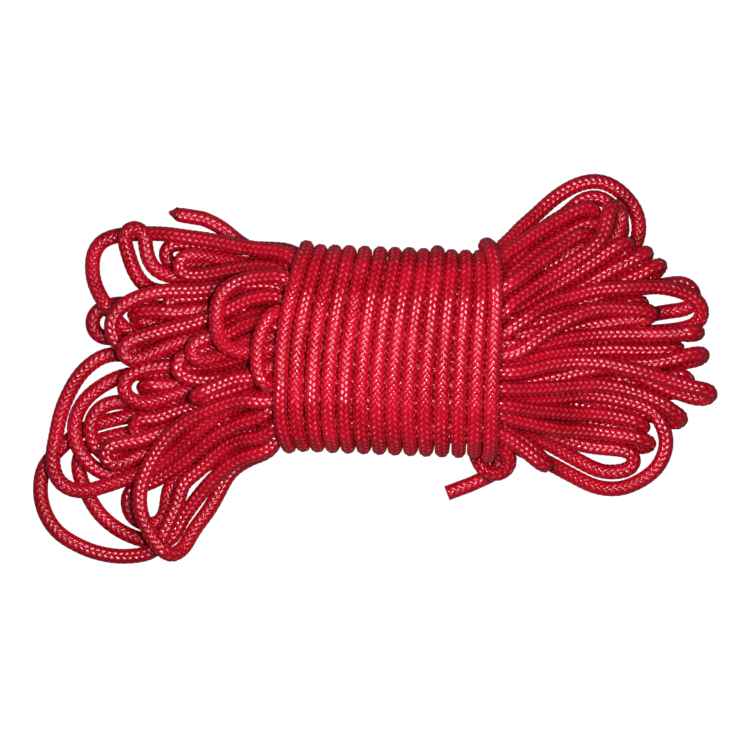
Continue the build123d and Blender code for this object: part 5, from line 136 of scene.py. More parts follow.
# Each length: row and layer of its outgoing leg, row and layer of its returning leg
# (None for a tail), then x,y,z of the centre-line between them, about 2.5 mm apart.
LEFT_LENGTHS = {
    "left_bight_01": (1, 4, 8, 1, """
-33.52,47.76,41.79 -35.74,48.52,41.69 -37.55,50.08,41.38 -39.04,52.08,40.73 -40.48,54.02,39.72
-42.09,55.66,38.49 -43.96,56.94,37.16 -46.05,57.84,35.81 -48.25,58.42,34.43 -50.48,58.84,33.02
-52.72,59.16,31.59 -54.96,59.48,30.19 -57.21,59.81,28.82 -59.47,60.15,27.48 -61.75,60.51,26.19
-64.04,60.9,24.94 -66.35,61.31,23.75 -68.67,61.77,22.6 -71,62.23,21.51 -73.35,62.7,20.46
-75.71,63.16,19.47 -78.09,63.65,18.52 -80.46,64.11,17.62 -82.85,64.56,16.77 -85.25,64.97,15.95
-87.66,65.33,15.16 -90.06,65.67,14.4 -92.47,65.98,13.66 -94.87,66.3,12.95 -97.26,66.64,12.24
-99.62,66.98,11.51 -101.95,67.31,10.71 -104.23,67.59,9.81 -106.47,67.78,8.79 -108.69,67.91,7.7
-110.94,68,6.65 -113.28,68.05,5.79 -115.71,68.06,5.2 -118.2,68.02,4.84 -120.72,67.94,4.56
-123.24,67.8,4.35 -125.76,67.56,4.27 -128.26,67.22,4.41 -130.74,66.72,4.68 -133.15,65.98,5
-135.44,64.95,5.34 -137.5,63.53,5.69 -139.22,61.7,6.06 -140.52,59.53,6.44 -141.37,57.13,6.84
-141.83,54.6,7.26 -141.99,52.03,7.7 -141.92,49.47,8.15 -141.63,46.91,8.63 -141.11,44.41,9.12
-140.37,41.97,9.63 -139.42,39.6,10.14 -138.3,37.33,10.67 -137.04,35.12,11.18 -135.71,32.92,11.55
-134.31,30.77,11.6 -132.86,28.66,11.34 -131.35,26.61,11.02 -129.82,24.59,10.89 -128.2,22.68,10.98
-126.42,20.98,11.21 -124.39,19.61,11.45 -122.14,18.64,11.6 -119.74,17.98,11.65 -117.28,17.57,11.64
-114.8,17.3,11.61 -112.32,17.18,11.59 -109.84,17.2,11.58 -107.36,17.3,11.57 -104.89,17.45,11.56
-102.43,17.61,11.57 -99.98,17.77,11.59 -97.54,17.93,11.65 -95.12,18.14,11.73 -92.7,18.36,11.85
-90.29,18.61,12.01 -87.9,18.88,12.19 -85.51,19.18,12.42 -83.14,19.52,12.68 -80.78,19.89,12.98
-78.42,20.25,13.32 -76.07,20.59,13.71 -73.71,20.91,14.13 -71.36,21.16,14.58 -69.01,21.36,15.07
-66.66,21.54,15.58 -64.32,21.68,16.13 -61.98,21.8,16.7 -59.65,21.89,17.29 -57.31,21.96,17.88
-54.97,21.93,18.43 -52.64,21.66,18.86 -50.36,21.07,19.18 -48.1,20.34,19.47 -45.82,19.7,19.84
-43.48,19.29,20.17 -41.05,19.07,20.33"""),
    "left_bight_02": (4, 1, 3, 2, """
-36.04,35.41,20.31 -38.34,35.88,20.01 -40.34,36.8,19.27 -42.09,37.94,18.17 -43.85,39.01,16.99
-45.79,39.84,15.89 -47.89,40.4,14.92 -50.08,40.74,14.01 -52.3,40.98,13.12 -54.54,41.16,12.25
-56.78,41.3,11.4 -59.04,41.41,10.57 -61.31,41.48,9.78 -63.6,41.53,9.03 -65.9,41.55,8.33
-68.21,41.52,7.68 -70.54,41.41,7.09 -72.89,41.26,6.57 -75.24,41.05,6.11 -77.6,40.83,5.71
-79.97,40.59,5.36 -82.35,40.38,5.05 -84.74,40.16,4.79 -87.12,39.94,4.57 -89.52,39.73,4.4
-91.92,39.52,4.28 -94.32,39.31,4.19 -96.73,39.15,4.15 -99.14,39.02,4.13 -101.56,38.92,4.15
-103.97,38.91,4.2 -106.38,38.98,4.27 -108.76,39.2,4.38 -111.08,39.7,4.53 -113.27,40.56,4.75
-115.24,41.84,5.03 -116.98,43.41,5.4 -118.48,45.2,5.84 -119.75,47.13,6.36 -120.84,49.17,6.93
-121.77,51.28,7.55 -122.57,53.44,8.2 -123.28,55.62,8.88 -123.94,57.8,9.59 -124.56,59.99,10.31
-125.12,62.2,11.03 -125.46,64.47,11.68 -125.29,66.77,12.18 -124.27,68.84,12.51 -122.36,70.25,12.75
-119.98,70.5,12.98 -117.81,69.53,13.17 -116.34,67.69,13.21 -115.59,65.44,12.97 -115.22,63.12,12.51
-114.92,60.77,11.98 -114.53,58.45,11.48 -113.93,56.16,11.04 -113.02,53.95,10.66 -111.76,51.92,10.35
-110.13,50.15,10.1 -108.18,48.73,9.9 -105.98,47.7,9.77 -103.64,46.97,9.68 -101.24,46.41,9.65
-98.81,45.95,9.68 -96.37,45.6,9.78 -93.91,45.41,9.97 -91.45,45.34,10.24 -88.99,45.37,10.57
-86.53,45.41,10.95 -84.08,45.45,11.38 -81.63,45.48,11.86 -79.19,45.48,12.38 -76.76,45.48,12.96
-74.34,45.45,13.58 -71.92,45.41,14.23 -69.5,45.38,14.91 -67.09,45.35,15.62 -64.69,45.34,16.36
-62.29,45.34,17.14 -59.91,45.35,17.96 -57.54,45.38,18.83 -55.18,45.42,19.73 -52.84,45.45,20.66
-50.5,45.42,21.62 -48.21,45.2,22.61 -46.05,44.6,23.61 -44.1,43.56,24.63 -42.3,42.24,25.65
-40.46,40.95,26.57 -38.38,40.01,27.2 -36.04,39.53,27.46"""),
    "left_bight_03": (0, 3, 1, 2, """
-31.02,51.76,34.58 -33.25,52.37,34.17 -35.11,53.55,33.24 -36.7,55.02,31.95 -38.28,56.41,30.55
-40.05,57.62,29.17 -42.04,58.53,27.84 -44.19,59.19,26.51 -46.42,59.59,25.15 -48.68,59.81,23.77
-50.96,59.95,22.39 -53.25,60.06,21.04 -55.56,60.17,19.74 -57.89,60.27,18.49 -60.23,60.37,17.28
-62.59,60.48,16.13 -64.96,60.59,15.02 -67.34,60.7,13.97 -69.73,60.83,12.96 -72.12,60.97,12
-74.52,61.12,11.08 -76.93,61.27,10.2 -79.34,61.45,9.37 -81.77,61.63,8.59 -84.19,61.84,7.86
-86.63,62.06,7.17 -89.07,62.3,6.53 -91.51,62.55,5.92 -93.96,62.77,5.35 -96.42,62.92,4.81
-98.89,62.85,4.35 -101.33,62.37,4.02 -103.44,61.19,3.85 -104.75,59.26,3.81 -104.98,56.91,3.83
-104.07,54.74,3.89 -102.2,53.3,3.98 -99.82,52.66,4.09 -97.33,52.59,4.24 -94.86,52.73,4.41
-92.41,52.88,4.62 -89.96,52.99,4.86 -87.52,53.09,5.15 -85.1,53.15,5.48 -82.68,53.17,5.85
-80.27,53.19,6.28 -77.89,53.17,6.77 -75.52,53.15,7.32 -73.17,53.09,7.93 -70.84,53.05,8.6
-68.54,52.98,9.34 -66.26,52.91,10.16 -64.01,52.85,11.04 -61.78,52.8,11.99 -59.59,52.77,13
-57.41,52.76,14.05 -55.25,52.77,15.12 -53.09,52.84,16.19 -50.95,52.9,17.28 -48.82,52.94,18.41
-46.73,52.91,19.59 -44.7,52.7,20.85 -42.78,52.26,22.17 -40.99,51.48,23.53 -39.34,50.42,24.89
-37.69,49.22,26.13 -35.78,48.23,27.03 -33.53,47.7,27.43"""),
    "left_bight_04": (3, 4, 2, 3, """
-36.05,39.55,41.8 -38.43,40.05,41.77 -40.6,41.16,41.69 -42.48,42.8,41.55 -44.09,44.8,41.27
-45.57,46.78,40.69 -47.17,48.4,39.76 -49.04,49.38,38.55 -51.09,49.91,37.21 -53.2,50.26,35.87
-55.33,50.53,34.53 -57.47,50.73,33.22 -59.63,50.78,31.92 -61.82,50.73,30.65 -64.02,50.56,29.43
-66.25,50.31,28.26 -68.48,50.01,27.13 -70.73,49.65,26.03 -72.98,49.26,24.95 -75.25,48.84,23.92
-77.54,48.42,22.94 -79.85,48.02,22.03 -82.2,47.62,21.18 -84.57,47.27,20.41 -86.98,47.01,19.72
-89.42,46.85,19.11 -91.86,46.88,18.58 -94.24,47.3,18.1 -96.32,48.42,17.62 -97.67,50.3,17.12
-97.92,52.6,16.63 -97.02,54.76,16.2 -95.23,56.27,15.89 -92.97,56.98,15.7 -90.54,57.13,15.62
-88.09,56.98,15.65 -85.65,56.7,15.75 -83.22,56.3,15.94 -80.82,55.84,16.21 -78.43,55.27,16.56
-76.07,54.67,16.99 -73.71,54.12,17.5 -71.35,53.66,18.1 -68.99,53.27,18.79 -66.66,52.95,19.59
-64.34,52.73,20.49 -62.05,52.58,21.47 -59.79,52.47,22.52 -57.54,52.38,23.63 -55.31,52.3,24.78
-53.11,52.23,25.99 -50.91,52.15,27.23 -48.75,51.99,28.51 -46.66,51.66,29.84 -44.78,50.91,31.2
-43.12,49.69,32.48 -41.6,48.09,33.53 -40.01,46.37,34.23 -38.16,44.88,34.56 -35.97,43.95,34.65
-33.56,43.55,34.66"""),
    "left_bight_05": (4, 3, 9, 2, """
-36.07,35.38,34.66 -38.54,35.76,34.63 -40.9,36.6,34.49 -43.08,37.95,34.21 -45.17,39.51,33.84
-47.34,40.85,33.46 -49.66,41.81,33.07 -52.08,42.37,32.65 -54.55,42.59,32.17 -57.02,42.63,31.64
-59.49,42.58,31.08 -61.95,42.47,30.48 -64.38,42.3,29.83 -66.8,42.09,29.13 -69.19,41.84,28.4
-71.57,41.53,27.63 -73.93,41.2,26.85 -76.29,40.84,26.08 -78.65,40.48,25.32 -81.02,40.15,24.6
-83.4,39.83,23.93 -85.8,39.58,23.31 -88.22,39.38,22.75 -90.65,39.26,22.23 -93.08,39.22,21.75
-95.52,39.23,21.31 -97.97,39.24,20.91 -100.43,39.22,20.56 -102.89,39.12,20.26 -105.35,38.92,20.01
-107.81,38.63,19.81 -110.26,38.23,19.65 -112.69,37.66,19.54 -115.1,36.99,19.47 -117.48,36.23,19.43
-119.82,35.34,19.4 -122.09,34.28,19.36 -124.27,33.03,19.3 -126.33,31.61,19.24 -128.22,29.96,19.19
-129.83,28.07,19.13 -131.06,25.95,18.96 -131.85,23.66,18.57 -132.15,21.32,17.96 -131.97,18.98,17.23
-131.34,16.73,16.45 -130.31,14.62,15.66 -128.94,12.71,14.92 -127.21,11.06,14.31 -125.15,9.77,13.87
-122.85,8.87,13.55 -120.41,8.37,13.27 -117.92,8.22,13.04 -115.41,8.34,12.85 -112.9,8.57,12.7
-110.4,8.82,12.59 -107.89,9.04,12.56 -105.39,9.23,12.59 -102.88,9.4,12.7 -100.38,9.57,12.88
-97.89,9.78,13.13 -95.4,10.02,13.41 -92.93,10.29,13.74 -90.46,10.59,14.11 -88.01,10.91,14.52
-85.57,11.29,14.97 -83.15,11.71,15.45 -80.73,12.14,15.95 -78.32,12.57,16.48 -75.92,12.98,17.02
-73.51,13.37,17.59 -71.11,13.7,18.19 -68.71,13.96,18.81 -66.32,14.21,19.46 -63.96,14.43,20.15
-61.62,14.64,20.89 -59.32,14.84,21.7 -57.07,15.01,22.59 -54.86,15.12,23.54 -52.66,15.21,24.55
-50.47,15.29,25.54 -48.24,15.29,26.42 -45.93,15.2,27.05 -43.53,15.04,27.39 -41.06,14.91,27.5"""),
    "left_bight_06": (5, 0, 7, 0, """
-38.54,31.39,13.14 -40.85,31.8,12.73 -42.95,32.52,11.88 -44.96,33.34,10.79 -47.06,33.95,9.75
-49.33,34.28,8.86 -51.69,34.41,8.1 -54.1,34.41,7.45 -56.54,34.34,6.89 -58.99,34.23,6.4
-61.46,34.09,5.97 -63.93,33.91,5.58 -66.41,33.72,5.24 -68.9,33.49,4.95 -71.4,33.24,4.69
-73.89,32.99,4.46 -76.39,32.73,4.27 -78.9,32.47,4.1 -81.41,32.2,3.97 -83.92,31.95,3.87
-86.43,31.7,3.8 -88.95,31.46,3.75 -91.47,31.25,3.72 -93.98,31.05,3.7 -96.5,30.86,3.69
-99.02,30.73,3.68 -101.53,30.64,3.68 -104.04,30.62,3.68 -106.55,30.7,3.68 -109.04,30.91,3.68
-111.52,31.25,3.68 -113.98,31.68,3.68 -116.45,32.12,3.68 -118.92,32.44,3.68 -121.41,32.62,3.68
-123.9,32.7,3.68 -126.39,32.73,3.68 -128.86,32.66,3.68 -131.3,32.38,3.68 -133.7,31.8,3.68
-136.03,30.95,3.68 -138.21,29.8,3.68 -140.04,28.23,3.68 -141.32,26.23,3.68 -141.91,23.91,3.68
-141.77,21.52,3.68 -140.9,19.29,3.68 -139.36,17.46,3.68 -137.31,16.23,3.68 -134.95,15.66,3.68
-132.48,15.56,3.68 -129.97,15.62,3.68 -127.45,15.61,3.68 -124.94,15.49,3.68 -122.42,15.32,3.68
-119.9,15.14,3.68 -117.38,14.96,3.68 -114.86,14.77,3.68 -112.33,14.61,3.68 -109.8,14.46,3.68
-107.27,14.36,3.68 -104.74,14.28,3.68 -102.2,14.24,3.69 -99.66,14.28,3.71 -97.12,14.38,3.74
-94.58,14.55,3.78 -92.05,14.77,3.84 -89.53,15.02,3.91 -87.01,15.29,4 -84.49,15.61,4.11
-81.98,15.93,4.27 -79.49,16.25,4.48 -77,16.57,4.76 -74.52,16.91,5.09 -72.06,17.27,5.46
-69.6,17.64,5.86 -67.16,18.02,6.29 -64.73,18.43,6.76 -62.31,18.86,7.26 -59.9,19.3,7.8
-57.51,19.77,8.37 -55.13,20.23,8.98 -52.76,20.71,9.61 -50.4,21.2,10.28 -48.06,21.7,10.97
-45.72,22.18,11.69 -43.38,22.64,12.4 -41,22.95,12.93 -38.56,23.02,13.17"""),
    "left_bight_07": (5, 4, 7, 4, """
-38.55,31.39,41.8 -40.92,31.86,41.79 -43.14,32.8,41.69 -45.21,34.09,41.43 -47.26,35.37,40.98
-49.42,36.22,40.33 -51.71,36.49,39.56 -54.03,36.38,38.7 -56.31,36.08,37.77 -58.57,35.69,36.8
-60.8,35.2,35.83 -63.01,34.6,34.88 -65.2,33.88,33.96 -67.34,32.99,33.08 -69.44,32,32.23
-71.52,30.91,31.42 -73.6,29.8,30.65 -75.72,28.75,29.91 -77.89,27.79,29.21 -80.1,26.89,28.55
-82.35,26.05,27.93 -84.61,25.23,27.35 -86.9,24.43,26.8 -89.2,23.66,26.29 -91.52,22.95,25.79
-93.86,22.3,25.31 -96.21,21.7,24.84 -98.57,21.14,24.37 -100.93,20.57,23.93 -103.28,19.98,23.54
-105.64,19.36,23.2 -108,18.73,22.92 -110.36,18.09,22.68 -112.72,17.41,22.51 -115.08,16.71,22.39
-117.42,15.96,22.32 -119.73,15.13,22.3 -121.96,14.12,22.32 -123.97,12.71,22.33 -125.4,10.73,22.24
-125.74,8.39,22.03 -124.75,6.24,21.75 -122.76,4.84,21.5 -120.36,4.49,21.32 -117.96,4.96,21.17
-115.64,5.84,21.03 -113.37,6.88,20.91 -111.12,7.96,20.82 -108.87,9.02,20.76 -106.6,10.03,20.71
-104.33,11.01,20.67 -102.04,11.96,20.63 -99.73,12.88,20.61 -97.41,13.73,20.67 -95.05,14.49,20.83
-92.68,15.19,21.09 -90.32,15.87,21.45 -87.98,16.55,21.89 -85.66,17.23,22.41 -83.35,17.89,23.01
-81.08,18.55,23.67 -78.84,19.23,24.41 -76.65,19.95,25.21 -74.52,20.77,26.08 -72.44,21.66,27.01
-70.4,22.59,27.99 -68.39,23.52,29.04 -66.39,24.41,30.17 -64.39,25.21,31.36 -62.39,25.91,32.63
-60.38,26.5,33.95 -58.37,26.98,35.32 -56.34,27.32,36.71 -54.28,27.52,38.1 -52.17,27.43,39.4
-50.02,26.89,40.46 -47.86,25.86,41.17 -45.69,24.7,41.55 -43.42,23.8,41.71 -41.04,23.3,41.77
-38.57,23.07,41.8"""),
    "left_bight_08": (8, 5, 9, 4, """
-41.06,19.09,48.94 -43.48,19.45,48.93 -45.81,20.14,48.85 -48.06,21.07,48.62 -50.27,22.09,48.14
-52.47,23,47.43 -54.62,23.55,46.44 -56.69,23.61,45.2 -58.65,23.34,43.79 -60.58,22.93,42.36
-62.5,22.45,40.95 -64.4,21.84,39.59 -66.29,21.07,38.3 -68.15,20.14,37.1 -70.04,19.11,36.03
-72.02,18.12,35.08 -74.14,17.39,34.27 -76.39,16.93,33.56 -78.72,16.64,32.97 -81.06,16.3,32.48
-83.39,15.76,32.09 -85.65,14.96,31.8 -87.81,13.88,31.61 -89.72,12.38,31.58 -91.03,10.34,31.72
-91.26,7.99,31.99 -90.18,5.89,32.35 -88.12,4.58,32.73 -85.7,4.21,33.13 -83.26,4.53,33.56
-80.9,5.17,34.04 -78.6,5.96,34.59 -76.35,6.87,35.22 -74.15,7.88,35.92 -72.01,9.01,36.68
-69.93,10.21,37.52 -67.88,11.4,38.42 -65.76,12.52,39.3 -63.51,13.47,40.05 -61.14,14.26,40.6
-58.68,14.81,40.97 -56.16,15.15,41.21 -53.62,15.34,41.39 -51.09,15.39,41.54 -48.57,15.36,41.67
-46.06,15.23,41.76 -43.57,15.06,41.8 -41.07,14.93,41.8"""),
    "left_bight_09": (11, 4, 13, 2, """
-41.08,6.67,41.8 -43.62,6.8,41.76 -46.23,6.96,41.6 -48.9,7.09,41.22 -51.58,7.18,40.6
-54.2,7.22,39.74 -56.72,7.2,38.6 -59.07,7.05,37.17 -61.25,6.75,35.54 -63.34,6.29,33.85
-65.39,5.71,32.18 -67.46,5.12,30.57 -69.56,4.55,29.03 -71.68,4,27.54 -73.82,3.46,26.12
-75.99,2.94,24.77 -78.19,2.48,23.5 -80.43,2.08,22.32 -82.71,1.75,21.23 -85.02,1.51,20.24
-87.38,1.36,19.36 -89.77,1.26,18.56 -92.18,1.21,17.82 -94.61,1.16,17.14 -97.06,1.15,16.55
-99.53,1.21,16.06 -102.02,1.28,15.68 -104.51,1.29,15.38 -107.02,1.18,15.16 -109.52,0.93,15.01
-112.01,0.57,14.92 -114.48,0.1,14.88 -116.9,-0.56,14.93 -119.23,-1.47,15.07 -121.41,-2.65,15.31
-123.32,-4.18,15.61 -124.77,-6.08,15.97 -125.56,-8.29,16.36 -125.52,-10.59,16.79 -124.67,-12.73,17.24
-123.15,-14.49,17.67 -121.14,-15.76,18.02 -118.86,-16.55,18.3 -116.46,-16.91,18.51 -114.02,-16.86,18.68
-111.61,-16.46,18.82 -109.25,-15.79,18.93 -106.91,-15.01,19.04 -104.59,-14.2,19.14 -102.26,-13.39,19.24
-99.93,-12.62,19.33 -97.59,-11.88,19.42 -95.23,-11.18,19.51 -92.87,-10.53,19.6 -90.49,-9.96,19.71
-88.09,-9.52,19.85 -85.68,-9.18,20.05 -83.27,-8.93,20.3 -80.86,-8.72,20.62 -78.45,-8.53,20.95
-76.05,-8.29,21.31 -73.66,-8.02,21.69 -71.29,-7.68,22.11 -68.92,-7.32,22.54 -66.57,-6.92,22.99
-64.23,-6.46,23.45 -61.92,-5.92,23.92 -59.64,-5.26,24.43 -57.4,-4.5,24.99 -55.21,-3.65,25.61
-53.01,-2.83,26.25 -50.76,-2.19,26.81 -48.43,-1.75,27.21 -46.02,-1.54,27.42 -43.56,-1.51,27.5"""),
    "left_bight_10": (12, 3, 10, 3, """
-43.56,2.62,34.64 -46.03,2.6,34.58 -48.44,2.42,34.42 -50.81,2.08,34.15 -53.13,1.61,33.73
-55.37,0.95,33.18 -57.56,0.12,32.59 -59.75,-0.83,32.05 -61.99,-1.75,31.57 -64.29,-2.54,31.12
-66.63,-3.17,30.68 -69.01,-3.69,30.24 -71.38,-4.17,29.81 -73.76,-4.62,29.41 -76.15,-5.08,29.05
-78.54,-5.49,28.72 -80.93,-5.82,28.4 -83.33,-6,28.07 -85.72,-6,27.71 -88.1,-5.8,27.34
-90.44,-5.42,26.97 -92.75,-4.86,26.62 -94.98,-4,26.26 -96.92,-2.67,25.84 -98.2,-0.77,25.34
-98.52,1.48,24.78 -97.86,3.65,24.27 -96.37,5.38,23.91 -94.33,6.54,23.74 -92.04,7.32,23.72
-89.69,7.93,23.79 -87.34,8.54,23.93 -84.99,9.13,24.14 -82.66,9.74,24.41 -80.33,10.36,24.73
-78,10.96,25.12 -75.68,11.53,25.56 -73.37,12.03,26.07 -71.04,12.44,26.65 -68.72,12.73,27.27
-66.41,12.95,27.93 -64.1,13.05,28.64 -61.82,13.05,29.41 -59.56,12.94,30.22 -57.32,12.71,31.08
-55.1,12.41,31.96 -52.87,12.11,32.8 -50.61,11.79,33.54 -48.3,11.48,34.12 -45.94,11.21,34.46
-43.52,10.97,34.61 -41.06,10.8,34.65"""),
    "left_bight_11": (12, 5, 13, 4, """
-43.56,2.62,48.95 -46.02,2.54,48.96 -48.4,2.19,48.99 -50.65,1.42,49.03 -52.68,0.2,49.06
-54.5,-1.32,48.97 -56.33,-2.81,48.71 -58.38,-3.85,48.26 -60.63,-4.39,47.7 -62.96,-4.67,47.06
-65.29,-4.88,46.41 -67.63,-5.14,45.77 -69.95,-5.57,45.16 -72.24,-6.21,44.59 -74.5,-7.04,44.07
-76.74,-7.96,43.61 -79,-8.91,43.22 -81.28,-9.87,42.9 -83.57,-10.82,42.59 -85.81,-11.8,42.05
-87.73,-12.79,40.9 -88.9,-13.66,39.01 -88.94,-14.21,36.71 -87.83,-14.32,34.61 -85.92,-14.05,33.24
-83.66,-13.53,32.79 -81.36,-12.9,33.02 -79.11,-12.24,33.54 -76.87,-11.56,34.15 -74.66,-10.88,34.78
-72.44,-10.18,35.43 -70.23,-9.48,36.09 -68.03,-8.79,36.77 -65.84,-8.09,37.49 -63.68,-7.33,38.22
-61.54,-6.46,38.91 -59.45,-5.49,39.53 -57.37,-4.41,40.07 -55.26,-3.38,40.55 -53.07,-2.56,41
-50.78,-2.04,41.36 -48.42,-1.71,41.61 -46.01,-1.52,41.74 -43.56,-1.51,41.79"""),
    "left_loop_12": (4, 5, 10, 5, """
-36.02,35.48,48.99 -38.21,36.23,49.2 -39.92,37.84,49.54 -41.17,40.03,49.78 -42.31,42.3,49.81
-43.75,44.23,49.67 -45.66,45.51,49.32 -47.88,46.02,48.66 -50.2,46.08,47.76 -52.51,45.98,46.79
-54.83,45.84,45.84 -57.16,45.69,44.91 -59.5,45.47,44.04 -61.85,45.15,43.22 -64.18,44.66,42.46
-66.5,44.02,41.78 -68.76,43.16,41.18 -70.94,42.08,40.67 -72.96,40.7,40.25 -74.75,39.03,39.93
-76.23,37.09,39.72 -77.37,34.9,39.61 -78.15,32.55,39.61 -78.65,30.11,39.72 -78.92,27.64,39.93
-79.05,25.16,40.25 -79.04,22.7,40.67 -78.84,20.27,41.2 -78.36,17.91,41.82 -77.55,15.7,42.53
-76.39,13.68,43.32 -74.88,11.93,44.16 -73.03,10.53,44.99 -70.88,9.52,45.68 -68.52,8.89,46.19
-66.04,8.61,46.58 -63.52,8.55,46.92 -61,8.69,47.26 -58.48,8.96,47.62 -55.99,9.32,47.99
-53.51,9.78,48.33 -51.03,10.24,48.61 -48.55,10.64,48.81 -46.06,10.86,48.92 -43.57,10.88,48.95
-41.07,10.79,48.95"""),
    "left_bight_13": (6, 3, 5, 2, """
-38.56,27.23,34.65 -40.98,27.55,34.62 -43.25,28.25,34.46 -45.31,29.36,34.09 -47.18,30.71,33.51
-48.92,32.13,32.71 -50.65,33.41,31.7 -52.48,34.33,30.52 -54.44,34.87,29.28 -56.48,35.22,28.06
-58.54,35.55,26.86 -60.61,35.88,25.68 -62.68,36.22,24.51 -64.77,36.53,23.36 -66.88,36.83,22.24
-69.02,37.05,21.16 -71.19,37.23,20.13 -73.39,37.31,19.16 -75.62,37.35,18.27 -77.88,37.33,17.45
-80.16,37.26,16.7 -82.47,37.13,16.02 -84.79,36.95,15.4 -87.12,36.7,14.85 -89.46,36.45,14.36
-91.81,36.22,13.93 -94.19,36.09,13.56 -96.58,36.05,13.24 -98.99,35.87,12.95 -101.28,35.1,12.64
-103.05,33.48,12.31 -103.77,31.23,12.02 -103.17,28.93,11.85 -101.49,27.25,11.86 -99.21,26.5,11.92
-96.76,26.52,11.94 -94.32,26.93,11.92 -91.89,27.41,11.92 -89.48,27.91,11.94 -87.06,28.39,12.01
-84.66,28.88,12.11 -82.26,29.36,12.26 -79.88,29.84,12.45 -77.5,30.34,12.7 -75.13,30.8,13.01
-72.78,31.27,13.39 -70.44,31.7,13.84 -68.13,32.13,14.37 -65.84,32.58,14.99 -63.58,33.02,15.69
-61.35,33.48,16.49 -59.17,33.92,17.4 -57.02,34.34,18.4 -54.9,34.7,19.48 -52.8,34.97,20.63
-50.73,35.05,21.82 -48.72,34.88,23.08 -46.8,34.38,24.38 -44.92,33.56,25.6 -42.99,32.62,26.58
-40.88,31.82,27.2 -38.54,31.39,27.46"""),
    "left_bight_14": (7, 2, 6, 1, """
-38.56,23.07,27.51 -41.01,23.27,27.51 -43.37,23.73,27.47 -45.57,24.57,27.3 -47.65,25.66,26.93
-49.71,26.7,26.36 -51.85,27.41,25.67 -54.08,27.75,24.95 -56.37,27.86,24.28 -58.68,27.91,23.67
-61.01,28.02,23.13 -63.36,28.2,22.67 -65.71,28.41,22.28 -68.07,28.66,21.94 -70.43,28.91,21.65
-72.8,29.18,21.39 -75.17,29.41,21.16 -77.55,29.59,20.94 -79.93,29.7,20.73 -82.32,29.73,20.53
-84.71,29.64,20.37 -87.09,29.45,20.24 -89.48,29.2,20.14 -91.86,28.93,20.07 -94.24,28.66,20.03
-96.63,28.45,20.02 -99.03,28.3,20.01 -101.42,28.3,19.99 -103.81,28.41,19.86 -106.16,28.59,19.48
-108.46,28.7,18.85 -110.73,28.7,18.08 -113,28.61,17.28 -115.25,28.5,16.43 -117.44,28.41,15.37
-119.33,28.16,13.88 -120.51,27.59,11.95 -120.65,26.62,9.82 -119.79,25.45,7.96 -118.12,24.41,6.71
-115.94,23.68,6.07 -113.53,23.23,5.74 -111.08,22.89,5.5 -108.63,22.66,5.28 -106.16,22.5,5.08
-103.7,22.43,4.89 -101.24,22.41,4.73 -98.78,22.48,4.63 -96.34,22.62,4.64 -93.89,22.8,4.73
-91.45,23.04,4.89 -89.01,23.27,5.07 -86.58,23.55,5.3 -84.14,23.82,5.55 -81.71,24.12,5.84
-79.28,24.43,6.16 -76.85,24.75,6.52 -74.43,25.09,6.92 -72.02,25.43,7.39 -69.62,25.79,7.92
-67.24,26.14,8.52 -64.88,26.52,9.19 -62.54,26.89,9.93 -60.22,27.29,10.74 -57.93,27.7,11.63
-55.68,28.12,12.59 -53.48,28.52,13.65 -51.35,28.8,14.85 -49.34,28.84,16.23 -47.45,28.59,17.69
-45.5,28.14,18.98 -43.36,27.68,19.85 -41.01,27.36,20.24 -38.56,27.2,20.35"""),
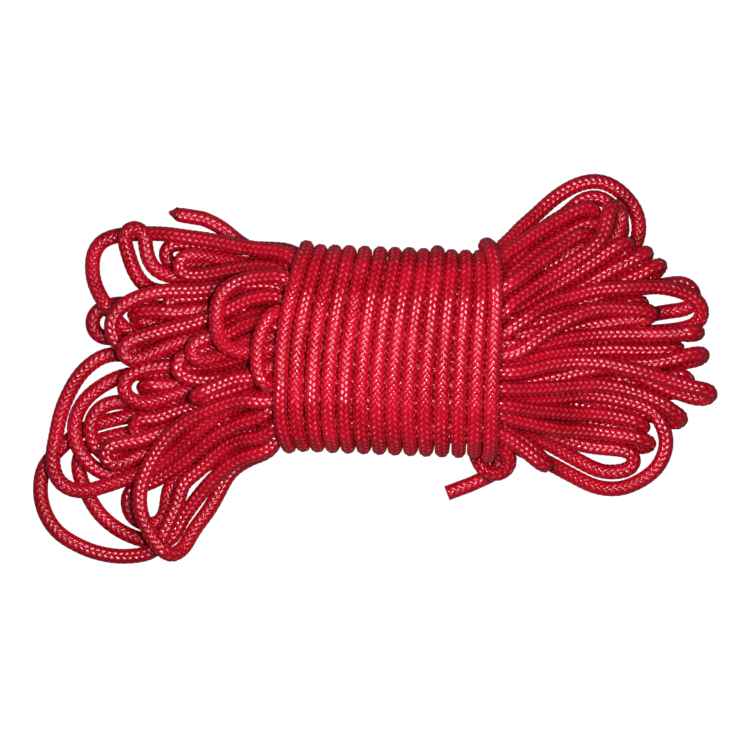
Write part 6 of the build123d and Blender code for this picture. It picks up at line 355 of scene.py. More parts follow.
    "left_bight_15": (10, 1, 15, 4, """
-41.07,10.79,20.33 -43.53,10.93,20.13 -45.92,11.04,19.6 -48.23,11.04,18.75 -50.5,10.96,17.75
-52.77,10.85,16.74 -55.06,10.72,15.76 -57.38,10.61,14.82 -59.72,10.49,13.94 -62.08,10.38,13.1
-64.47,10.29,12.3 -66.88,10.18,11.56 -69.31,10.07,10.85 -71.75,9.94,10.19 -74.19,9.71,9.57
-76.64,9.39,9 -79.07,8.97,8.46 -81.5,8.52,7.97 -83.92,8.04,7.51 -86.36,7.61,7.09
-88.8,7.2,6.71 -91.26,6.84,6.36 -93.72,6.57,6.04 -96.19,6.36,5.73 -98.66,6.21,5.45
-101.14,6.14,5.18 -103.61,6.12,4.95 -106.09,6.12,4.74 -108.56,6.12,4.56 -111.03,6.16,4.41
-113.5,6.21,4.29 -115.97,6.29,4.2 -118.44,6.42,4.13 -120.9,6.61,4.08 -123.35,6.86,4.05
-125.8,7.11,4.04 -128.26,7.29,4.05 -130.71,7.32,4.07 -133.15,7.08,4.11 -135.52,6.5,4.17
-137.8,5.59,4.24 -139.96,4.42,4.33 -142,3.02,4.44 -143.93,1.49,4.57 -145.74,-0.18,4.72
-147.43,-1.99,4.89 -148.98,-3.92,5.08 -150.39,-5.95,5.3 -151.68,-8.05,5.55 -152.87,-10.22,5.82
-153.97,-12.44,6.12 -154.98,-14.69,6.44 -155.93,-16.98,6.79 -156.8,-19.27,7.17 -157.58,-21.61,7.58
-158.25,-23.98,8.04 -158.81,-26.36,8.55 -159.29,-28.75,9.08 -159.74,-31.16,9.64 -160.18,-33.56,10.2
-160.63,-35.97,10.76 -161.08,-38.38,11.26 -161.46,-40.84,11.64 -161.69,-43.34,11.87
-161.73,-45.85,11.97 -161.55,-48.37,12.03 -161.09,-50.84,12.07 -160.29,-53.2,12.12
-159.1,-55.4,12.18 -157.51,-57.31,12.25 -155.57,-58.88,12.33 -153.37,-60.05,12.43 -151,-60.84,12.53
-148.53,-61.23,12.66 -146.03,-61.27,12.8 -143.55,-60.98,12.96 -141.11,-60.47,13.14
-138.71,-59.78,13.34 -136.33,-59.02,13.57 -133.96,-58.27,13.81 -131.58,-57.51,14.02
-129.22,-56.7,14.19 -126.89,-55.84,14.35 -124.59,-54.94,14.54 -122.3,-54.05,14.77
-120.03,-53.2,15.06 -117.79,-52.35,15.4 -115.54,-51.55,15.8 -113.31,-50.73,16.3 -111.14,-49.8,16.93
-109.12,-48.66,17.66 -107.22,-47.27,18.41 -105.39,-45.77,19.18 -103.58,-44.23,19.96
-101.78,-42.7,20.78 -99.99,-41.16,21.63 -98.23,-39.6,22.5 -96.51,-38.02,23.41 -94.8,-36.42,24.33
-93.09,-34.84,25.25 -91.36,-33.27,26.17 -89.6,-31.7,27.05 -87.79,-30.12,27.83 -85.93,-28.59,28.54
-84.02,-27.09,29.23 -82.07,-25.66,29.93 -80.11,-24.27,30.65 -78.11,-22.95,31.42 -76.1,-21.7,32.22
-74.07,-20.54,33.08 -72.02,-19.45,33.97 -69.96,-18.45,34.9 -67.87,-17.57,35.87 -65.75,-16.86,36.87
-63.6,-16.25,37.89 -61.46,-15.65,38.9 -59.33,-14.88,39.82 -57.24,-13.84,40.56 -55.17,-12.61,41.11
-53.03,-11.46,41.47 -50.78,-10.59,41.66 -48.44,-10.04,41.74 -46.03,-9.79,41.78 -43.56,-9.77,41.8"""),
    "left_bight_16": (11, 0, 18, 1, """
-41.04,6.66,13.13 -43.39,6.71,12.67 -45.52,6.61,11.67 -47.5,6.29,10.36 -49.47,5.72,9.15
-51.54,4.93,8.25 -53.72,4.14,7.61 -55.99,3.54,7.1 -58.33,3.12,6.64 -60.7,2.79,6.2
-63.08,2.52,5.81 -65.47,2.23,5.48 -67.88,1.96,5.19 -70.29,1.66,4.94 -72.71,1.35,4.71
-75.14,1.04,4.52 -77.57,0.72,4.34 -80.01,0.41,4.18 -82.45,0.1,4.04 -84.9,-0.23,3.92
-87.36,-0.56,3.81 -89.81,-0.93,3.74 -92.28,-1.26,3.7 -94.76,-1.55,3.69 -97.25,-1.76,3.69
-99.76,-1.91,3.71 -102.28,-1.99,3.74 -104.8,-2.02,3.77 -107.32,-2.06,3.82 -109.85,-2.06,3.87
-112.39,-2.06,3.94 -114.93,-2.08,4.02 -117.46,-2.17,4.16 -119.99,-2.38,4.35 -122.5,-2.71,4.6
-125,-3.21,4.88 -127.45,-3.88,5.17 -129.85,-4.76,5.49 -132.19,-5.8,5.82 -134.47,-6.99,6.18
-136.68,-8.29,6.55 -138.83,-9.7,6.95 -140.9,-11.21,7.37 -142.86,-12.87,7.8 -144.68,-14.69,8.26
-146.31,-16.66,8.73 -147.72,-18.8,9.21 -148.92,-21.07,9.71 -149.87,-23.45,10.21 -150.54,-25.91,10.7
-150.91,-28.43,11.18 -150.98,-31,11.57 -150.77,-33.56,11.8 -150.25,-36.09,11.89 -149.44,-38.55,11.91
-148.39,-40.91,11.88 -147.11,-43.12,11.69 -145.63,-45.17,11.24 -143.98,-47.05,10.6 -142.16,-48.74,9.9
-140.18,-50.27,9.2 -138.04,-51.52,8.53 -135.74,-52.47,7.88 -133.31,-52.98,7.3 -130.78,-53.12,6.81
-128.23,-52.95,6.39 -125.69,-52.6,6.01 -123.15,-52.12,5.65 -120.64,-51.58,5.34 -118.13,-51.01,5.08
-115.62,-50.42,4.87 -113.14,-49.8,4.68 -110.67,-49.1,4.52 -108.22,-48.34,4.38 -105.79,-47.55,4.26
-103.38,-46.7,4.16 -100.97,-45.88,4.08 -98.55,-45.06,4.01 -96.12,-44.3,3.97 -93.68,-43.56,3.96
-91.24,-42.88,4 -88.8,-42.23,4.09 -86.35,-41.6,4.25 -83.92,-40.99,4.48 -81.5,-40.41,4.78
-79.09,-39.8,5.16 -76.7,-39.2,5.6 -74.33,-38.59,6.1 -71.97,-37.98,6.65 -69.62,-37.4,7.25
-67.28,-36.83,7.9 -64.96,-36.24,8.59 -62.66,-35.63,9.33 -60.4,-34.98,10.11 -58.17,-34.27,10.93
-56,-33.42,11.79 -53.95,-32.41,12.7 -52.12,-31.14,13.67 -50.63,-29.59,14.73 -49.5,-27.84,15.93
-48.53,-25.95,17.28 -47.35,-24.14,18.67 -45.68,-22.8,19.76 -43.51,-22.25,20.27"""),
    "left_bight_17": (14, 1, 16, 1, """
-43.56,-5.63,20.35 -46.01,-5.68,20.23 -48.37,-5.97,19.88 -50.61,-6.58,19.28 -52.76,-7.41,18.56
-54.93,-8.27,17.9 -57.16,-9.01,17.34 -59.46,-9.62,16.87 -61.78,-10.12,16.4 -64.11,-10.54,15.94
-66.46,-10.91,15.47 -68.81,-11.26,15.02 -71.17,-11.57,14.59 -73.53,-11.91,14.18 -75.89,-12.29,13.8
-78.26,-12.68,13.45 -80.62,-13.09,13.12 -82.99,-13.52,12.82 -85.35,-13.96,12.55 -87.72,-14.4,12.3
-90.09,-14.87,12.08 -92.47,-15.29,11.87 -94.85,-15.65,11.68 -97.24,-15.96,11.51 -99.64,-16.2,11.35
-102.03,-16.38,11.19 -104.43,-16.54,11.03 -106.83,-16.68,10.87 -109.23,-16.82,10.71
-111.63,-17,10.55 -114.03,-17.16,10.39 -116.43,-17.27,10.23 -118.82,-17.2,10.04 -121.22,-17.04,9.87
-123.61,-16.86,9.78 -126.01,-16.75,9.82 -128.41,-16.75,9.94 -130.79,-16.95,10.09 -133.12,-17.43,10.28
-135.33,-18.27,10.5 -137.35,-19.5,10.74 -139.12,-21.07,10.99 -140.59,-22.91,11.26 -141.69,-25,11.53
-142.39,-27.25,11.75 -142.68,-29.61,11.88 -142.57,-31.98,11.92 -142.09,-34.31,11.9
-141.26,-36.55,11.8 -140.14,-38.62,11.46 -138.76,-40.45,10.87 -137.11,-42.02,10.16
-135.19,-43.23,9.5 -133.03,-44.02,8.91 -130.74,-44.41,8.37 -128.4,-44.44,7.86 -126.06,-44.22,7.4
-123.71,-43.84,6.98 -121.38,-43.37,6.62 -119.05,-42.84,6.3 -116.72,-42.28,6.02 -114.4,-41.66,5.79
-112.09,-40.99,5.58 -109.8,-40.27,5.41 -107.53,-39.49,5.28 -105.26,-38.7,5.18 -102.98,-37.9,5.13
-100.7,-37.12,5.11 -98.4,-36.4,5.15 -96.09,-35.73,5.22 -93.76,-35.09,5.35 -91.43,-34.48,5.51
-89.09,-33.91,5.72 -86.75,-33.34,5.98 -84.42,-32.77,6.27 -82.1,-32.2,6.61 -79.78,-31.61,6.99
-77.48,-31.02,7.41 -75.18,-30.39,7.88 -72.9,-29.77,8.39 -70.65,-29.11,8.97 -68.42,-28.43,9.61
-66.24,-27.66,10.3 -64.09,-26.84,11.06 -62,-25.91,11.86 -59.96,-24.86,12.71 -58.03,-23.66,13.58
-56.29,-22.2,14.46 -54.78,-20.52,15.38 -53.39,-18.75,16.39 -51.94,-17.05,17.45 -50.25,-15.61,18.49
-48.26,-14.56,19.41 -45.99,-14.04,20.04 -43.56,-13.9,20.32"""),
    "left_bight_19": (16, 3, 17, 2, """
-43.56,-13.89,34.65 -46.01,-13.94,34.61 -48.38,-14.21,34.49 -50.67,-14.79,34.21 -52.82,-15.63,33.72
-54.8,-16.75,33.04 -56.55,-18.11,32.22 -58.02,-19.7,31.29 -59.29,-21.41,30.25 -60.61,-22.96,29.11
-62.24,-24.09,27.92 -64.15,-24.77,26.74 -66.21,-25.2,25.63 -68.34,-25.5,24.63 -70.52,-25.77,23.72
-72.75,-26,22.93 -75.02,-26.23,22.25 -77.32,-26.45,21.67 -79.64,-26.66,21.19 -81.98,-26.86,20.8
-84.34,-27.05,20.47 -86.7,-27.25,20.23 -89.07,-27.45,20.11 -91.44,-27.68,20.09 -93.81,-28.02,20.15
-96.15,-28.48,20.22 -98.46,-29.09,20.26 -100.73,-29.82,20.27 -103,-30.57,20.26 -105.28,-31.32,20.22
-107.56,-32.05,20.17 -109.83,-32.8,20.11 -112.08,-33.63,20.06 -114.33,-34.47,20.03 -116.61,-35.2,20
-118.94,-35.74,19.94 -121.3,-36.16,19.82 -123.67,-36.52,19.67 -126.04,-36.88,19.53
-128.39,-37.34,19.39 -130.7,-37.95,19.26 -132.82,-38.98,19.05 -134.44,-40.62,18.7
-135.18,-42.83,18.18 -134.73,-45.06,17.53 -133.17,-46.73,16.86 -130.97,-47.49,16.3
-128.59,-47.38,15.87 -126.25,-46.73,15.54 -123.97,-45.9,15.23 -121.71,-44.99,14.94
-119.47,-44.08,14.65 -117.23,-43.19,14.38 -114.97,-42.38,14.14 -112.69,-41.63,13.92
-110.4,-40.91,13.74 -108.12,-40.17,13.59 -105.85,-39.37,13.48 -103.61,-38.51,13.42
-101.39,-37.58,13.39 -99.2,-36.6,13.41 -96.99,-35.65,13.47 -94.75,-34.8,13.58 -92.45,-34.16,13.74
-90.11,-33.72,13.95 -87.75,-33.41,14.21 -85.38,-33.2,14.5 -83.01,-33.02,14.81 -80.65,-32.83,15.15
-78.28,-32.65,15.5 -75.92,-32.47,15.87 -73.57,-32.28,16.26 -71.22,-32.1,16.67 -68.87,-31.91,17.1
-66.53,-31.7,17.53 -64.19,-31.41,17.95 -61.88,-30.98,18.39 -59.68,-30.32,18.97 -57.75,-29.32,19.79
-56.31,-27.89,20.89 -55.28,-26.16,22.13 -54.36,-24.32,23.36 -53.31,-22.55,24.55 -52,-20.91,25.66
-50.34,-19.55,26.57 -48.31,-18.59,27.15 -46,-18.11,27.43 -43.56,-18.02,27.5"""),
    "left_bight_20": (14, 3, 15, 2, """
-43.56,-5.63,34.65 -46.01,-5.67,34.58 -48.4,-5.88,34.39 -50.72,-6.29,34.02 -52.95,-6.92,33.47
-55.1,-7.75,32.83 -57.17,-8.71,32.15 -59.18,-9.77,31.37 -61.16,-10.84,30.53 -63.15,-11.85,29.65
-65.2,-12.73,28.78 -67.3,-13.53,27.93 -69.43,-14.22,27.08 -71.59,-14.86,26.24 -73.78,-15.41,25.41
-75.98,-15.89,24.6 -78.21,-16.3,23.8 -80.46,-16.64,23.03 -82.73,-16.98,22.31 -85.01,-17.3,21.63
-87.29,-17.7,20.99 -89.56,-18.18,20.39 -91.82,-18.75,19.81 -94.08,-19.39,19.27 -96.32,-20.05,18.75
-98.57,-20.75,18.26 -100.81,-21.52,17.82 -103.02,-22.36,17.44 -105.24,-23.23,17.09
-107.48,-24.02,16.77 -109.78,-24.59,16.46 -112.14,-24.89,16.17 -114.53,-25,15.85 -116.89,-25.34,15.42
-118.98,-26.34,14.79 -120.29,-28.14,13.98 -120.35,-30.39,13.14 -119.12,-32.35,12.43
-117.03,-33.42,11.99 -114.61,-33.52,11.8 -112.17,-33.01,11.76 -109.79,-32.22,11.76
-107.44,-31.32,11.79 -105.14,-30.34,11.83 -102.87,-29.29,11.91 -100.63,-28.18,12.01
-98.4,-27.07,12.13 -96.18,-25.98,12.27 -93.93,-24.95,12.45 -91.66,-24.04,12.67 -89.35,-23.27,12.96
-87.02,-22.64,13.35 -84.68,-22.12,13.82 -82.35,-21.66,14.35 -80.03,-21.2,14.92 -77.73,-20.75,15.55
-75.44,-20.32,16.21 -73.18,-19.88,16.92 -70.93,-19.41,17.68 -68.71,-18.93,18.49 -66.52,-18.39,19.33
-64.36,-17.8,20.21 -62.24,-17.11,21.13 -60.2,-16.27,22.08 -58.28,-15.2,23.04 -56.49,-13.93,24
-54.68,-12.64,24.92 -52.73,-11.54,25.75 -50.62,-10.7,26.49 -48.38,-10.12,27.06 -46.02,-9.81,27.39
-43.56,-9.77,27.5"""),
    "left_bight_21": (16, 5, 19, 2, """
-43.55,-13.94,48.96 -45.97,-14.18,49.04 -48.3,-14.79,49.17 -50.63,-15.54,49.23 -53.03,-16.14,49.13
-55.51,-16.39,48.88 -58.02,-16.29,48.51 -60.52,-15.98,47.97 -62.95,-15.73,47.2 -65.31,-15.7,46.22
-67.63,-15.9,45.13 -69.92,-16.32,44.02 -72.19,-16.86,42.91 -74.44,-17.54,41.82 -76.66,-18.3,40.75
-78.87,-19.12,39.69 -81.06,-20.02,38.64 -83.24,-20.93,37.61 -85.41,-21.89,36.59 -87.58,-22.84,35.58
-89.75,-23.82,34.6 -91.88,-24.89,33.65 -93.97,-26.07,32.74 -95.97,-27.41,31.87 -97.9,-28.88,31.04
-99.74,-30.45,30.25 -101.52,-32.12,29.5 -103.23,-33.88,28.8 -104.86,-35.7,28.13 -106.4,-37.62,27.5
-107.86,-39.62,26.91 -109.24,-41.66,26.37 -110.56,-43.76,25.86 -111.81,-45.91,25.39
-112.97,-48.1,24.96 -114.03,-50.34,24.53 -115,-52.62,24.05 -115.87,-54.91,23.52 -116.64,-57.22,22.98
-117.26,-59.56,22.48 -117.65,-61.97,22.02 -117.83,-64.41,21.62 -117.82,-66.84,21.26
-117.61,-69.3,20.96 -117.16,-71.69,20.71 -116.49,-74.06,20.51 -115.62,-76.36,20.34
-114.62,-78.58,20.22 -113.51,-80.77,20.13 -112.32,-82.91,20.08 -111.05,-84.97,20.04 -109.7,-86.97,20
-108.25,-88.88,19.82 -106.71,-90.59,19.33 -105.06,-91.97,18.42 -103.33,-92.81,17.13 -101.59,-93,15.6
-99.92,-92.62,14.01 -98.29,-91.73,12.57 -96.73,-90.41,11.43 -95.32,-88.7,10.59 -94.08,-86.75,9.95
-92.94,-84.7,9.4 -91.78,-82.64,8.91 -90.53,-80.61,8.47 -89.18,-78.64,8.07 -87.75,-76.72,7.71
-86.29,-74.81,7.4 -84.86,-72.88,7.14 -83.49,-70.89,6.94 -82.2,-68.86,6.81 -80.99,-66.77,6.74
-79.84,-64.64,6.73 -78.71,-62.49,6.79 -77.6,-60.35,6.92 -76.49,-58.22,7.11 -75.34,-56.1,7.38
-74.07,-54.09,7.71 -72.61,-52.24,8.12 -70.95,-50.59,8.6 -69.13,-49.12,9.16 -67.21,-47.8,9.79
-65.24,-46.63,10.49 -63.22,-45.59,11.28 -61.17,-44.67,12.14 -59.11,-43.87,13.07 -57.08,-43.05,14.07
-55.15,-42.12,15.14 -53.43,-40.95,16.29 -52.01,-39.49,17.52 -50.9,-37.83,18.82 -50.03,-36.05,20.15
-49.33,-34.2,21.51 -48.79,-32.28,22.88 -48.21,-30.3,24.33 -47.25,-28.38,25.78 -45.66,-26.96,26.9
-43.51,-26.38,27.41"""),
    "left_bight_22": (17, 4, 18, 3, """
-43.57,-18.02,41.8 -46.03,-18.11,41.78 -48.41,-18.59,41.76 -50.63,-19.57,41.66 -52.7,-20.91,41.36
-54.71,-22.32,40.74 -56.75,-23.55,39.81 -58.89,-24.5,38.7 -61.12,-25.25,37.55 -63.37,-25.89,36.35
-65.57,-26.57,35.1 -67.72,-27.38,33.8 -69.82,-28.29,32.51 -71.91,-29.29,31.23 -73.97,-30.32,29.97
-76.01,-31.43,28.72 -78.01,-32.59,27.47 -79.95,-33.84,26.22 -81.85,-35.15,24.97 -83.71,-36.49,23.72
-85.55,-37.88,22.5 -87.35,-39.33,21.29 -89.14,-40.78,20.11 -90.92,-42.27,18.96 -92.7,-43.77,17.84
-94.51,-45.24,16.76 -96.36,-46.7,15.72 -98.26,-48.09,14.72 -100.2,-49.47,13.76 -102.15,-50.84,12.85
-104.12,-52.2,12.02 -106.15,-53.55,11.27 -108.23,-54.81,10.6 -110.38,-55.98,9.97 -112.6,-56.98,9.4
-114.89,-57.84,8.86 -117.2,-58.62,8.37 -119.45,-59.51,7.89 -121.45,-60.7,7.41 -122.96,-62.41,6.95
-123.85,-64.52,6.53 -124.14,-66.83,6.15 -123.93,-69.17,5.82 -123.27,-71.44,5.54 -122.19,-73.53,5.31
-120.67,-75.31,5.11 -118.74,-76.67,4.96 -116.53,-77.59,4.82 -114.18,-78.08,4.69 -111.82,-78.06,4.55
-109.61,-77.36,4.43 -107.75,-76,4.34 -106.37,-74.11,4.29 -105.47,-71.92,4.26 -104.92,-69.61,4.28
-104.58,-67.22,4.33 -104.31,-64.84,4.43 -103.9,-62.49,4.56 -103.18,-60.24,4.75 -102.04,-58.17,4.98
-100.55,-56.34,5.26 -98.79,-54.77,5.59 -96.86,-53.41,5.98 -94.8,-52.27,6.42 -92.66,-51.27,6.91
-90.49,-50.38,7.43 -88.32,-49.52,7.99 -86.15,-48.66,8.58 -83.99,-47.78,9.22 -81.87,-46.9,9.92
-79.77,-45.99,10.7 -77.7,-45.1,11.54 -75.66,-44.23,12.46 -73.63,-43.35,13.44 -71.62,-42.52,14.48
-69.62,-41.74,15.57 -67.62,-41.03,16.72 -65.63,-40.38,17.92 -63.67,-39.73,19.17 -61.76,-39.06,20.47
-59.95,-38.26,21.84 -58.35,-37.22,23.27 -57.09,-35.88,24.77 -56.2,-34.27,26.3 -55.55,-32.51,27.82
-54.92,-30.66,29.27 -54.16,-28.8,30.6 -53.19,-26.95,31.8 -51.97,-25.2,32.86 -50.36,-23.73,33.73
-48.33,-22.73,34.31 -46.01,-22.25,34.58 -43.56,-22.14,34.65"""),
    "left_bight_23": (19, 4, 13, 0, """
-43.54,-26.34,41.83 -45.88,-26.77,41.94 -47.98,-27.8,41.97 -49.86,-29.2,41.62 -51.61,-30.59,40.81
-53.33,-31.84,39.67 -55.09,-32.92,38.35 -56.96,-33.74,36.93 -58.92,-34.3,35.44 -60.88,-34.66,33.85
-62.82,-34.95,32.21 -64.74,-35.26,30.56 -66.66,-35.67,28.96 -68.58,-36.23,27.4 -70.47,-36.97,25.9
-72.35,-37.88,24.5 -74.2,-38.99,23.2 -76.02,-40.24,22 -77.83,-41.62,20.92 -79.61,-43.09,19.95
-81.37,-44.62,19.08 -83.13,-46.2,18.29 -84.87,-47.83,17.57 -86.63,-49.45,16.91 -88.43,-51.05,16.28
-90.29,-52.6,15.72 -92.18,-54.12,15.22 -94,-55.7,14.77 -95.58,-57.49,14.38 -96.77,-59.55,14.04
-97.57,-61.8,13.75 -98.17,-64.17,13.52 -98.79,-66.53,13.32 -99.57,-68.88,13.17 -100.48,-71.17,13.02
-101.48,-73.44,12.86 -102.51,-75.69,12.68 -103.56,-77.94,12.52 -104.61,-80.17,12.36
-105.63,-82.42,12.22 -106.65,-84.67,12.09 -107.73,-86.84,11.91 -109,-88.86,11.6 -110.58,-90.56,11.13
-112.51,-91.84,10.58 -114.69,-92.75,10.03 -117,-93.36,9.5 -119.37,-93.78,8.99 -121.78,-94.06,8.51
-124.21,-94.22,8.04 -126.65,-94.28,7.61 -129.09,-94.2,7.19 -131.53,-94,6.81 -133.97,-93.67,6.45
-136.39,-93.2,6.12 -138.79,-92.66,5.82 -141.17,-92,5.54 -143.52,-91.22,5.29 -145.82,-90.31,5.07
-148.09,-89.3,4.87 -150.31,-88.19,4.69 -152.5,-87.02,4.54 -154.64,-85.75,4.4 -156.7,-84.36,4.28
-158.63,-82.81,4.18 -160.41,-81.09,4.09 -162.02,-79.2,4.02 -163.45,-77.19,3.96 -164.69,-75.03,3.9
-165.76,-72.8,3.86 -166.66,-70.47,3.82 -167.36,-68.09,3.79 -167.87,-65.67,3.77 -168.18,-63.2,3.75
-168.29,-60.73,3.73 -168.22,-58.23,3.72 -167.98,-55.77,3.71 -167.52,-53.33,3.7 -166.78,-50.97,3.7
-165.73,-48.73,3.69 -164.4,-46.65,3.69 -162.86,-44.7,3.68 -161.19,-42.85,3.68 -159.45,-41.06,3.68
-157.67,-39.3,3.68 -155.87,-37.58,3.68 -154,-35.91,3.68 -152.05,-34.35,3.68 -150.03,-32.9,3.68
-147.96,-31.54,3.68 -145.82,-30.3,3.68 -143.6,-29.2,3.68 -141.31,-28.27,3.68 -138.97,-27.5,3.68
-136.6,-26.8,3.68 -134.22,-26.16,3.68 -131.82,-25.59,3.68 -129.42,-25.05,3.68 -127.02,-24.54,3.68
-124.61,-24.05,3.68 -122.2,-23.59,3.68 -119.8,-23.14,3.68 -117.39,-22.7,3.68 -114.98,-22.27,3.68
-112.58,-21.84,3.68 -110.19,-21.41,3.68 -107.79,-20.98,3.68 -105.41,-20.55,3.68 -103.03,-20.11,3.68
-100.66,-19.64,3.68 -98.29,-19.18,3.68 -95.93,-18.68,3.68 -93.57,-18.2,3.68 -91.21,-17.7,3.68
-88.85,-17.23,3.69 -86.49,-16.77,3.7 -84.12,-16.32,3.73 -81.75,-15.91,3.77 -79.37,-15.53,3.83
-76.99,-15.18,3.89 -74.61,-14.86,3.97 -72.22,-14.56,4.06 -69.83,-14.29,4.17 -67.45,-14.04,4.29
-65.06,-13.79,4.42 -62.68,-13.53,4.57 -60.3,-13.19,4.74 -57.99,-12.65,4.92 -55.85,-11.71,5.15
-54.06,-10.27,5.5 -52.65,-8.45,6.07 -51.47,-6.54,6.95 -50.33,-4.76,8.14 -49.12,-3.25,9.61
-47.66,-2.17,11.2 -45.79,-1.65,12.49 -43.53,-1.52,13.1"""),
    "left_bight_24": (20, 3, 15, 0, """
-43.51,-30.52,34.61 -45.7,-31.2,34.36 -47.46,-32.77,33.83 -48.93,-34.84,33.18 -50.4,-36.88,32.55
-52.09,-38.73,31.97 -54.04,-40.27,31.38 -56.22,-41.45,30.68 -58.49,-42.28,29.78 -60.75,-42.97,28.67
-62.92,-43.62,27.42 -65.02,-44.31,26.08 -67.07,-45.12,24.73 -69.05,-46.05,23.39 -70.97,-47.15,22.09
-72.81,-48.38,20.81 -74.59,-49.74,19.57 -76.33,-51.19,18.37 -78.04,-52.67,17.21 -79.72,-54.2,16.09
-81.36,-55.8,15.01 -82.94,-57.45,13.97 -84.47,-59.19,12.97 -85.98,-60.95,12.01 -87.48,-62.76,11.1
-88.95,-64.58,10.24 -90.39,-66.47,9.41 -91.81,-68.38,8.63 -93.23,-70.28,7.89 -94.65,-72.22,7.22
-95.99,-74.22,6.63 -97.2,-76.3,6.13 -98.29,-78.44,5.68 -99.36,-80.61,5.26 -100.54,-82.72,4.87
-102.01,-84.56,4.51 -103.88,-85.95,4.18 -106.1,-86.78,3.91 -108.52,-87.09,3.75 -110.97,-87.06,3.69
-113.41,-86.78,3.68 -115.82,-86.33,3.68 -118.2,-85.7,3.68 -120.54,-84.92,3.68 -122.85,-84.03,3.68
-125.12,-83.03,3.68 -127.33,-81.89,3.68 -129.46,-80.61,3.68 -131.52,-79.2,3.68 -133.5,-77.69,3.68
-135.39,-76.05,3.68 -137.18,-74.3,3.68 -138.83,-72.42,3.68 -140.34,-70.42,3.68 -141.71,-68.33,3.68
-142.97,-66.16,3.68 -144.15,-63.95,3.68 -145.26,-61.72,3.68 -146.29,-59.45,3.68 -147.23,-57.16,3.68
-148.03,-54.84,3.68 -148.66,-52.45,3.68 -149.05,-50.03,3.68 -149.1,-47.6,3.68 -148.68,-45.23,3.68
-147.73,-43.01,3.68 -146.3,-41.03,3.68 -144.52,-39.35,3.68 -142.49,-37.95,3.68 -140.28,-36.81,3.68
-137.97,-35.88,3.68 -135.6,-35.09,3.68 -133.2,-34.41,3.68 -130.77,-33.81,3.68 -128.34,-33.27,3.68
-125.89,-32.77,3.68 -123.44,-32.27,3.68 -120.99,-31.8,3.68 -118.54,-31.34,3.68 -116.08,-30.89,3.68
-113.63,-30.45,3.68 -111.17,-30.02,3.68 -108.72,-29.59,3.68 -106.27,-29.14,3.68 -103.82,-28.7,3.68
-101.38,-28.23,3.68 -98.94,-27.77,3.68 -96.5,-27.27,3.68 -94.07,-26.77,3.68 -91.63,-26.27,3.68
-89.2,-25.75,3.68 -86.77,-25.27,3.68 -84.33,-24.79,3.68 -81.9,-24.32,3.68 -79.45,-23.89,3.68
-77,-23.5,3.69 -74.55,-23.16,3.71 -72.09,-22.86,3.75 -69.62,-22.64,3.83 -67.15,-22.48,3.96
-64.69,-22.36,4.15 -62.23,-22.3,4.43 -59.79,-22.29,4.82 -57.39,-22.25,5.35 -55.07,-22.07,6.04
-52.95,-21.43,6.85 -51.23,-20.18,7.74 -50,-18.39,8.66 -49.13,-16.34,9.6 -48.34,-14.14,10.62
-47.27,-12.04,11.72 -45.66,-10.52,12.66 -43.51,-9.88,13.12"""),
    "left_bight_25": (11, 2, 12, 1, """
-41.06,6.67,27.51 -43.52,6.76,27.5 -45.93,6.79,27.44 -48.3,6.67,27.26 -50.62,6.36,26.87
-52.83,5.86,26.2 -54.91,5.17,25.27 -56.82,4.33,24.13 -58.66,3.42,22.9 -60.5,2.48,21.68
-62.4,1.6,20.52 -64.35,0.76,19.41 -66.36,-0.04,18.38 -68.42,-0.82,17.44 -70.54,-1.55,16.59
-72.71,-2.23,15.84 -74.94,-2.81,15.19 -77.21,-3.31,14.62 -79.52,-3.69,14.12 -81.86,-3.96,13.68
-84.22,-4.14,13.29 -86.59,-4.34,12.96 -88.95,-4.67,12.7 -91.28,-5.17,12.54 -93.58,-5.84,12.48
-95.87,-6.57,12.49 -98.19,-7.21,12.54 -100.53,-7.71,12.62 -102.91,-8.05,12.73 -105.3,-8.21,12.86
-107.7,-8.16,12.97 -110.11,-8.03,12.98 -112.48,-7.96,12.6 -114.56,-8.2,11.49 -115.92,-8.81,9.64
-116.11,-9.71,7.45 -115.03,-10.62,5.54 -113.02,-11.27,4.33 -110.61,-11.55,3.86 -108.14,-11.62,3.83
-105.7,-11.53,3.94 -103.28,-11.35,4.09 -100.87,-11.05,4.24 -98.48,-10.69,4.41 -96.11,-10.27,4.6
-93.75,-9.85,4.82 -91.39,-9.44,5.05 -89.02,-9.04,5.31 -86.66,-8.64,5.57 -84.3,-8.28,5.85
-81.94,-7.91,6.16 -79.59,-7.54,6.5 -77.25,-7.14,6.91 -74.93,-6.72,7.4 -72.65,-6.25,7.99
-70.4,-5.75,8.66 -68.18,-5.17,9.39 -65.99,-4.57,10.17 -63.82,-3.9,10.98 -61.68,-3.21,11.83
-59.58,-2.44,12.71 -57.57,-1.59,13.69 -55.73,-0.62,14.85 -54.06,0.41,16.21 -52.37,1.35,17.62
-50.5,2.08,18.86 -48.36,2.52,19.75 -46.02,2.65,20.2 -43.56,2.62,20.35"""),
    "tail_1": (2, 1, None, None, """
-33.51,43.6,20.25 -35.64,44.27,19.69 -37.2,45.66,18.49 -38.23,47.55,16.94 -39.07,49.56,15.47
-40.17,51.45,14.2 -41.69,53.05,13.08 -43.59,54.24,12.04 -45.72,55.12,11.06 -47.95,55.8,10.14
-50.24,56.4,9.3 -52.56,57.01,8.54 -54.89,57.66,7.88 -57.22,58.37,7.31 -59.53,59.19,6.8
-61.8,60.12,6.35 -64.02,61.19,5.93 -66.15,62.41,5.55 -68.2,63.78,5.22 -70.16,65.28,4.95
-72.05,66.83,4.71 -73.94,68.42,4.51 -75.88,69.92,4.34 -77.89,71.33,4.2 -80.01,72.61,4.09
-82.21,73.75,4 -84.48,74.77,3.92 -86.82,75.66,3.86 -89.28,76.06,3.82 -91.75,76.45,3.79
-94.22,76.86,3.75 -96.69,77.25,3.72 -99.15,77.66,3.68"""),
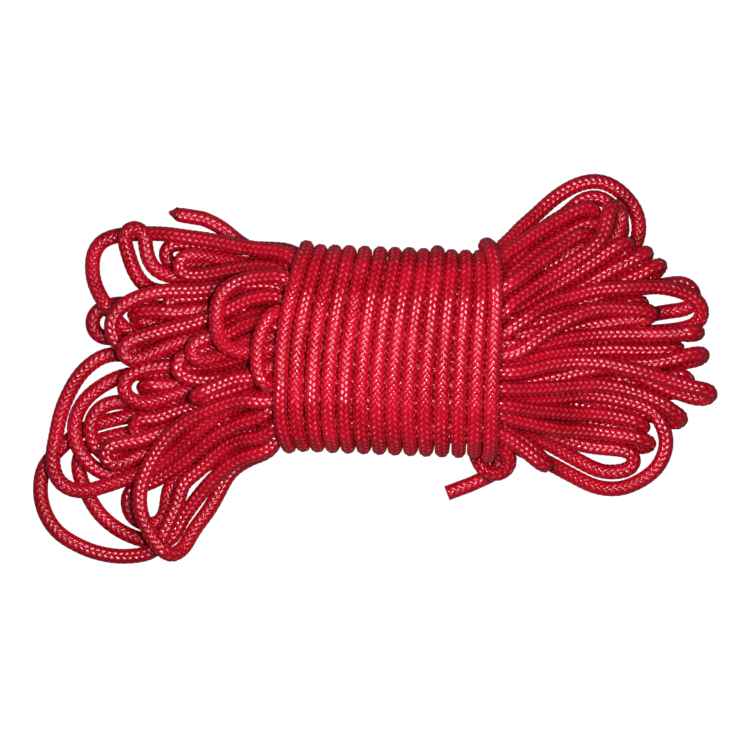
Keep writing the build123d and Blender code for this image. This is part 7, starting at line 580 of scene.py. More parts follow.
    "start_turn": (6, 5, 14, 5, """
-38.55,27.23,49.03 -40.95,27.46,49.43 -43.23,27.84,50.31 -45.44,28.18,51.53 -47.61,28.18,52.8
-49.65,27.59,53.95 -51.49,26.39,54.86 -53.05,24.66,55.41 -54.35,22.59,55.64 -55.43,20.34,55.71
-56.3,17.96,55.77 -57.01,15.53,55.84 -57.53,13.04,55.94 -57.88,10.53,56.04 -58.08,8.01,56.17
-58.14,5.5,56.31 -58.07,3,56.47 -57.86,0.54,56.64 -57.47,-1.9,56.74 -56.77,-4.21,56.61
-55.62,-6.24,56.03 -53.97,-7.54,55.01 -51.98,-7.79,53.74 -49.91,-7.14,52.33 -47.91,-6.29,50.86
-45.83,-5.76,49.66 -43.53,-5.64,49.07"""),
}
RIGHT_LENGTHS = {
    "right_bight_01": (0, 3, 5, 0, """
54.16,48.48,34.56 56.27,49.17,34.1 57.83,50.8,33.05 58.94,52.98,31.61 59.94,55.2,30.05
61.06,57.28,28.46 62.38,59.23,26.83 63.88,61.01,25.19 65.52,62.65,23.55 67.23,64.25,21.94
68.92,65.92,20.39 70.58,67.69,18.89 72.27,69.45,17.46 74.05,71.17,16.09 75.9,72.86,14.79
77.8,74.55,13.57 79.74,76.25,12.45 81.68,78,11.43 83.61,79.8,10.49 85.56,81.61,9.62
87.55,83.39,8.83 89.63,85.12,8.11 91.78,86.77,7.46 94.01,88.33,6.87 96.32,89.78,6.34
98.71,91.11,5.87 101.19,92.25,5.44 103.75,93.19,5.06 106.39,93.89,4.74 109.07,94.27,4.46
111.78,94.28,4.25 114.45,93.88,4.09 117.03,93.08,3.97 119.48,91.94,3.88 121.76,90.5,3.81
123.88,88.81,3.77 125.83,86.92,3.74 127.63,84.89,3.72 129.25,82.75,3.71 130.63,80.44,3.7
131.7,77.98,3.69 132.45,75.42,3.69 132.85,72.78,3.68 132.91,70.14,3.68 132.6,67.53,3.68
131.95,65,3.68 130.96,62.58,3.68 129.66,60.31,3.68 128.05,58.24,3.68 126.17,56.42,3.68
124.06,54.84,3.68 121.81,53.45,3.68 119.47,52.2,3.68 117.07,51.08,3.68 114.66,50.01,3.69
112.23,48.98,3.72 109.81,47.98,3.77 107.39,47.01,3.83 104.97,46.03,3.9 102.57,45.08,3.98
100.17,44.1,4.09 97.78,43.15,4.21 95.41,42.19,4.34 93.03,41.24,4.5 90.66,40.34,4.68
88.27,39.51,4.89 85.87,38.73,5.12 83.48,38.02,5.41 81.08,37.34,5.76 78.69,36.7,6.17
76.32,36.05,6.61 73.95,35.41,7.08 71.6,34.73,7.59 69.28,33.99,8.14 67.01,33.16,8.75
64.85,32.17,9.48 62.82,31.02,10.32 60.82,29.82,11.25 58.77,28.75,12.15 56.57,28.02,12.83
54.2,27.77,13.16"""),
    "right_bight_02": (2, 3, 4, 1, """
54.23,40.09,34.64 56.73,40.2,34.55 59.13,40.73,34.23 61.26,41.88,33.58 62.95,43.56,32.61
64.23,45.58,31.46 65.26,47.72,30.24 66.28,49.87,29.02 67.43,51.94,27.81 68.78,53.87,26.62
70.31,55.65,25.44 71.95,57.33,24.28 73.58,59.01,23.15 75.17,60.72,22.04 76.71,62.45,20.92
78.24,64.16,19.79 79.82,65.78,18.66 81.45,67.34,17.53 83.11,68.84,16.43 84.8,70.31,15.35
86.53,71.7,14.31 88.33,73.02,13.31 90.2,74.22,12.36 92.12,75.38,11.45 94.03,76.56,10.58
95.87,77.86,9.76 97.63,79.31,9.02 99.36,80.86,8.36 101.13,82.38,7.8 103.02,83.77,7.3
105.06,84.92,6.86 107.25,85.72,6.46 109.55,86.12,6.09 111.87,86.03,5.71 114.1,85.42,5.34
116.18,84.36,4.98 118.05,82.94,4.66 119.71,81.28,4.39 121.17,79.42,4.17 122.43,77.42,4
123.48,75.31,3.88 124.22,73.08,3.79 124.52,70.75,3.75 124.26,68.44,3.72 123.47,66.23,3.72
122.21,64.25,3.73 120.57,62.58,3.75 118.65,61.16,3.78 116.57,59.98,3.82 114.42,58.92,3.87
112.24,57.92,3.96 110.04,56.97,4.08 107.82,56.03,4.22 105.6,55.12,4.38 103.38,54.23,4.56
101.15,53.34,4.76 98.92,52.45,4.99 96.71,51.56,5.25 94.5,50.66,5.54 92.29,49.77,5.87
90.08,48.91,6.25 87.87,48.08,6.68 85.65,47.27,7.17 83.45,46.49,7.72 81.26,45.72,8.33
79.1,44.92,9 76.96,44.12,9.75 74.87,43.27,10.57 72.82,42.38,11.45 70.84,41.42,12.4
68.92,40.38,13.4 67.12,39.19,14.43 65.46,37.83,15.49 63.94,36.3,16.58 62.47,34.74,17.68
60.85,33.35,18.73 58.91,32.38,19.59 56.66,31.93,20.13 54.22,31.84,20.33"""),
    "right_bight_03": (1, 4, 1, 2, """
54.18,44.34,41.85 56.4,45.01,42.03 58.21,46.6,42.2 59.65,48.8,41.94 60.93,51.08,41.1
62.23,53.2,39.87 63.67,55.12,38.5 65.3,56.85,37.1 67.13,58.38,35.7 69.08,59.74,34.32
71.06,61.09,32.96 73.03,62.48,31.62 74.98,63.91,30.32 76.95,65.33,29.05 78.95,66.7,27.81
81,68.05,26.61 83.06,69.36,25.42 85.14,70.66,24.26 87.23,71.92,23.11 89.33,73.19,21.97
91.45,74.42,20.87 93.6,75.61,19.8 95.78,76.78,18.79 97.98,77.88,17.81 100.23,78.89,16.86
102.5,79.75,15.91 104.8,80.41,14.92 107.01,80.64,13.77 108.87,80.28,12.32 110.03,79.27,10.57
110.25,77.75,8.79 109.49,76.08,7.35 107.89,74.56,6.5 105.77,73.34,6.17 103.44,72.34,6.15
101.07,71.39,6.28 98.69,70.44,6.49 96.32,69.47,6.77 93.95,68.53,7.13 91.58,67.58,7.58
89.23,66.62,8.09 86.89,65.64,8.67 84.57,64.66,9.32 82.26,63.67,10.05 79.97,62.72,10.86
77.7,61.78,11.77 75.45,60.88,12.77 73.25,59.95,13.88 71.11,58.98,15.07 69.03,57.92,16.34
67.03,56.77,17.65 65.11,55.51,18.99 63.34,54.05,20.37 61.75,52.41,21.77 60.4,50.56,23.19
59.21,48.53,24.62 57.95,46.52,25.97 56.31,44.99,26.96 54.16,44.34,27.42"""),
    "right_bight_04": (3, 4, 2, 1, """
54.24,35.98,41.79 56.77,36.08,41.77 59.26,36.65,41.74 61.56,37.87,41.65 63.49,39.72,41.41
65.07,41.91,40.91 66.44,44.13,40.07 67.83,46.2,38.91 69.38,47.98,37.53 71.05,49.52,36.03
72.79,50.95,34.5 74.54,52.35,32.98 76.29,53.78,31.49 78.05,55.22,30.03 79.83,56.63,28.61
81.65,58.02,27.24 83.52,59.37,25.91 85.46,60.65,24.64 87.44,61.87,23.42 89.47,63.06,22.27
91.52,64.27,21.19 93.58,65.48,20.18 95.66,66.72,19.25 97.73,68,18.39 99.82,69.28,17.6
101.95,70.48,16.9 104.17,71.5,16.3 106.5,72.2,15.8 108.85,72.41,15.25 111.01,72.03,14.36
112.62,71.14,12.97 113.43,69.86,11.19 113.32,68.44,9.34 112.29,67.11,7.75 110.57,66,6.61
108.48,65.06,5.96 106.24,64.17,5.67 103.95,63.27,5.57 101.63,62.35,5.57 99.31,61.45,5.66
96.98,60.53,5.82 94.66,59.62,6.05 92.34,58.72,6.36 90.01,57.83,6.74 87.69,56.97,7.19
85.36,56.13,7.7 83.02,55.34,8.26 80.69,54.56,8.88 78.37,53.77,9.55 76.06,52.98,10.27
73.77,52.17,11.04 71.51,51.34,11.88 69.29,50.45,12.76 67.12,49.45,13.69 65.04,48.31,14.65
63.1,46.99,15.66 61.35,45.47,16.74 59.79,43.76,17.89 58.23,42.05,19.02 56.4,40.74,19.89
54.18,40.2,20.29"""),
    "right_bight_05": (4, 5, 3, 2, """
54.19,31.95,48.99 56.44,32.55,49.19 58.37,33.95,49.53 60.06,35.87,49.83 61.78,37.83,49.9
63.68,39.62,49.71 65.78,41.22,49.28 67.95,42.59,48.57 70.06,43.85,47.51 72.01,45.12,46.16
73.84,46.45,44.68 75.6,47.83,43.18 77.38,49.2,41.68 79.17,50.53,40.21 80.98,51.88,38.77
82.79,53.24,37.36 84.6,54.63,36 86.42,56.03,34.68 88.27,57.41,33.41 90.16,58.78,32.2
92.07,60.13,31.04 94.01,61.48,29.94 95.97,62.8,28.89 97.96,64.11,27.91 99.98,65.33,26.97
102.04,66.36,26.02 104.08,66.97,24.9 105.88,66.94,23.44 107.17,66.33,21.61 107.69,65.36,19.56
107.29,64.31,17.53 106.08,63.26,15.85 104.35,62.16,14.74 102.37,60.98,14.16 100.3,59.77,13.92
98.2,58.56,13.86 96.09,57.35,13.92 93.98,56.16,14.09 91.87,54.97,14.38 89.75,53.83,14.78
87.62,52.73,15.28 85.46,51.73,15.86 83.29,50.78,16.51 81.12,49.9,17.22 78.95,49.01,17.99
76.79,48.12,18.81 74.66,47.2,19.67 72.57,46.2,20.57 70.52,45.13,21.51 68.53,43.95,22.47
66.64,42.6,23.45 64.88,41.08,24.45 63.17,39.41,25.48 61.31,37.84,26.41 59.14,36.66,27.06
56.73,36.09,27.39 54.23,35.98,27.5"""),
    "right_bight_06": (6, 5, 4, 3, """
54.23,23.59,48.96 56.71,23.7,49.05 59.12,24.2,49.21 61.34,25.32,49.32 63.32,26.95,49.26
65.08,28.86,48.93 66.76,30.75,48.3 68.51,32.44,47.4 70.34,33.91,46.34 72.22,35.27,45.22
74.1,36.62,44.09 75.98,37.98,42.95 77.86,39.34,41.82 79.77,40.69,40.71 81.71,42.01,39.64
83.67,43.3,38.6 85.66,44.59,37.59 87.67,45.88,36.63 89.71,47.15,35.72 91.75,48.42,34.86
93.81,49.72,34.05 95.86,51.03,33.29 97.91,52.38,32.57 99.96,53.74,31.87 102,55.12,31.2
104.02,56.53,30.55 106.01,58.01,29.93 107.95,59.55,29.34 109.79,61.19,28.76 111.47,62.98,28.17
112.91,64.92,27.51 114.04,67,26.75 114.92,69.2,25.95 115.59,71.48,25.17 116.1,73.8,24.42
116.53,76.08,23.66 117.07,78.25,22.76 117.92,80.06,21.53 119.18,81.22,19.95 120.72,81.42,18.21
122.23,80.64,16.59 123.34,79,15.36 123.82,76.81,14.59 123.71,74.44,14.18 123.19,72.03,13.95
122.38,69.69,13.81 121.32,67.42,13.75 120.05,65.27,13.78 118.57,63.26,13.91 116.89,61.4,14.11
115.07,59.7,14.38 113.13,58.12,14.73 111.1,56.7,15.15 108.97,55.44,15.64 106.77,54.31,16.19
104.53,53.28,16.8 102.27,52.33,17.45 99.99,51.41,18.14 97.7,50.53,18.88 95.42,49.66,19.66
93.14,48.78,20.44 90.89,47.85,21.22 88.67,46.87,22.02 86.49,45.8,22.86 84.35,44.66,23.73
82.26,43.48,24.64 80.21,42.27,25.59 78.17,41.02,26.58 76.15,39.8,27.6 74.14,38.59,28.67
72.11,37.45,29.78 70.06,36.33,30.87 67.97,35.24,31.88 65.83,34.23,32.76 63.65,33.31,33.48
61.41,32.59,34.02 59.09,32.09,34.38 56.68,31.88,34.58 54.22,31.84,34.64"""),
    "right_bight_07": (5, 4, 6, 1, """
54.23,27.71,41.79 56.72,27.75,41.74 59.2,27.96,41.59 61.67,28.29,41.29 64.12,28.7,40.78
66.52,29.27,40.08 68.85,29.98,39.22 71.09,30.88,38.29 73.26,31.89,37.33 75.36,33.02,36.33
77.39,34.23,35.31 79.39,35.45,34.28 81.38,36.7,33.26 83.4,37.95,32.27 85.46,39.16,31.33
87.56,40.33,30.44 89.7,41.48,29.6 91.86,42.66,28.82 94.01,43.88,28.09 96.15,45.13,27.41
98.3,46.42,26.77 100.46,47.72,26.18 102.63,48.98,25.61 104.8,50.27,25.07 106.95,51.6,24.55
109.06,53.01,24.05 111.14,54.48,23.58 113.19,55.98,23.14 115.25,57.48,22.72 117.35,58.95,22.33
119.48,60.35,21.92 121.67,61.63,21.38 123.83,62.59,20.45 125.69,62.9,18.95 126.87,62.38,17.01
127.23,61.13,15.03 126.79,59.41,13.51 125.67,57.59,12.65 124.03,55.94,12.3 122.12,54.47,12.26
120.13,53.09,12.34 118.09,51.73,12.49 116.03,50.41,12.68 113.91,49.15,12.95 111.74,47.98,13.28
109.53,46.9,13.69 107.28,45.91,14.19 105.02,44.97,14.76 102.76,44.08,15.42 100.5,43.2,16.16
98.25,42.34,16.98 96.02,41.45,17.85 93.81,40.49,18.73 91.62,39.44,19.59 89.46,38.24,20.36
87.34,36.91,20.99 85.27,35.42,21.47 83.22,33.85,21.82 81.17,32.24,22.07 79.08,30.66,22.24
76.92,29.18,22.29 74.67,27.82,22.11 72.35,26.68,21.55 69.96,25.79,20.71 67.45,25.18,19.98
64.8,24.71,19.66 62.1,24.29,19.75 59.41,23.89,20.03 56.79,23.64,20.25 54.24,23.59,20.35"""),
    "right_bight_08": (6, 3, 8, 1, """
54.22,23.57,34.64 56.68,23.55,34.55 59.09,23.61,34.32 61.47,23.75,33.95 63.82,23.93,33.5
66.18,24.18,33.01 68.55,24.52,32.52 70.91,24.98,32.03 73.24,25.59,31.56 75.52,26.34,31.1
77.77,27.18,30.67 80,28.09,30.25 82.21,29.05,29.82 84.4,30.02,29.36 86.56,31.04,28.83
88.69,32.06,28.21 90.79,33.13,27.52 92.85,34.24,26.78 94.89,35.4,26.05 96.93,36.58,25.34
98.97,37.78,24.67 101.01,39.02,24.05 103.07,40.26,23.47 105.14,41.51,22.93 107.22,42.74,22.44
109.32,43.99,21.99 111.43,45.24,21.6 113.54,46.52,21.25 115.66,47.78,20.94 117.8,49.03,20.67
119.98,50.23,20.42 122.19,51.38,20.2 124.43,52.48,19.99 126.69,53.55,19.79 128.94,54.6,19.56
131.13,55.74,19.17 133.16,56.92,18.37 134.88,57.88,16.93 136.03,58.22,14.9 136.43,57.72,12.66
136.12,56.51,10.66 135.19,54.91,9.24 133.78,53.2,8.38 132.08,51.55,7.83 130.24,49.95,7.35
128.3,48.44,6.87 126.28,47.02,6.39 124.18,45.7,5.9 122.02,44.49,5.39 119.81,43.35,4.91
117.54,42.28,4.5 115.24,41.27,4.18 112.91,40.3,3.96 110.56,39.34,3.84 108.21,38.4,3.78
105.85,37.45,3.78 103.48,36.51,3.82 101.12,35.53,3.9 98.76,34.55,4.04 96.43,33.52,4.28
94.13,32.45,4.7 91.87,31.41,5.33 89.63,30.45,6.21 87.45,29.59,7.32 85.32,28.86,8.66
83.28,28.21,10.2 81.33,27.54,11.86 79.5,26.5,13.46 77.85,24.91,14.76 76.32,22.86,15.71
74.65,20.75,16.44 72.61,18.98,17.1 70.17,17.77,17.71 67.49,17.02,18.25 64.75,16.48,18.76
62.04,15.98,19.31 59.39,15.56,19.84 56.79,15.36,20.2 54.24,15.34,20.34"""),
    "right_bight_09": (8, 3, 9, 0, """
54.22,15.32,34.64 56.67,15.28,34.58 59.09,15.28,34.44 61.47,15.32,34.26 63.85,15.45,34.07
66.22,15.7,33.92 68.57,16.07,33.78 70.93,16.48,33.62 73.28,16.91,33.37 75.61,17.36,32.97
77.89,17.89,32.42 80.13,18.5,31.73 82.28,19.23,30.91 84.29,20.11,29.93 86.17,21.12,28.83
87.99,22.23,27.68 89.79,23.36,26.57 91.63,24.52,25.51 93.48,25.7,24.53 95.37,26.89,23.63
97.3,28.11,22.82 99.28,29.3,22.11 101.3,30.48,21.49 103.35,31.68,20.97 105.43,32.85,20.54
107.54,34.03,20.24 109.68,35.19,20.08 111.85,36.31,20.03 114.01,37.45,20 116.16,38.65,19.93
118.29,39.88,19.75 120.4,41.13,19.47 122.51,42.38,19.13 124.65,43.55,18.76 126.83,44.66,18.37
129.04,45.7,17.95 131.26,46.72,17.52 133.46,47.77,17.07 135.64,48.85,16.62 137.8,49.97,16.09
139.9,50.98,15.25 141.75,51.72,13.83 142.98,51.91,11.84 143.34,51.41,9.59 142.85,50.34,7.54
141.68,48.98,6.03 140.06,47.55,5.09 138.22,46.09,4.51 136.3,44.62,4.11 134.33,43.12,3.86
132.33,41.62,3.73 130.27,40.16,3.69 128.17,38.77,3.68 126.01,37.42,3.68 123.79,36.19,3.68
121.51,35.05,3.68 119.18,33.98,3.68 116.83,32.98,3.68 114.46,32.02,3.68 112.08,31.05,3.68
109.69,30.09,3.68 107.3,29.14,3.68 104.92,28.16,3.68 102.54,27.16,3.68 100.17,26.11,3.68
97.84,25,3.68 95.55,23.77,3.68 93.32,22.43,3.68 91.17,20.95,3.68 89.1,19.36,3.68
87.08,17.68,3.68 85.01,16.09,3.69 82.79,14.74,3.77 80.43,13.77,4.05 78.02,13.14,4.71
75.66,12.84,5.75 73.41,12.73,7.08 71.22,12.73,8.52 69,12.73,9.88 66.64,12.62,10.88
64.14,12.34,11.43 61.62,11.93,11.81 59.14,11.52,12.33 56.69,11.27,12.87 54.22,11.21,13.16"""),
    "right_bight_10": (5, 2, 7, 0, """
54.23,27.71,27.5 56.7,27.75,27.42 59.11,28,27.18 61.42,28.59,26.75 63.59,29.55,26.09
65.57,30.91,25.17 67.39,32.45,23.97 69.14,33.8,22.51 70.94,34.76,20.84 72.82,35.31,19.12
74.85,35.62,17.49 77.03,35.77,16.09 79.36,35.81,14.94 81.8,35.8,14.06 84.31,35.74,13.41
86.85,35.65,12.97 89.39,35.51,12.69 91.94,35.38,12.51 94.47,35.37,12.37 97,35.48,12.27
99.5,35.76,12.18 101.98,36.15,12.11 104.46,36.59,12.04 106.93,37.03,11.98 109.41,37.44,11.92
111.9,37.77,11.85 114.39,38.06,11.78 116.88,38.34,11.73 119.37,38.63,11.68 121.85,38.97,11.66
124.33,39.31,11.7 126.81,39.66,11.79 129.3,40.01,11.84 131.79,40.3,11.8 134.29,40.58,11.63
136.78,40.84,11.33 139.25,41.13,10.91 141.69,41.49,10.39 144.13,41.88,9.83 146.56,42.3,9.25
149,42.67,8.68 151.43,42.94,8.12 153.83,42.91,7.57 156.1,42.34,7.02 158.08,41.17,6.48
159.6,39.47,5.94 160.46,37.34,5.43 160.49,35.06,4.99 159.61,32.92,4.68 157.97,31.25,4.49
155.82,30.2,4.36 153.45,29.61,4.28 151,29.25,4.23 148.54,28.93,4.2 146.1,28.57,4.19
143.67,28.16,4.2 141.25,27.7,4.24 138.84,27.2,4.3 136.43,26.7,4.39 134.01,26.27,4.5
131.58,25.91,4.64 129.13,25.59,4.81 126.69,25.25,5.01 124.25,24.89,5.25 121.82,24.48,5.54
119.39,24.05,5.86 116.97,23.57,6.21 114.56,23.07,6.59 112.15,22.55,7.02 109.75,22,7.49
107.35,21.46,8 104.95,20.93,8.56 102.54,20.41,9.16 100.12,19.93,9.77 97.67,19.5,10.37
95.2,19.14,10.95 92.68,18.91,11.42 90.13,18.88,11.7 87.54,19.04,11.67 84.99,19.3,11.26
82.53,19.62,10.41 80.11,19.98,9.34 77.61,20.36,8.51 75,20.75,8.33 72.4,21.11,8.91
69.85,21.36,9.95 67.26,21.34,10.95 64.6,21,11.61 61.92,20.43,12.06 59.29,19.89,12.52
56.74,19.55,12.95 54.23,19.48,13.17"""),
    "right_bight_11": (8, 5, 10, 1, """
54.23,15.35,48.95 56.7,15.38,48.94 59.14,15.62,48.93 61.52,16.18,48.9 63.82,17.11,48.86
65.99,18.39,48.8 68.03,19.91,48.66 70.04,21.43,48.38 72.1,22.84,47.96 74.17,24.18,47.41
76.17,25.55,46.73 78.09,27,45.89 79.94,28.39,44.85 81.79,29.66,43.66 83.67,30.8,42.39
85.6,31.82,41.08 87.58,32.74,39.8 89.62,33.6,38.57 91.72,34.38,37.4 93.87,35.08,36.3
96.09,35.67,35.26 98.34,36.22,34.29 100.62,36.76,33.39 102.92,37.34,32.55 105.22,37.95,31.78
107.55,38.58,31.06 109.91,39.12,30.4 112.31,39.55,29.78 114.73,39.84,29.19 117.17,40.05,28.64
119.61,40.2,28.1 122.05,40.34,27.53 124.47,40.48,26.89 126.86,40.63,26.14 129.23,40.81,25.3
131.58,40.97,24.41 133.92,41.05,23.51 136.27,41.09,22.6 138.62,41.09,21.7 140.96,41.03,20.82
143.31,40.9,19.95 145.64,40.63,19.1 147.96,40.24,18.26 150.25,39.74,17.45 152.52,39.12,16.65
154.74,38.37,15.88 156.89,37.44,15.12 158.91,36.28,14.37 160.75,34.91,13.62 162.33,33.3,12.81
163.5,31.48,11.89 164.13,29.48,10.84 164.17,27.43,9.71 163.6,25.46,8.56 162.46,23.75,7.47
160.82,22.39,6.49 158.83,21.39,5.67 156.62,20.66,5.07 154.28,20.11,4.67 151.88,19.68,4.4
149.45,19.36,4.21 147,19.09,4.08 144.54,18.86,3.98 142.08,18.66,3.9 139.61,18.45,3.84
137.15,18.21,3.78 134.68,17.96,3.74 132.22,17.68,3.71 129.76,17.39,3.69 127.29,17.09,3.68
124.84,16.77,3.68 122.38,16.41,3.68 119.93,16.05,3.68 117.48,15.69,3.69 115.03,15.3,3.7
112.59,14.89,3.73 110.15,14.47,3.77 107.71,14.02,3.82 105.29,13.53,3.89 102.88,12.99,3.98
100.48,12.43,4.1 98.1,11.79,4.24 95.75,11.1,4.43 93.43,10.31,4.66 91.16,9.45,4.96
88.92,8.52,5.33 86.69,7.62,5.81 84.45,6.87,6.42 82.19,6.25,7.15 79.93,5.78,7.96
77.69,5.42,8.88 75.47,5.21,9.88 73.28,5.08,10.95 71.11,5.03,12.08 68.99,5.04,13.26
66.92,5.18,14.49 64.92,5.49,15.78 62.97,5.89,17.11 61,6.29,18.4 58.91,6.63,19.46
56.64,6.88,20.1 54.22,7.05,20.33"""),
    "right_bight_12": (7, 4, 7, 2, """
54.23,19.46,41.79 56.71,19.5,41.75 59.18,19.7,41.61 61.66,20,41.37 64.18,20.38,41.02
66.73,20.84,40.61 69.28,21.39,40.18 71.8,22.02,39.74 74.31,22.64,39.25 76.82,23.21,38.71
79.31,23.73,38.12 81.77,24.27,37.46 84.19,24.82,36.71 86.58,25.39,35.89 88.94,25.95,34.99
91.28,26.5,34.06 93.63,27.02,33.12 95.99,27.45,32.19 98.35,27.84,31.25 100.71,28.18,30.32
103.07,28.57,29.41 105.42,28.98,28.51 107.78,29.39,27.64 110.15,29.77,26.8 112.53,30.18,25.96
114.89,30.59,25.15 117.25,31.07,24.38 119.62,31.57,23.66 122.01,32.05,23.01 124.41,32.52,22.43
126.83,32.95,21.91 129.24,33.3,21.3 131.49,33.45,20.3 133.17,33.3,18.66 133.92,32.84,16.49
133.56,32.16,14.25 132.15,31.54,12.49 129.98,31.12,11.5 127.49,30.93,11.15 124.97,30.79,11.13
122.48,30.59,11.24 119.99,30.34,11.39 117.52,30.04,11.57 115.06,29.7,11.78 112.61,29.3,12.02
110.16,28.89,12.3 107.72,28.45,12.61 105.29,28.02,12.96 102.86,27.61,13.35 100.44,27.2,13.79
98.03,26.8,14.29 95.64,26.41,14.92 93.31,25.96,15.7 91.06,25.41,16.63 88.88,24.7,17.69
86.77,23.88,18.82 84.71,23,20.03 82.68,22.14,21.31 80.63,21.32,22.56 78.48,20.57,23.66
76.19,19.91,24.53 73.79,19.45,25.2 71.32,19.27,25.71 68.83,19.2,26.09 66.35,19.18,26.4
63.92,19.2,26.69 61.51,19.27,26.97 59.11,19.34,27.23 56.69,19.39,27.41 54.22,19.45,27.5"""),
    "right_bight_13": (10, 5, 10, 3, """
54.22,7.05,48.94 56.7,6.92,48.92 59.15,6.72,48.87 61.6,6.58,48.79 64.09,6.62,48.69
66.56,6.97,48.57 68.99,7.66,48.44 71.34,8.57,48.28 73.59,9.71,48.06 75.71,11.02,47.69
77.72,12.46,47.14 79.64,13.95,46.44 81.56,15.45,45.68 83.49,16.91,44.91 85.46,18.32,44.15
87.47,19.68,43.41 89.53,20.98,42.69 91.63,22.21,41.99 93.78,23.39,41.32 95.97,24.5,40.64
98.17,25.55,39.93 100.39,26.54,39.17 102.62,27.45,38.35 104.86,28.27,37.5 107.14,28.96,36.63
109.44,29.52,35.77 111.79,29.93,34.93 114.16,30.18,34.1 116.54,30.29,33.27 118.93,30.3,32.45
121.32,30.25,31.65 123.72,30.16,30.88 126.12,30.02,30.14 128.51,29.86,29.41 130.88,29.7,28.66
133.23,29.55,27.84 135.45,29.3,26.79 137.24,28.79,25.35 138.28,27.93,23.46 138.35,26.86,21.37
137.42,25.84,19.5 135.62,25.07,18.14 133.35,24.61,17.33 130.93,24.34,16.89 128.49,24.12,16.62
126.06,23.89,16.44 123.63,23.64,16.31 121.2,23.38,16.26 118.78,23.09,16.27 116.37,22.77,16.35
113.97,22.39,16.49 111.59,21.98,16.7 109.22,21.52,16.97 106.88,21,17.3 104.56,20.43,17.69
102.27,19.82,18.15 100.01,19.16,18.68 97.77,18.5,19.28 95.56,17.8,19.94 93.37,17.09,20.66
91.2,16.36,21.45 89.06,15.63,22.29 86.94,14.88,23.19 84.84,14.12,24.11 82.76,13.32,25.06
80.7,12.51,26.02 78.64,11.68,26.99 76.57,10.86,27.96 74.51,10.04,28.93 72.42,9.28,29.87
70.3,8.55,30.78 68.16,7.91,31.66 65.97,7.41,32.51 63.73,7.12,33.26 61.43,7,33.86
59.07,7,34.28 56.67,7.01,34.54 54.22,7.08,34.64"""),
    "right_bight_14": (9, 4, 9, 2, """
54.22,11.21,41.8 56.69,11.23,41.79 59.12,11.41,41.77 61.53,11.7,41.71 63.97,11.94,41.59
66.46,12.02,41.34 68.97,11.91,40.92 71.47,11.74,40.36 73.97,11.64,39.73 76.45,11.71,39.04
78.89,11.89,38.27 81.27,12.18,37.37 83.57,12.52,36.35 85.84,12.89,35.25 88.06,13.34,34.08
90.27,13.84,32.88 92.47,14.36,31.69 94.69,14.85,30.53 96.94,15.28,29.43 99.22,15.64,28.39
101.53,15.96,27.43 103.86,16.25,26.53 106.22,16.48,25.72 108.61,16.68,24.98 111.01,16.86,24.31
113.43,17,23.71 115.86,17.11,23.19 118.3,17.2,22.73 120.75,17.27,22.34 123.21,17.3,22.01
125.68,17.32,21.74 128.14,17.32,21.53 130.61,17.32,21.38 133.09,17.32,21.29 135.56,17.32,21.24
138.03,17.34,21.24 140.5,17.39,21.29 142.97,17.41,21.39 145.44,17.48,21.53 147.9,17.55,21.72
150.36,17.7,21.95 152.81,17.91,22.2 155.28,18.18,22.34 157.75,18.46,22.12 159.99,18.61,21.19
161.52,18.52,19.42 161.98,18.14,17.12 161.27,17.66,14.92 159.53,17.27,13.39 157.2,17.18,12.67
154.69,17.34,12.45 152.18,17.52,12.39 149.67,17.55,12.31 147.16,17.43,12.2 144.66,17.21,12.11
142.17,16.98,12.02 139.67,16.7,11.95 137.19,16.43,11.9 134.7,16.16,11.86 132.21,15.88,11.84
129.73,15.62,11.83 127.25,15.32,11.84 124.77,15.04,11.88 122.3,14.72,11.94 119.83,14.43,12.03
117.37,14.12,12.13 114.9,13.8,12.25 112.45,13.49,12.39 109.99,13.19,12.56 107.54,12.87,12.75
105.1,12.55,12.98 102.67,12.26,13.23 100.24,11.96,13.52 97.82,11.68,13.85 95.41,11.4,14.23
93,11.16,14.64 90.61,10.98,15.09 88.22,10.82,15.59 85.85,10.69,16.15 83.5,10.56,16.78
81.17,10.45,17.48 78.86,10.34,18.26 76.59,10.23,19.11 74.34,10.14,20.04 72.11,10.06,21.02
69.91,10.05,22.04 67.74,10.16,23.11 65.61,10.38,24.23 63.5,10.64,25.35 61.33,10.88,26.32
59.06,11.04,27 56.67,11.12,27.36 54.22,11.2,27.49"""),
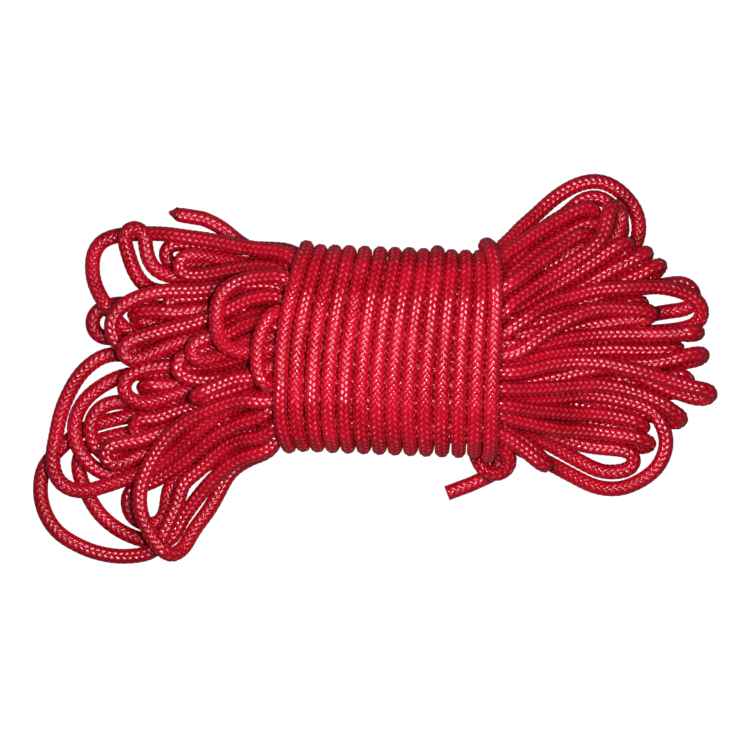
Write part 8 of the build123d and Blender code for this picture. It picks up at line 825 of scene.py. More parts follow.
    "right_bight_15": (11, 4, 11, 2, """
54.22,2.94,41.78 56.68,2.88,41.69 59.08,2.87,41.47 61.46,2.87,41.11 63.81,2.88,40.64
66.12,2.94,40 68.4,3.1,39.16 70.63,3.38,38.16 72.84,3.71,37.07 75.02,4.11,35.95
77.17,4.55,34.8 79.29,5.01,33.63 81.42,5.49,32.46 83.54,5.92,31.29 85.69,6.34,30.16
87.85,6.74,29.06 90.03,7.09,28.03 92.24,7.42,27.05 94.47,7.68,26.12 96.73,7.91,25.25
99.01,8.09,24.42 101.3,8.26,23.65 103.62,8.43,22.92 105.94,8.61,22.23 108.27,8.79,21.59
110.62,8.97,20.99 112.97,9.13,20.42 115.33,9.28,19.88 117.69,9.38,19.37 120.06,9.46,18.89
122.42,9.46,18.43 124.79,9.41,17.99 127.16,9.34,17.56 129.53,9.26,17.13 131.91,9.21,16.72
134.28,9.2,16.33 136.66,9.21,15.95 139.05,9.26,15.6 141.43,9.31,15.26 143.82,9.38,14.92
146.21,9.45,14.5 148.55,9.47,13.79 150.59,9.53,12.54 151.88,9.74,10.62 152.13,10.18,8.31
151.27,10.57,6.15 149.48,10.74,4.65 147.18,10.7,3.93 144.76,10.55,3.75 142.35,10.37,3.79
139.96,10.15,3.88 137.57,9.94,3.98 135.18,9.69,4.09 132.79,9.43,4.2 130.41,9.15,4.33
128.03,8.87,4.45 125.65,8.55,4.59 123.28,8.24,4.75 120.91,7.92,4.92 118.54,7.58,5.12
116.18,7.25,5.36 113.82,6.92,5.63 111.47,6.58,5.94 109.12,6.24,6.31 106.79,5.88,6.72
104.47,5.53,7.18 102.16,5.16,7.7 99.87,4.78,8.28 97.59,4.39,8.93 95.35,4,9.66
93.14,3.6,10.49 90.95,3.21,11.38 88.76,2.88,12.29 86.57,2.6,13.2 84.38,2.4,14.14
82.19,2.25,15.11 80.03,2.13,16.12 77.88,2.06,17.17 75.75,1.98,18.25 73.63,1.89,19.36
71.52,1.79,20.48 69.43,1.75,21.62 67.37,1.81,22.81 65.36,2.02,24.04 63.35,2.31,25.27
61.26,2.6,26.31 59.02,2.77,27.02 56.66,2.87,27.37 54.22,2.94,27.49"""),
    "right_bight_16": (14, 3, 12, 1, """
54.22,-9.44,34.64 56.67,-9.52,34.54 59.06,-9.56,34.25 61.38,-9.56,33.69 63.62,-9.49,32.87
65.8,-9.29,31.91 67.97,-8.98,30.95 70.18,-8.62,30.08 72.42,-8.23,29.3 74.69,-7.83,28.62
76.99,-7.42,28.02 79.29,-7,27.47 81.61,-6.55,26.96 83.92,-6.09,26.49 86.24,-5.61,26.05
88.55,-5.08,25.63 90.87,-4.51,25.24 93.18,-3.94,24.87 95.49,-3.33,24.51 97.8,-2.71,24.16
100.11,-2.1,23.81 102.44,-1.5,23.48 104.79,-0.99,23.2 107.16,-0.55,22.97 109.55,-0.14,22.79
111.96,0.23,22.67 114.37,0.61,22.59 116.79,0.99,22.55 119.22,1.4,22.51 121.65,1.78,22.48
124.09,2.15,22.41 126.54,2.42,22.29 129,2.56,22.08 131.46,2.6,21.81 133.93,2.62,21.54
136.4,2.73,21.33 138.87,2.96,21.19 141.33,3.27,21.08 143.79,3.65,20.99 146.23,4.09,20.9
148.67,4.58,20.76 151.07,5.17,20.46 153.42,5.8,19.93 155.72,6.43,19.2 158.02,6.97,18.37
160.28,7.39,17.4 162.33,7.59,16.09 163.84,7.46,14.31 164.54,6.95,12.15 164.33,6.13,9.97
163.24,5.28,8.12 161.43,4.57,6.78 159.22,4.01,5.85 156.88,3.54,5.14 154.49,3.12,4.58
152.05,2.77,4.17 149.57,2.54,3.93 147.06,2.38,3.79 144.54,2.23,3.71 142.01,2.06,3.69
139.48,1.84,3.68 136.96,1.59,3.68 134.44,1.31,3.68 131.92,1.02,3.68 129.4,0.71,3.68
126.88,0.41,3.69 124.36,0.07,3.72 121.83,-0.26,3.77 119.31,-0.57,3.84 116.78,-0.9,3.93
114.25,-1.22,4.05 111.72,-1.52,4.19 109.2,-1.83,4.36 106.67,-2.12,4.57 104.15,-2.42,4.81
101.63,-2.69,5.09 99.11,-2.96,5.41 96.6,-3.21,5.77 94.09,-3.42,6.18 91.59,-3.58,6.65
89.1,-3.69,7.19 86.62,-3.75,7.78 84.15,-3.75,8.43 81.7,-3.73,9.13 79.26,-3.69,9.87
76.84,-3.63,10.66 74.43,-3.56,11.48 72.04,-3.44,12.35 69.66,-3.31,13.27 67.31,-3.13,14.23
65.01,-2.88,15.25 62.81,-2.5,16.36 60.74,-2.06,17.59 58.71,-1.66,18.86 56.56,-1.38,19.83
54.2,-1.2,20.28"""),
    "right_bight_17": (13, 2, 14, 1, """
54.22,-5.3,27.49 56.67,-5.38,27.33 59,-5.5,26.84 61.17,-5.71,25.9 63.19,-6.01,24.68
65.22,-6.3,23.45 67.34,-6.5,22.37 69.56,-6.55,21.44 71.82,-6.55,20.59 74.09,-6.54,19.77
76.38,-6.53,18.98 78.68,-6.51,18.22 81,-6.51,17.48 83.32,-6.51,16.78 85.66,-6.51,16.12
88.01,-6.51,15.49 90.37,-6.53,14.89 92.75,-6.54,14.33 95.13,-6.54,13.8 97.53,-6.57,13.3
99.93,-6.58,12.82 102.34,-6.61,12.37 104.75,-6.62,11.93 107.18,-6.62,11.51 109.6,-6.63,11.11
112.04,-6.64,10.71 114.47,-6.63,10.32 116.91,-6.62,9.94 119.36,-6.58,9.56 121.8,-6.51,9.19
124.25,-6.45,8.83 126.7,-6.34,8.5 129.14,-6.21,8.23 131.58,-6.03,8.04 134.02,-5.8,7.93
136.46,-5.54,7.91 138.89,-5.22,7.99 141.31,-4.88,8.17 143.71,-4.51,8.46 146.11,-4.14,8.82
148.51,-3.79,9.19 150.94,-3.52,9.46 153.38,-3.54,9.41 155.61,-4.17,8.82 157.2,-5.54,7.71
157.71,-7.41,6.36 156.98,-9.29,5.12 155.26,-10.71,4.27 152.97,-11.51,3.86 150.49,-11.87,3.73
147.99,-12.04,3.71 145.47,-12.19,3.7 142.96,-12.35,3.69 140.44,-12.51,3.69 137.92,-12.68,3.68
135.41,-12.84,3.68 132.89,-12.97,3.68 130.36,-13.04,3.68 127.84,-13.04,3.68 125.33,-12.95,3.68
122.83,-12.78,3.68 120.35,-12.57,3.69 117.87,-12.38,3.7 115.4,-12.22,3.74 112.93,-12.1,3.81
110.46,-11.98,3.89 108,-11.9,4.01 105.55,-11.85,4.16 103.1,-11.81,4.34 100.67,-11.81,4.57
98.24,-11.84,4.84 95.83,-11.88,5.15 93.42,-11.94,5.5 91.03,-11.99,5.89 88.65,-12.05,6.3
86.28,-12.12,6.76 83.92,-12.19,7.25 81.57,-12.24,7.78 79.23,-12.29,8.36 76.9,-12.34,8.97
74.58,-12.37,9.63 72.28,-12.37,10.32 70,-12.35,11.07 67.74,-12.28,11.88 65.55,-12.09,12.82
63.52,-11.71,13.99 61.73,-11.16,15.43 60.13,-10.54,17.07 58.48,-10.01,18.66 56.51,-9.64,19.78
54.2,-9.46,20.27"""),
    "right_bight_18": (12, 5, 12, 3, """
54.22,-1.2,48.92 56.67,-1.34,48.79 59.08,-1.53,48.47 61.47,-1.71,48.03 63.91,-1.81,47.52
66.38,-1.84,46.95 68.84,-1.77,46.25 71.25,-1.54,45.4 73.59,-1.18,44.43 75.89,-0.7,43.4
78.16,-0.17,42.35 80.42,0.39,41.28 82.67,0.94,40.23 84.95,1.48,39.2 87.25,1.95,38.22
89.57,2.35,37.29 91.92,2.67,36.4 94.3,2.92,35.58 96.7,3.12,34.82 99.11,3.27,34.13
101.54,3.35,33.51 103.99,3.35,32.95 106.44,3.27,32.47 108.9,3.1,32.05 111.36,2.9,31.69
113.83,2.6,31.39 116.28,2.23,31.15 118.73,1.79,30.94 121.17,1.29,30.76 123.61,0.79,30.55
126.04,0.26,30.26 128.45,-0.28,29.88 130.84,-0.82,29.4 133.2,-1.42,28.83 135.51,-2.04,28.17
137.79,-2.67,27.44 140.04,-3.33,26.66 142.27,-4.01,25.88 144.49,-4.71,25.12 146.71,-5.43,24.39
148.93,-6.14,23.71 151.16,-6.87,23.07 153.4,-7.57,22.5 155.66,-8.24,22 157.95,-8.88,21.57
160.27,-9.45,21.2 162.62,-9.89,20.82 164.93,-10.37,20.18 166.92,-11.06,19.01 168.12,-12.06,17.27
168.2,-13.24,15.22 167.17,-14.27,13.35 165.28,-14.84,12.11 162.93,-14.88,11.62 160.49,-14.53,11.7
158.09,-13.94,12.06 155.74,-13.21,12.52 153.42,-12.44,13.03 151.13,-11.61,13.58 148.85,-10.76,14.17
146.59,-9.88,14.76 144.34,-8.94,15.29 142.09,-7.93,15.7 139.84,-6.89,15.95 137.59,-5.84,16.04
135.34,-4.83,16 133.08,-3.87,15.85 130.82,-2.94,15.61 128.57,-2.08,15.29 126.31,-1.26,14.95
124.04,-0.55,14.64 121.72,0.07,14.42 119.38,0.56,14.3 117.01,0.97,14.28 114.63,1.29,14.35
112.24,1.54,14.5 109.86,1.75,14.72 107.48,1.95,15.01 105.12,2.15,15.4 102.78,2.33,15.9
100.48,2.5,16.54 98.22,2.65,17.33 95.99,2.71,18.22 93.78,2.71,19.15 91.57,2.6,20.08
89.37,2.42,21.01 87.17,2.21,21.95 84.98,1.96,22.92 82.82,1.69,23.92 80.67,1.42,24.95
78.54,1.11,26.02 76.42,0.8,27.1 74.32,0.43,28.18 72.22,0.06,29.27 70.12,-0.34,30.36
68.02,-0.7,31.42 65.88,-1.01,32.41 63.68,-1.22,33.25 61.4,-1.29,33.88 59.05,-1.29,34.3
56.66,-1.25,34.54 54.22,-1.19,34.64"""),
    "right_bight_19": (14, 5, 15, 2, """
54.22,-9.45,48.94 56.7,-9.61,48.88 59.15,-9.8,48.71 61.59,-9.97,48.38 64.05,-10.09,47.77
66.47,-10.14,46.84 68.84,-10.18,45.63 71.15,-10.19,44.28 73.44,-10.19,42.9 75.73,-10.15,41.52
78.01,-10.1,40.16 80.31,-9.99,38.83 82.62,-9.88,37.53 84.93,-9.74,36.27 87.26,-9.6,35.05
89.6,-9.44,33.88 91.95,-9.24,32.76 94.32,-9.05,31.69 96.71,-8.88,30.67 99.1,-8.73,29.69
101.5,-8.59,28.73 103.89,-8.43,27.77 106.29,-8.29,26.82 108.68,-8.21,25.9 111.08,-8.24,25.02
113.48,-8.41,24.2 115.88,-8.68,23.45 118.28,-9.02,22.76 120.69,-9.43,22.13 123.09,-9.89,21.57
125.49,-10.43,21.06 127.88,-11.01,20.61 130.27,-11.65,20.2 132.62,-12.39,19.84 134.93,-13.23,19.5
137.2,-14.18,19.19 139.43,-15.18,18.86 141.61,-16.23,18.48 143.71,-17.36,18.02 145.7,-18.61,17.46
147.59,-19.95,16.78 149.44,-21.25,15.98 151.25,-22.45,14.95 152.75,-23.61,13.54 153.57,-24.75,11.7
153.49,-25.77,9.61 152.54,-26.54,7.62 150.9,-26.8,6.01 148.83,-26.55,4.92 146.58,-25.91,4.29
144.28,-25.14,3.99 141.96,-24.34,3.94 139.65,-23.55,4.09 137.33,-22.8,4.37 134.99,-22.18,4.74
132.63,-21.68,5.18 130.24,-21.32,5.64 127.85,-21.02,6.12 125.45,-20.7,6.59 123.06,-20.34,7.04
120.66,-19.95,7.46 118.27,-19.54,7.87 115.87,-19.14,8.29 113.49,-18.75,8.71 111.11,-18.36,9.16
108.74,-17.95,9.63 106.38,-17.55,10.11 104.02,-17.14,10.62 101.68,-16.75,11.14 99.33,-16.39,11.68
97,-16.05,12.25 94.67,-15.74,12.85 92.34,-15.49,13.48 90.03,-15.29,14.16 87.73,-15.13,14.87
85.44,-15.01,15.62 83.16,-14.91,16.41 80.89,-14.86,17.23 78.64,-14.82,18.08 76.39,-14.82,18.96
74.16,-14.84,19.87 71.94,-14.86,20.8 69.73,-14.85,21.76 67.54,-14.78,22.73 65.39,-14.61,23.77
63.3,-14.34,24.9 61.21,-14.04,26.01 59.01,-13.8,26.88 56.67,-13.65,27.34 54.22,-13.55,27.49"""),
    "right_ring_20": (15, 4, 19, 2, """
54.23,-13.56,41.78 56.72,-13.68,41.68 59.19,-13.79,41.4 61.64,-13.97,40.88 64.05,-14.21,40.04
66.41,-14.43,38.89 68.74,-14.59,37.54 71.03,-14.69,36.1 73.33,-14.74,34.65 75.62,-14.78,33.2
77.91,-14.77,31.76 80.22,-14.72,30.35 82.54,-14.65,28.98 84.88,-14.59,27.65 87.24,-14.52,26.38
89.63,-14.44,25.16 92.04,-14.31,23.99 94.47,-14.12,22.89 96.92,-13.88,21.84 99.38,-13.64,20.86
101.88,-13.47,19.93 104.39,-13.4,19.07 106.92,-13.43,18.27 109.46,-13.55,17.52 112,-13.8,16.83
114.55,-14.14,16.19 117.09,-14.54,15.61 119.64,-14.96,15.07 122.19,-15.43,14.58 124.73,-15.94,14.13
127.27,-16.5,13.72 129.79,-17.14,13.34 132.27,-17.88,13 134.7,-18.77,12.69 137.02,-19.88,12.44
139.16,-21.27,12.26 141.02,-23,12.15 142.55,-25.04,12.02 143.79,-27.25,11.76 144.79,-29.57,11.32
145.59,-31.93,10.75 146.15,-34.34,10.12 146.38,-36.78,9.51 146.24,-39.23,8.94 145.74,-41.66,8.4
144.97,-44.01,7.89 143.96,-46.26,7.42 142.71,-48.37,6.97 141.21,-50.3,6.56 139.49,-52.05,6.2
137.58,-53.63,5.87 135.54,-55.06,5.58 133.41,-56.35,5.34 131.18,-57.52,5.13 128.88,-58.52,4.96
126.51,-59.37,4.83 124.07,-59.98,4.73 121.58,-60.31,4.67 119.06,-60.38,4.64 116.55,-60.24,4.65
114.05,-59.9,4.7 111.61,-59.31,4.79 109.22,-58.52,4.91 106.91,-57.55,5.08 104.64,-56.48,5.3
102.41,-55.34,5.58 100.21,-54.17,5.91 98.01,-52.99,6.3 95.83,-51.83,6.75 93.66,-50.66,7.26
91.5,-49.48,7.83 89.35,-48.33,8.46 87.2,-47.2,9.15 85.05,-46.12,9.91 82.92,-45.06,10.73
80.8,-44.03,11.62 78.7,-43.03,12.57 76.63,-42.05,13.58 74.59,-41.09,14.65 72.56,-40.2,15.78
70.53,-39.37,16.96 68.51,-38.62,18.19 66.51,-37.91,19.47 64.57,-37.15,20.79 62.77,-36.2,22.14
61.14,-35.01,23.51 59.68,-33.58,24.88 58.2,-32.03,26.14 56.4,-30.8,27.04 54.18,-30.18,27.43"""),
    "right_bight_21": (16, 5, 16, 1, """
54.22,-17.7,48.94 56.69,-17.86,48.9 59.1,-18.09,48.76 61.48,-18.27,48.42 63.82,-18.43,47.79
66.13,-18.64,46.84 68.4,-18.91,45.64 70.62,-19.23,44.27 72.77,-19.59,42.78 74.88,-19.93,41.24
76.96,-20.25,39.67 79.04,-20.52,38.1 81.11,-20.75,36.52 83.17,-20.95,34.95 85.24,-21.14,33.4
87.31,-21.3,31.88 89.41,-21.45,30.41 91.52,-21.61,28.98 93.64,-21.77,27.61 95.79,-21.93,26.29
97.95,-22.07,25.03 100.12,-22.21,23.83 102.31,-22.34,22.69 104.51,-22.48,21.61 106.72,-22.61,20.6
108.95,-22.75,19.66 111.19,-22.91,18.8 113.46,-23.09,18 115.74,-23.3,17.28 118.04,-23.57,16.62
120.35,-23.91,16.03 122.67,-24.29,15.5 124.98,-24.71,15.02 127.3,-25.18,14.58 129.59,-25.75,14.13
131.75,-26.5,13.46 133.57,-27.43,12.29 134.69,-28.48,10.51 134.78,-29.48,8.39 133.78,-30.18,6.37
131.95,-30.41,4.9 129.68,-30.2,4.16 127.29,-29.73,3.97 124.9,-29.2,4.02 122.51,-28.66,4.14
120.11,-28.14,4.27 117.71,-27.64,4.43 115.31,-27.16,4.62 112.91,-26.7,4.83 110.5,-26.25,5.07
108.1,-25.8,5.34 105.7,-25.36,5.64 103.3,-24.93,5.98 100.91,-24.52,6.36 98.51,-24.12,6.78
96.12,-23.75,7.23 93.74,-23.36,7.73 91.35,-23,8.26 88.98,-22.64,8.84 86.61,-22.3,9.45
84.24,-21.96,10.1 81.89,-21.64,10.79 79.54,-21.34,11.51 77.21,-21.07,12.26 74.89,-20.8,13.04
72.57,-20.55,13.85 70.26,-20.3,14.68 67.95,-20.04,15.51 65.63,-19.75,16.35 63.33,-19.39,17.22
61.06,-18.95,18.14 58.83,-18.43,19.09 56.58,-17.98,19.89 54.2,-17.71,20.28"""),
    "right_bight_22": (17, 4, 18, 1, """
54.23,-21.82,41.79 56.73,-22.02,41.75 59.2,-22.43,41.61 61.64,-23.07,41.28 64.02,-23.82,40.62
66.33,-24.55,39.59 68.59,-25.21,38.33 70.83,-25.8,36.99 73.07,-26.36,35.65 75.32,-26.91,34.33
77.56,-27.45,33.02 79.81,-28,31.74 82.06,-28.52,30.49 84.32,-29.04,29.26 86.58,-29.54,28.07
88.84,-29.98,26.89 91.11,-30.36,25.72 93.38,-30.64,24.56 95.67,-30.84,23.45 97.98,-30.98,22.39
100.3,-31.11,21.41 102.64,-31.23,20.5 104.98,-31.39,19.66 107.34,-31.55,18.91 109.7,-31.75,18.24
112.08,-32,17.65 114.47,-32.27,17.15 116.87,-32.59,16.73 119.28,-32.91,16.38 121.7,-33.22,16.1
124.12,-33.52,15.87 126.54,-33.85,15.64 128.92,-34.3,15.39 131.28,-34.88,15.06 133.57,-35.48,14.5
135.66,-36.12,13.46 137.18,-36.84,11.8 137.76,-37.69,9.7 137.26,-38.52,7.56 135.82,-39.06,5.8
133.75,-39.17,4.63 131.36,-38.92,4.02 128.86,-38.48,3.77 126.34,-37.99,3.72 123.82,-37.48,3.75
121.29,-36.98,3.8 118.76,-36.51,3.86 116.22,-36.05,3.92 113.69,-35.59,4 111.15,-35.15,4.09
108.62,-34.7,4.19 106.09,-34.24,4.31 103.57,-33.77,4.45 101.06,-33.28,4.62 98.55,-32.77,4.81
96.05,-32.24,5.04 93.56,-31.71,5.29 91.08,-31.18,5.59 88.61,-30.64,5.92 86.15,-30.11,6.3
83.69,-29.61,6.73 81.24,-29.16,7.24 78.8,-28.77,7.83 76.38,-28.45,8.53 73.98,-28.18,9.32
71.62,-27.95,10.2 69.28,-27.75,11.16 66.97,-27.57,12.19 64.69,-27.41,13.3 62.45,-27.2,14.49
60.28,-26.98,15.78 58.2,-26.7,17.21 56.17,-26.36,18.65 54.03,-26.05,19.75 51.7,-25.86,20.26"""),
    "right_bight_23": (19, 4, 18, 3, """
54.22,-30.09,41.81 56.65,-30.41,41.78 58.96,-31.02,41.58 61.1,-31.91,41.04 63.12,-32.97,40.24
65.12,-34.09,39.36 67.15,-35.26,38.52 69.16,-36.48,37.72 71.13,-37.81,36.96 73.05,-39.23,36.25
74.93,-40.72,35.61 76.78,-42.23,35.02 78.6,-43.78,34.49 80.43,-45.31,33.91 82.23,-46.72,33.06
83.85,-47.73,31.66 84.98,-48.12,29.66 85.37,-47.78,27.35 84.93,-46.77,25.29 83.75,-45.26,23.95
82.15,-43.51,23.44 80.44,-41.76,23.57 78.74,-40.06,24.03 77.02,-38.45,24.62 75.24,-36.98,25.31
73.36,-35.7,26.1 71.44,-34.59,27 69.55,-33.52,28.03 67.77,-32.4,29.17 66.07,-31.21,30.39
64.44,-29.98,31.63 62.78,-28.7,32.79 60.96,-27.52,33.7 58.88,-26.62,34.28 56.59,-26.16,34.56
54.18,-25.95,34.64 51.72,-25.84,34.66"""),
    "right_ring_24": (16, 3, 17, 2, """
54.22,-17.7,34.64 56.69,-17.84,34.53 59.07,-18.14,34.21 61.34,-18.68,33.64 63.43,-19.52,32.82
65.31,-20.64,31.79 67.04,-21.93,30.58 68.73,-23.25,29.29 70.48,-24.45,28 72.34,-25.46,26.73
74.28,-26.34,25.49 76.27,-27.14,24.29 78.27,-27.95,23.14 80.28,-28.8,22.03 82.29,-29.73,20.99
84.3,-30.7,20.01 86.33,-31.68,19.08 88.39,-32.62,18.19 90.48,-33.51,17.35 92.59,-34.35,16.57
94.74,-35.19,15.85 96.91,-35.98,15.2 99.12,-36.73,14.6 101.37,-37.41,14.07 103.65,-38.02,13.6
105.96,-38.53,13.18 108.3,-38.95,12.82 110.66,-39.27,12.51 113.04,-39.53,12.25 115.43,-39.77,12.03
117.82,-39.98,11.84 120.21,-40.2,11.67 122.6,-40.45,11.54 124.96,-40.88,11.42 127.17,-41.7,11.19
128.97,-43.16,10.74 129.93,-45.2,10.06 129.76,-47.45,9.28 128.51,-49.34,8.58 126.54,-50.6,8.03
124.25,-51.33,7.63 121.86,-51.72,7.33 119.43,-51.88,7.1 116.97,-51.81,6.92 114.53,-51.47,6.81
112.14,-50.81,6.75 109.81,-49.92,6.75 107.54,-48.85,6.81 105.32,-47.7,6.92 103.12,-46.49,7.1
100.94,-45.3,7.34 98.77,-44.12,7.65 96.61,-42.94,8.04 94.47,-41.74,8.5 92.36,-40.55,9.04
90.28,-39.34,9.66 88.21,-38.16,10.36 86.13,-37.05,11.14 84.02,-36.03,12.01 81.91,-35.12,12.95
79.81,-34.22,13.97 77.73,-33.33,15.06 75.66,-32.47,16.18 73.57,-31.64,17.33 71.48,-30.86,18.5
69.41,-30.07,19.69 67.4,-29.16,20.89 65.56,-27.98,22.06 63.88,-26.54,23.16 62.31,-24.98,24.27
60.69,-23.59,25.43 58.83,-22.59,26.49 56.64,-22.07,27.19 54.22,-21.84,27.47"""),
    "tail_2": (20, 3, None, None, """
54.19,-34.27,34.59 56.5,-34.83,34.26 58.57,-35.88,33.49 60.49,-37.23,32.38 62.37,-38.62,31.14
64.19,-40.03,29.88 65.77,-41.66,28.62 66.87,-43.55,27.37 67.29,-45.67,26.15 66.96,-47.84,24.96
65.91,-49.8,23.82 64.27,-51.31,22.73 62.22,-52.23,21.68 59.98,-52.48,20.67 57.78,-52.08,19.68
55.83,-51.06,18.71 54.25,-49.59,17.73 53.01,-47.83,16.7 52.03,-45.95,15.57 51.24,-44.1,14.29
50.71,-42.34,12.81 50.63,-40.73,11.12 51.16,-39.38,9.32 52.3,-38.55,7.49 53.91,-38.34,5.85
55.8,-38.88,4.64 57.72,-40.09,3.97 59.41,-41.84,3.73 60.74,-43.91,3.68 61.61,-46.2,3.68
61.79,-48.56,3.68 61.06,-50.77,3.68 59.49,-52.56,3.68 57.4,-53.95,3.68 55.12,-55.06,3.68
52.79,-56.1,3.68 50.46,-57.16,3.68 48.14,-58.2,3.68 45.8,-59.09,3.68 43.46,-59.95,3.68
41.11,-60.84,3.68 38.77,-61.7,3.68 36.43,-62.59,3.68"""),
}

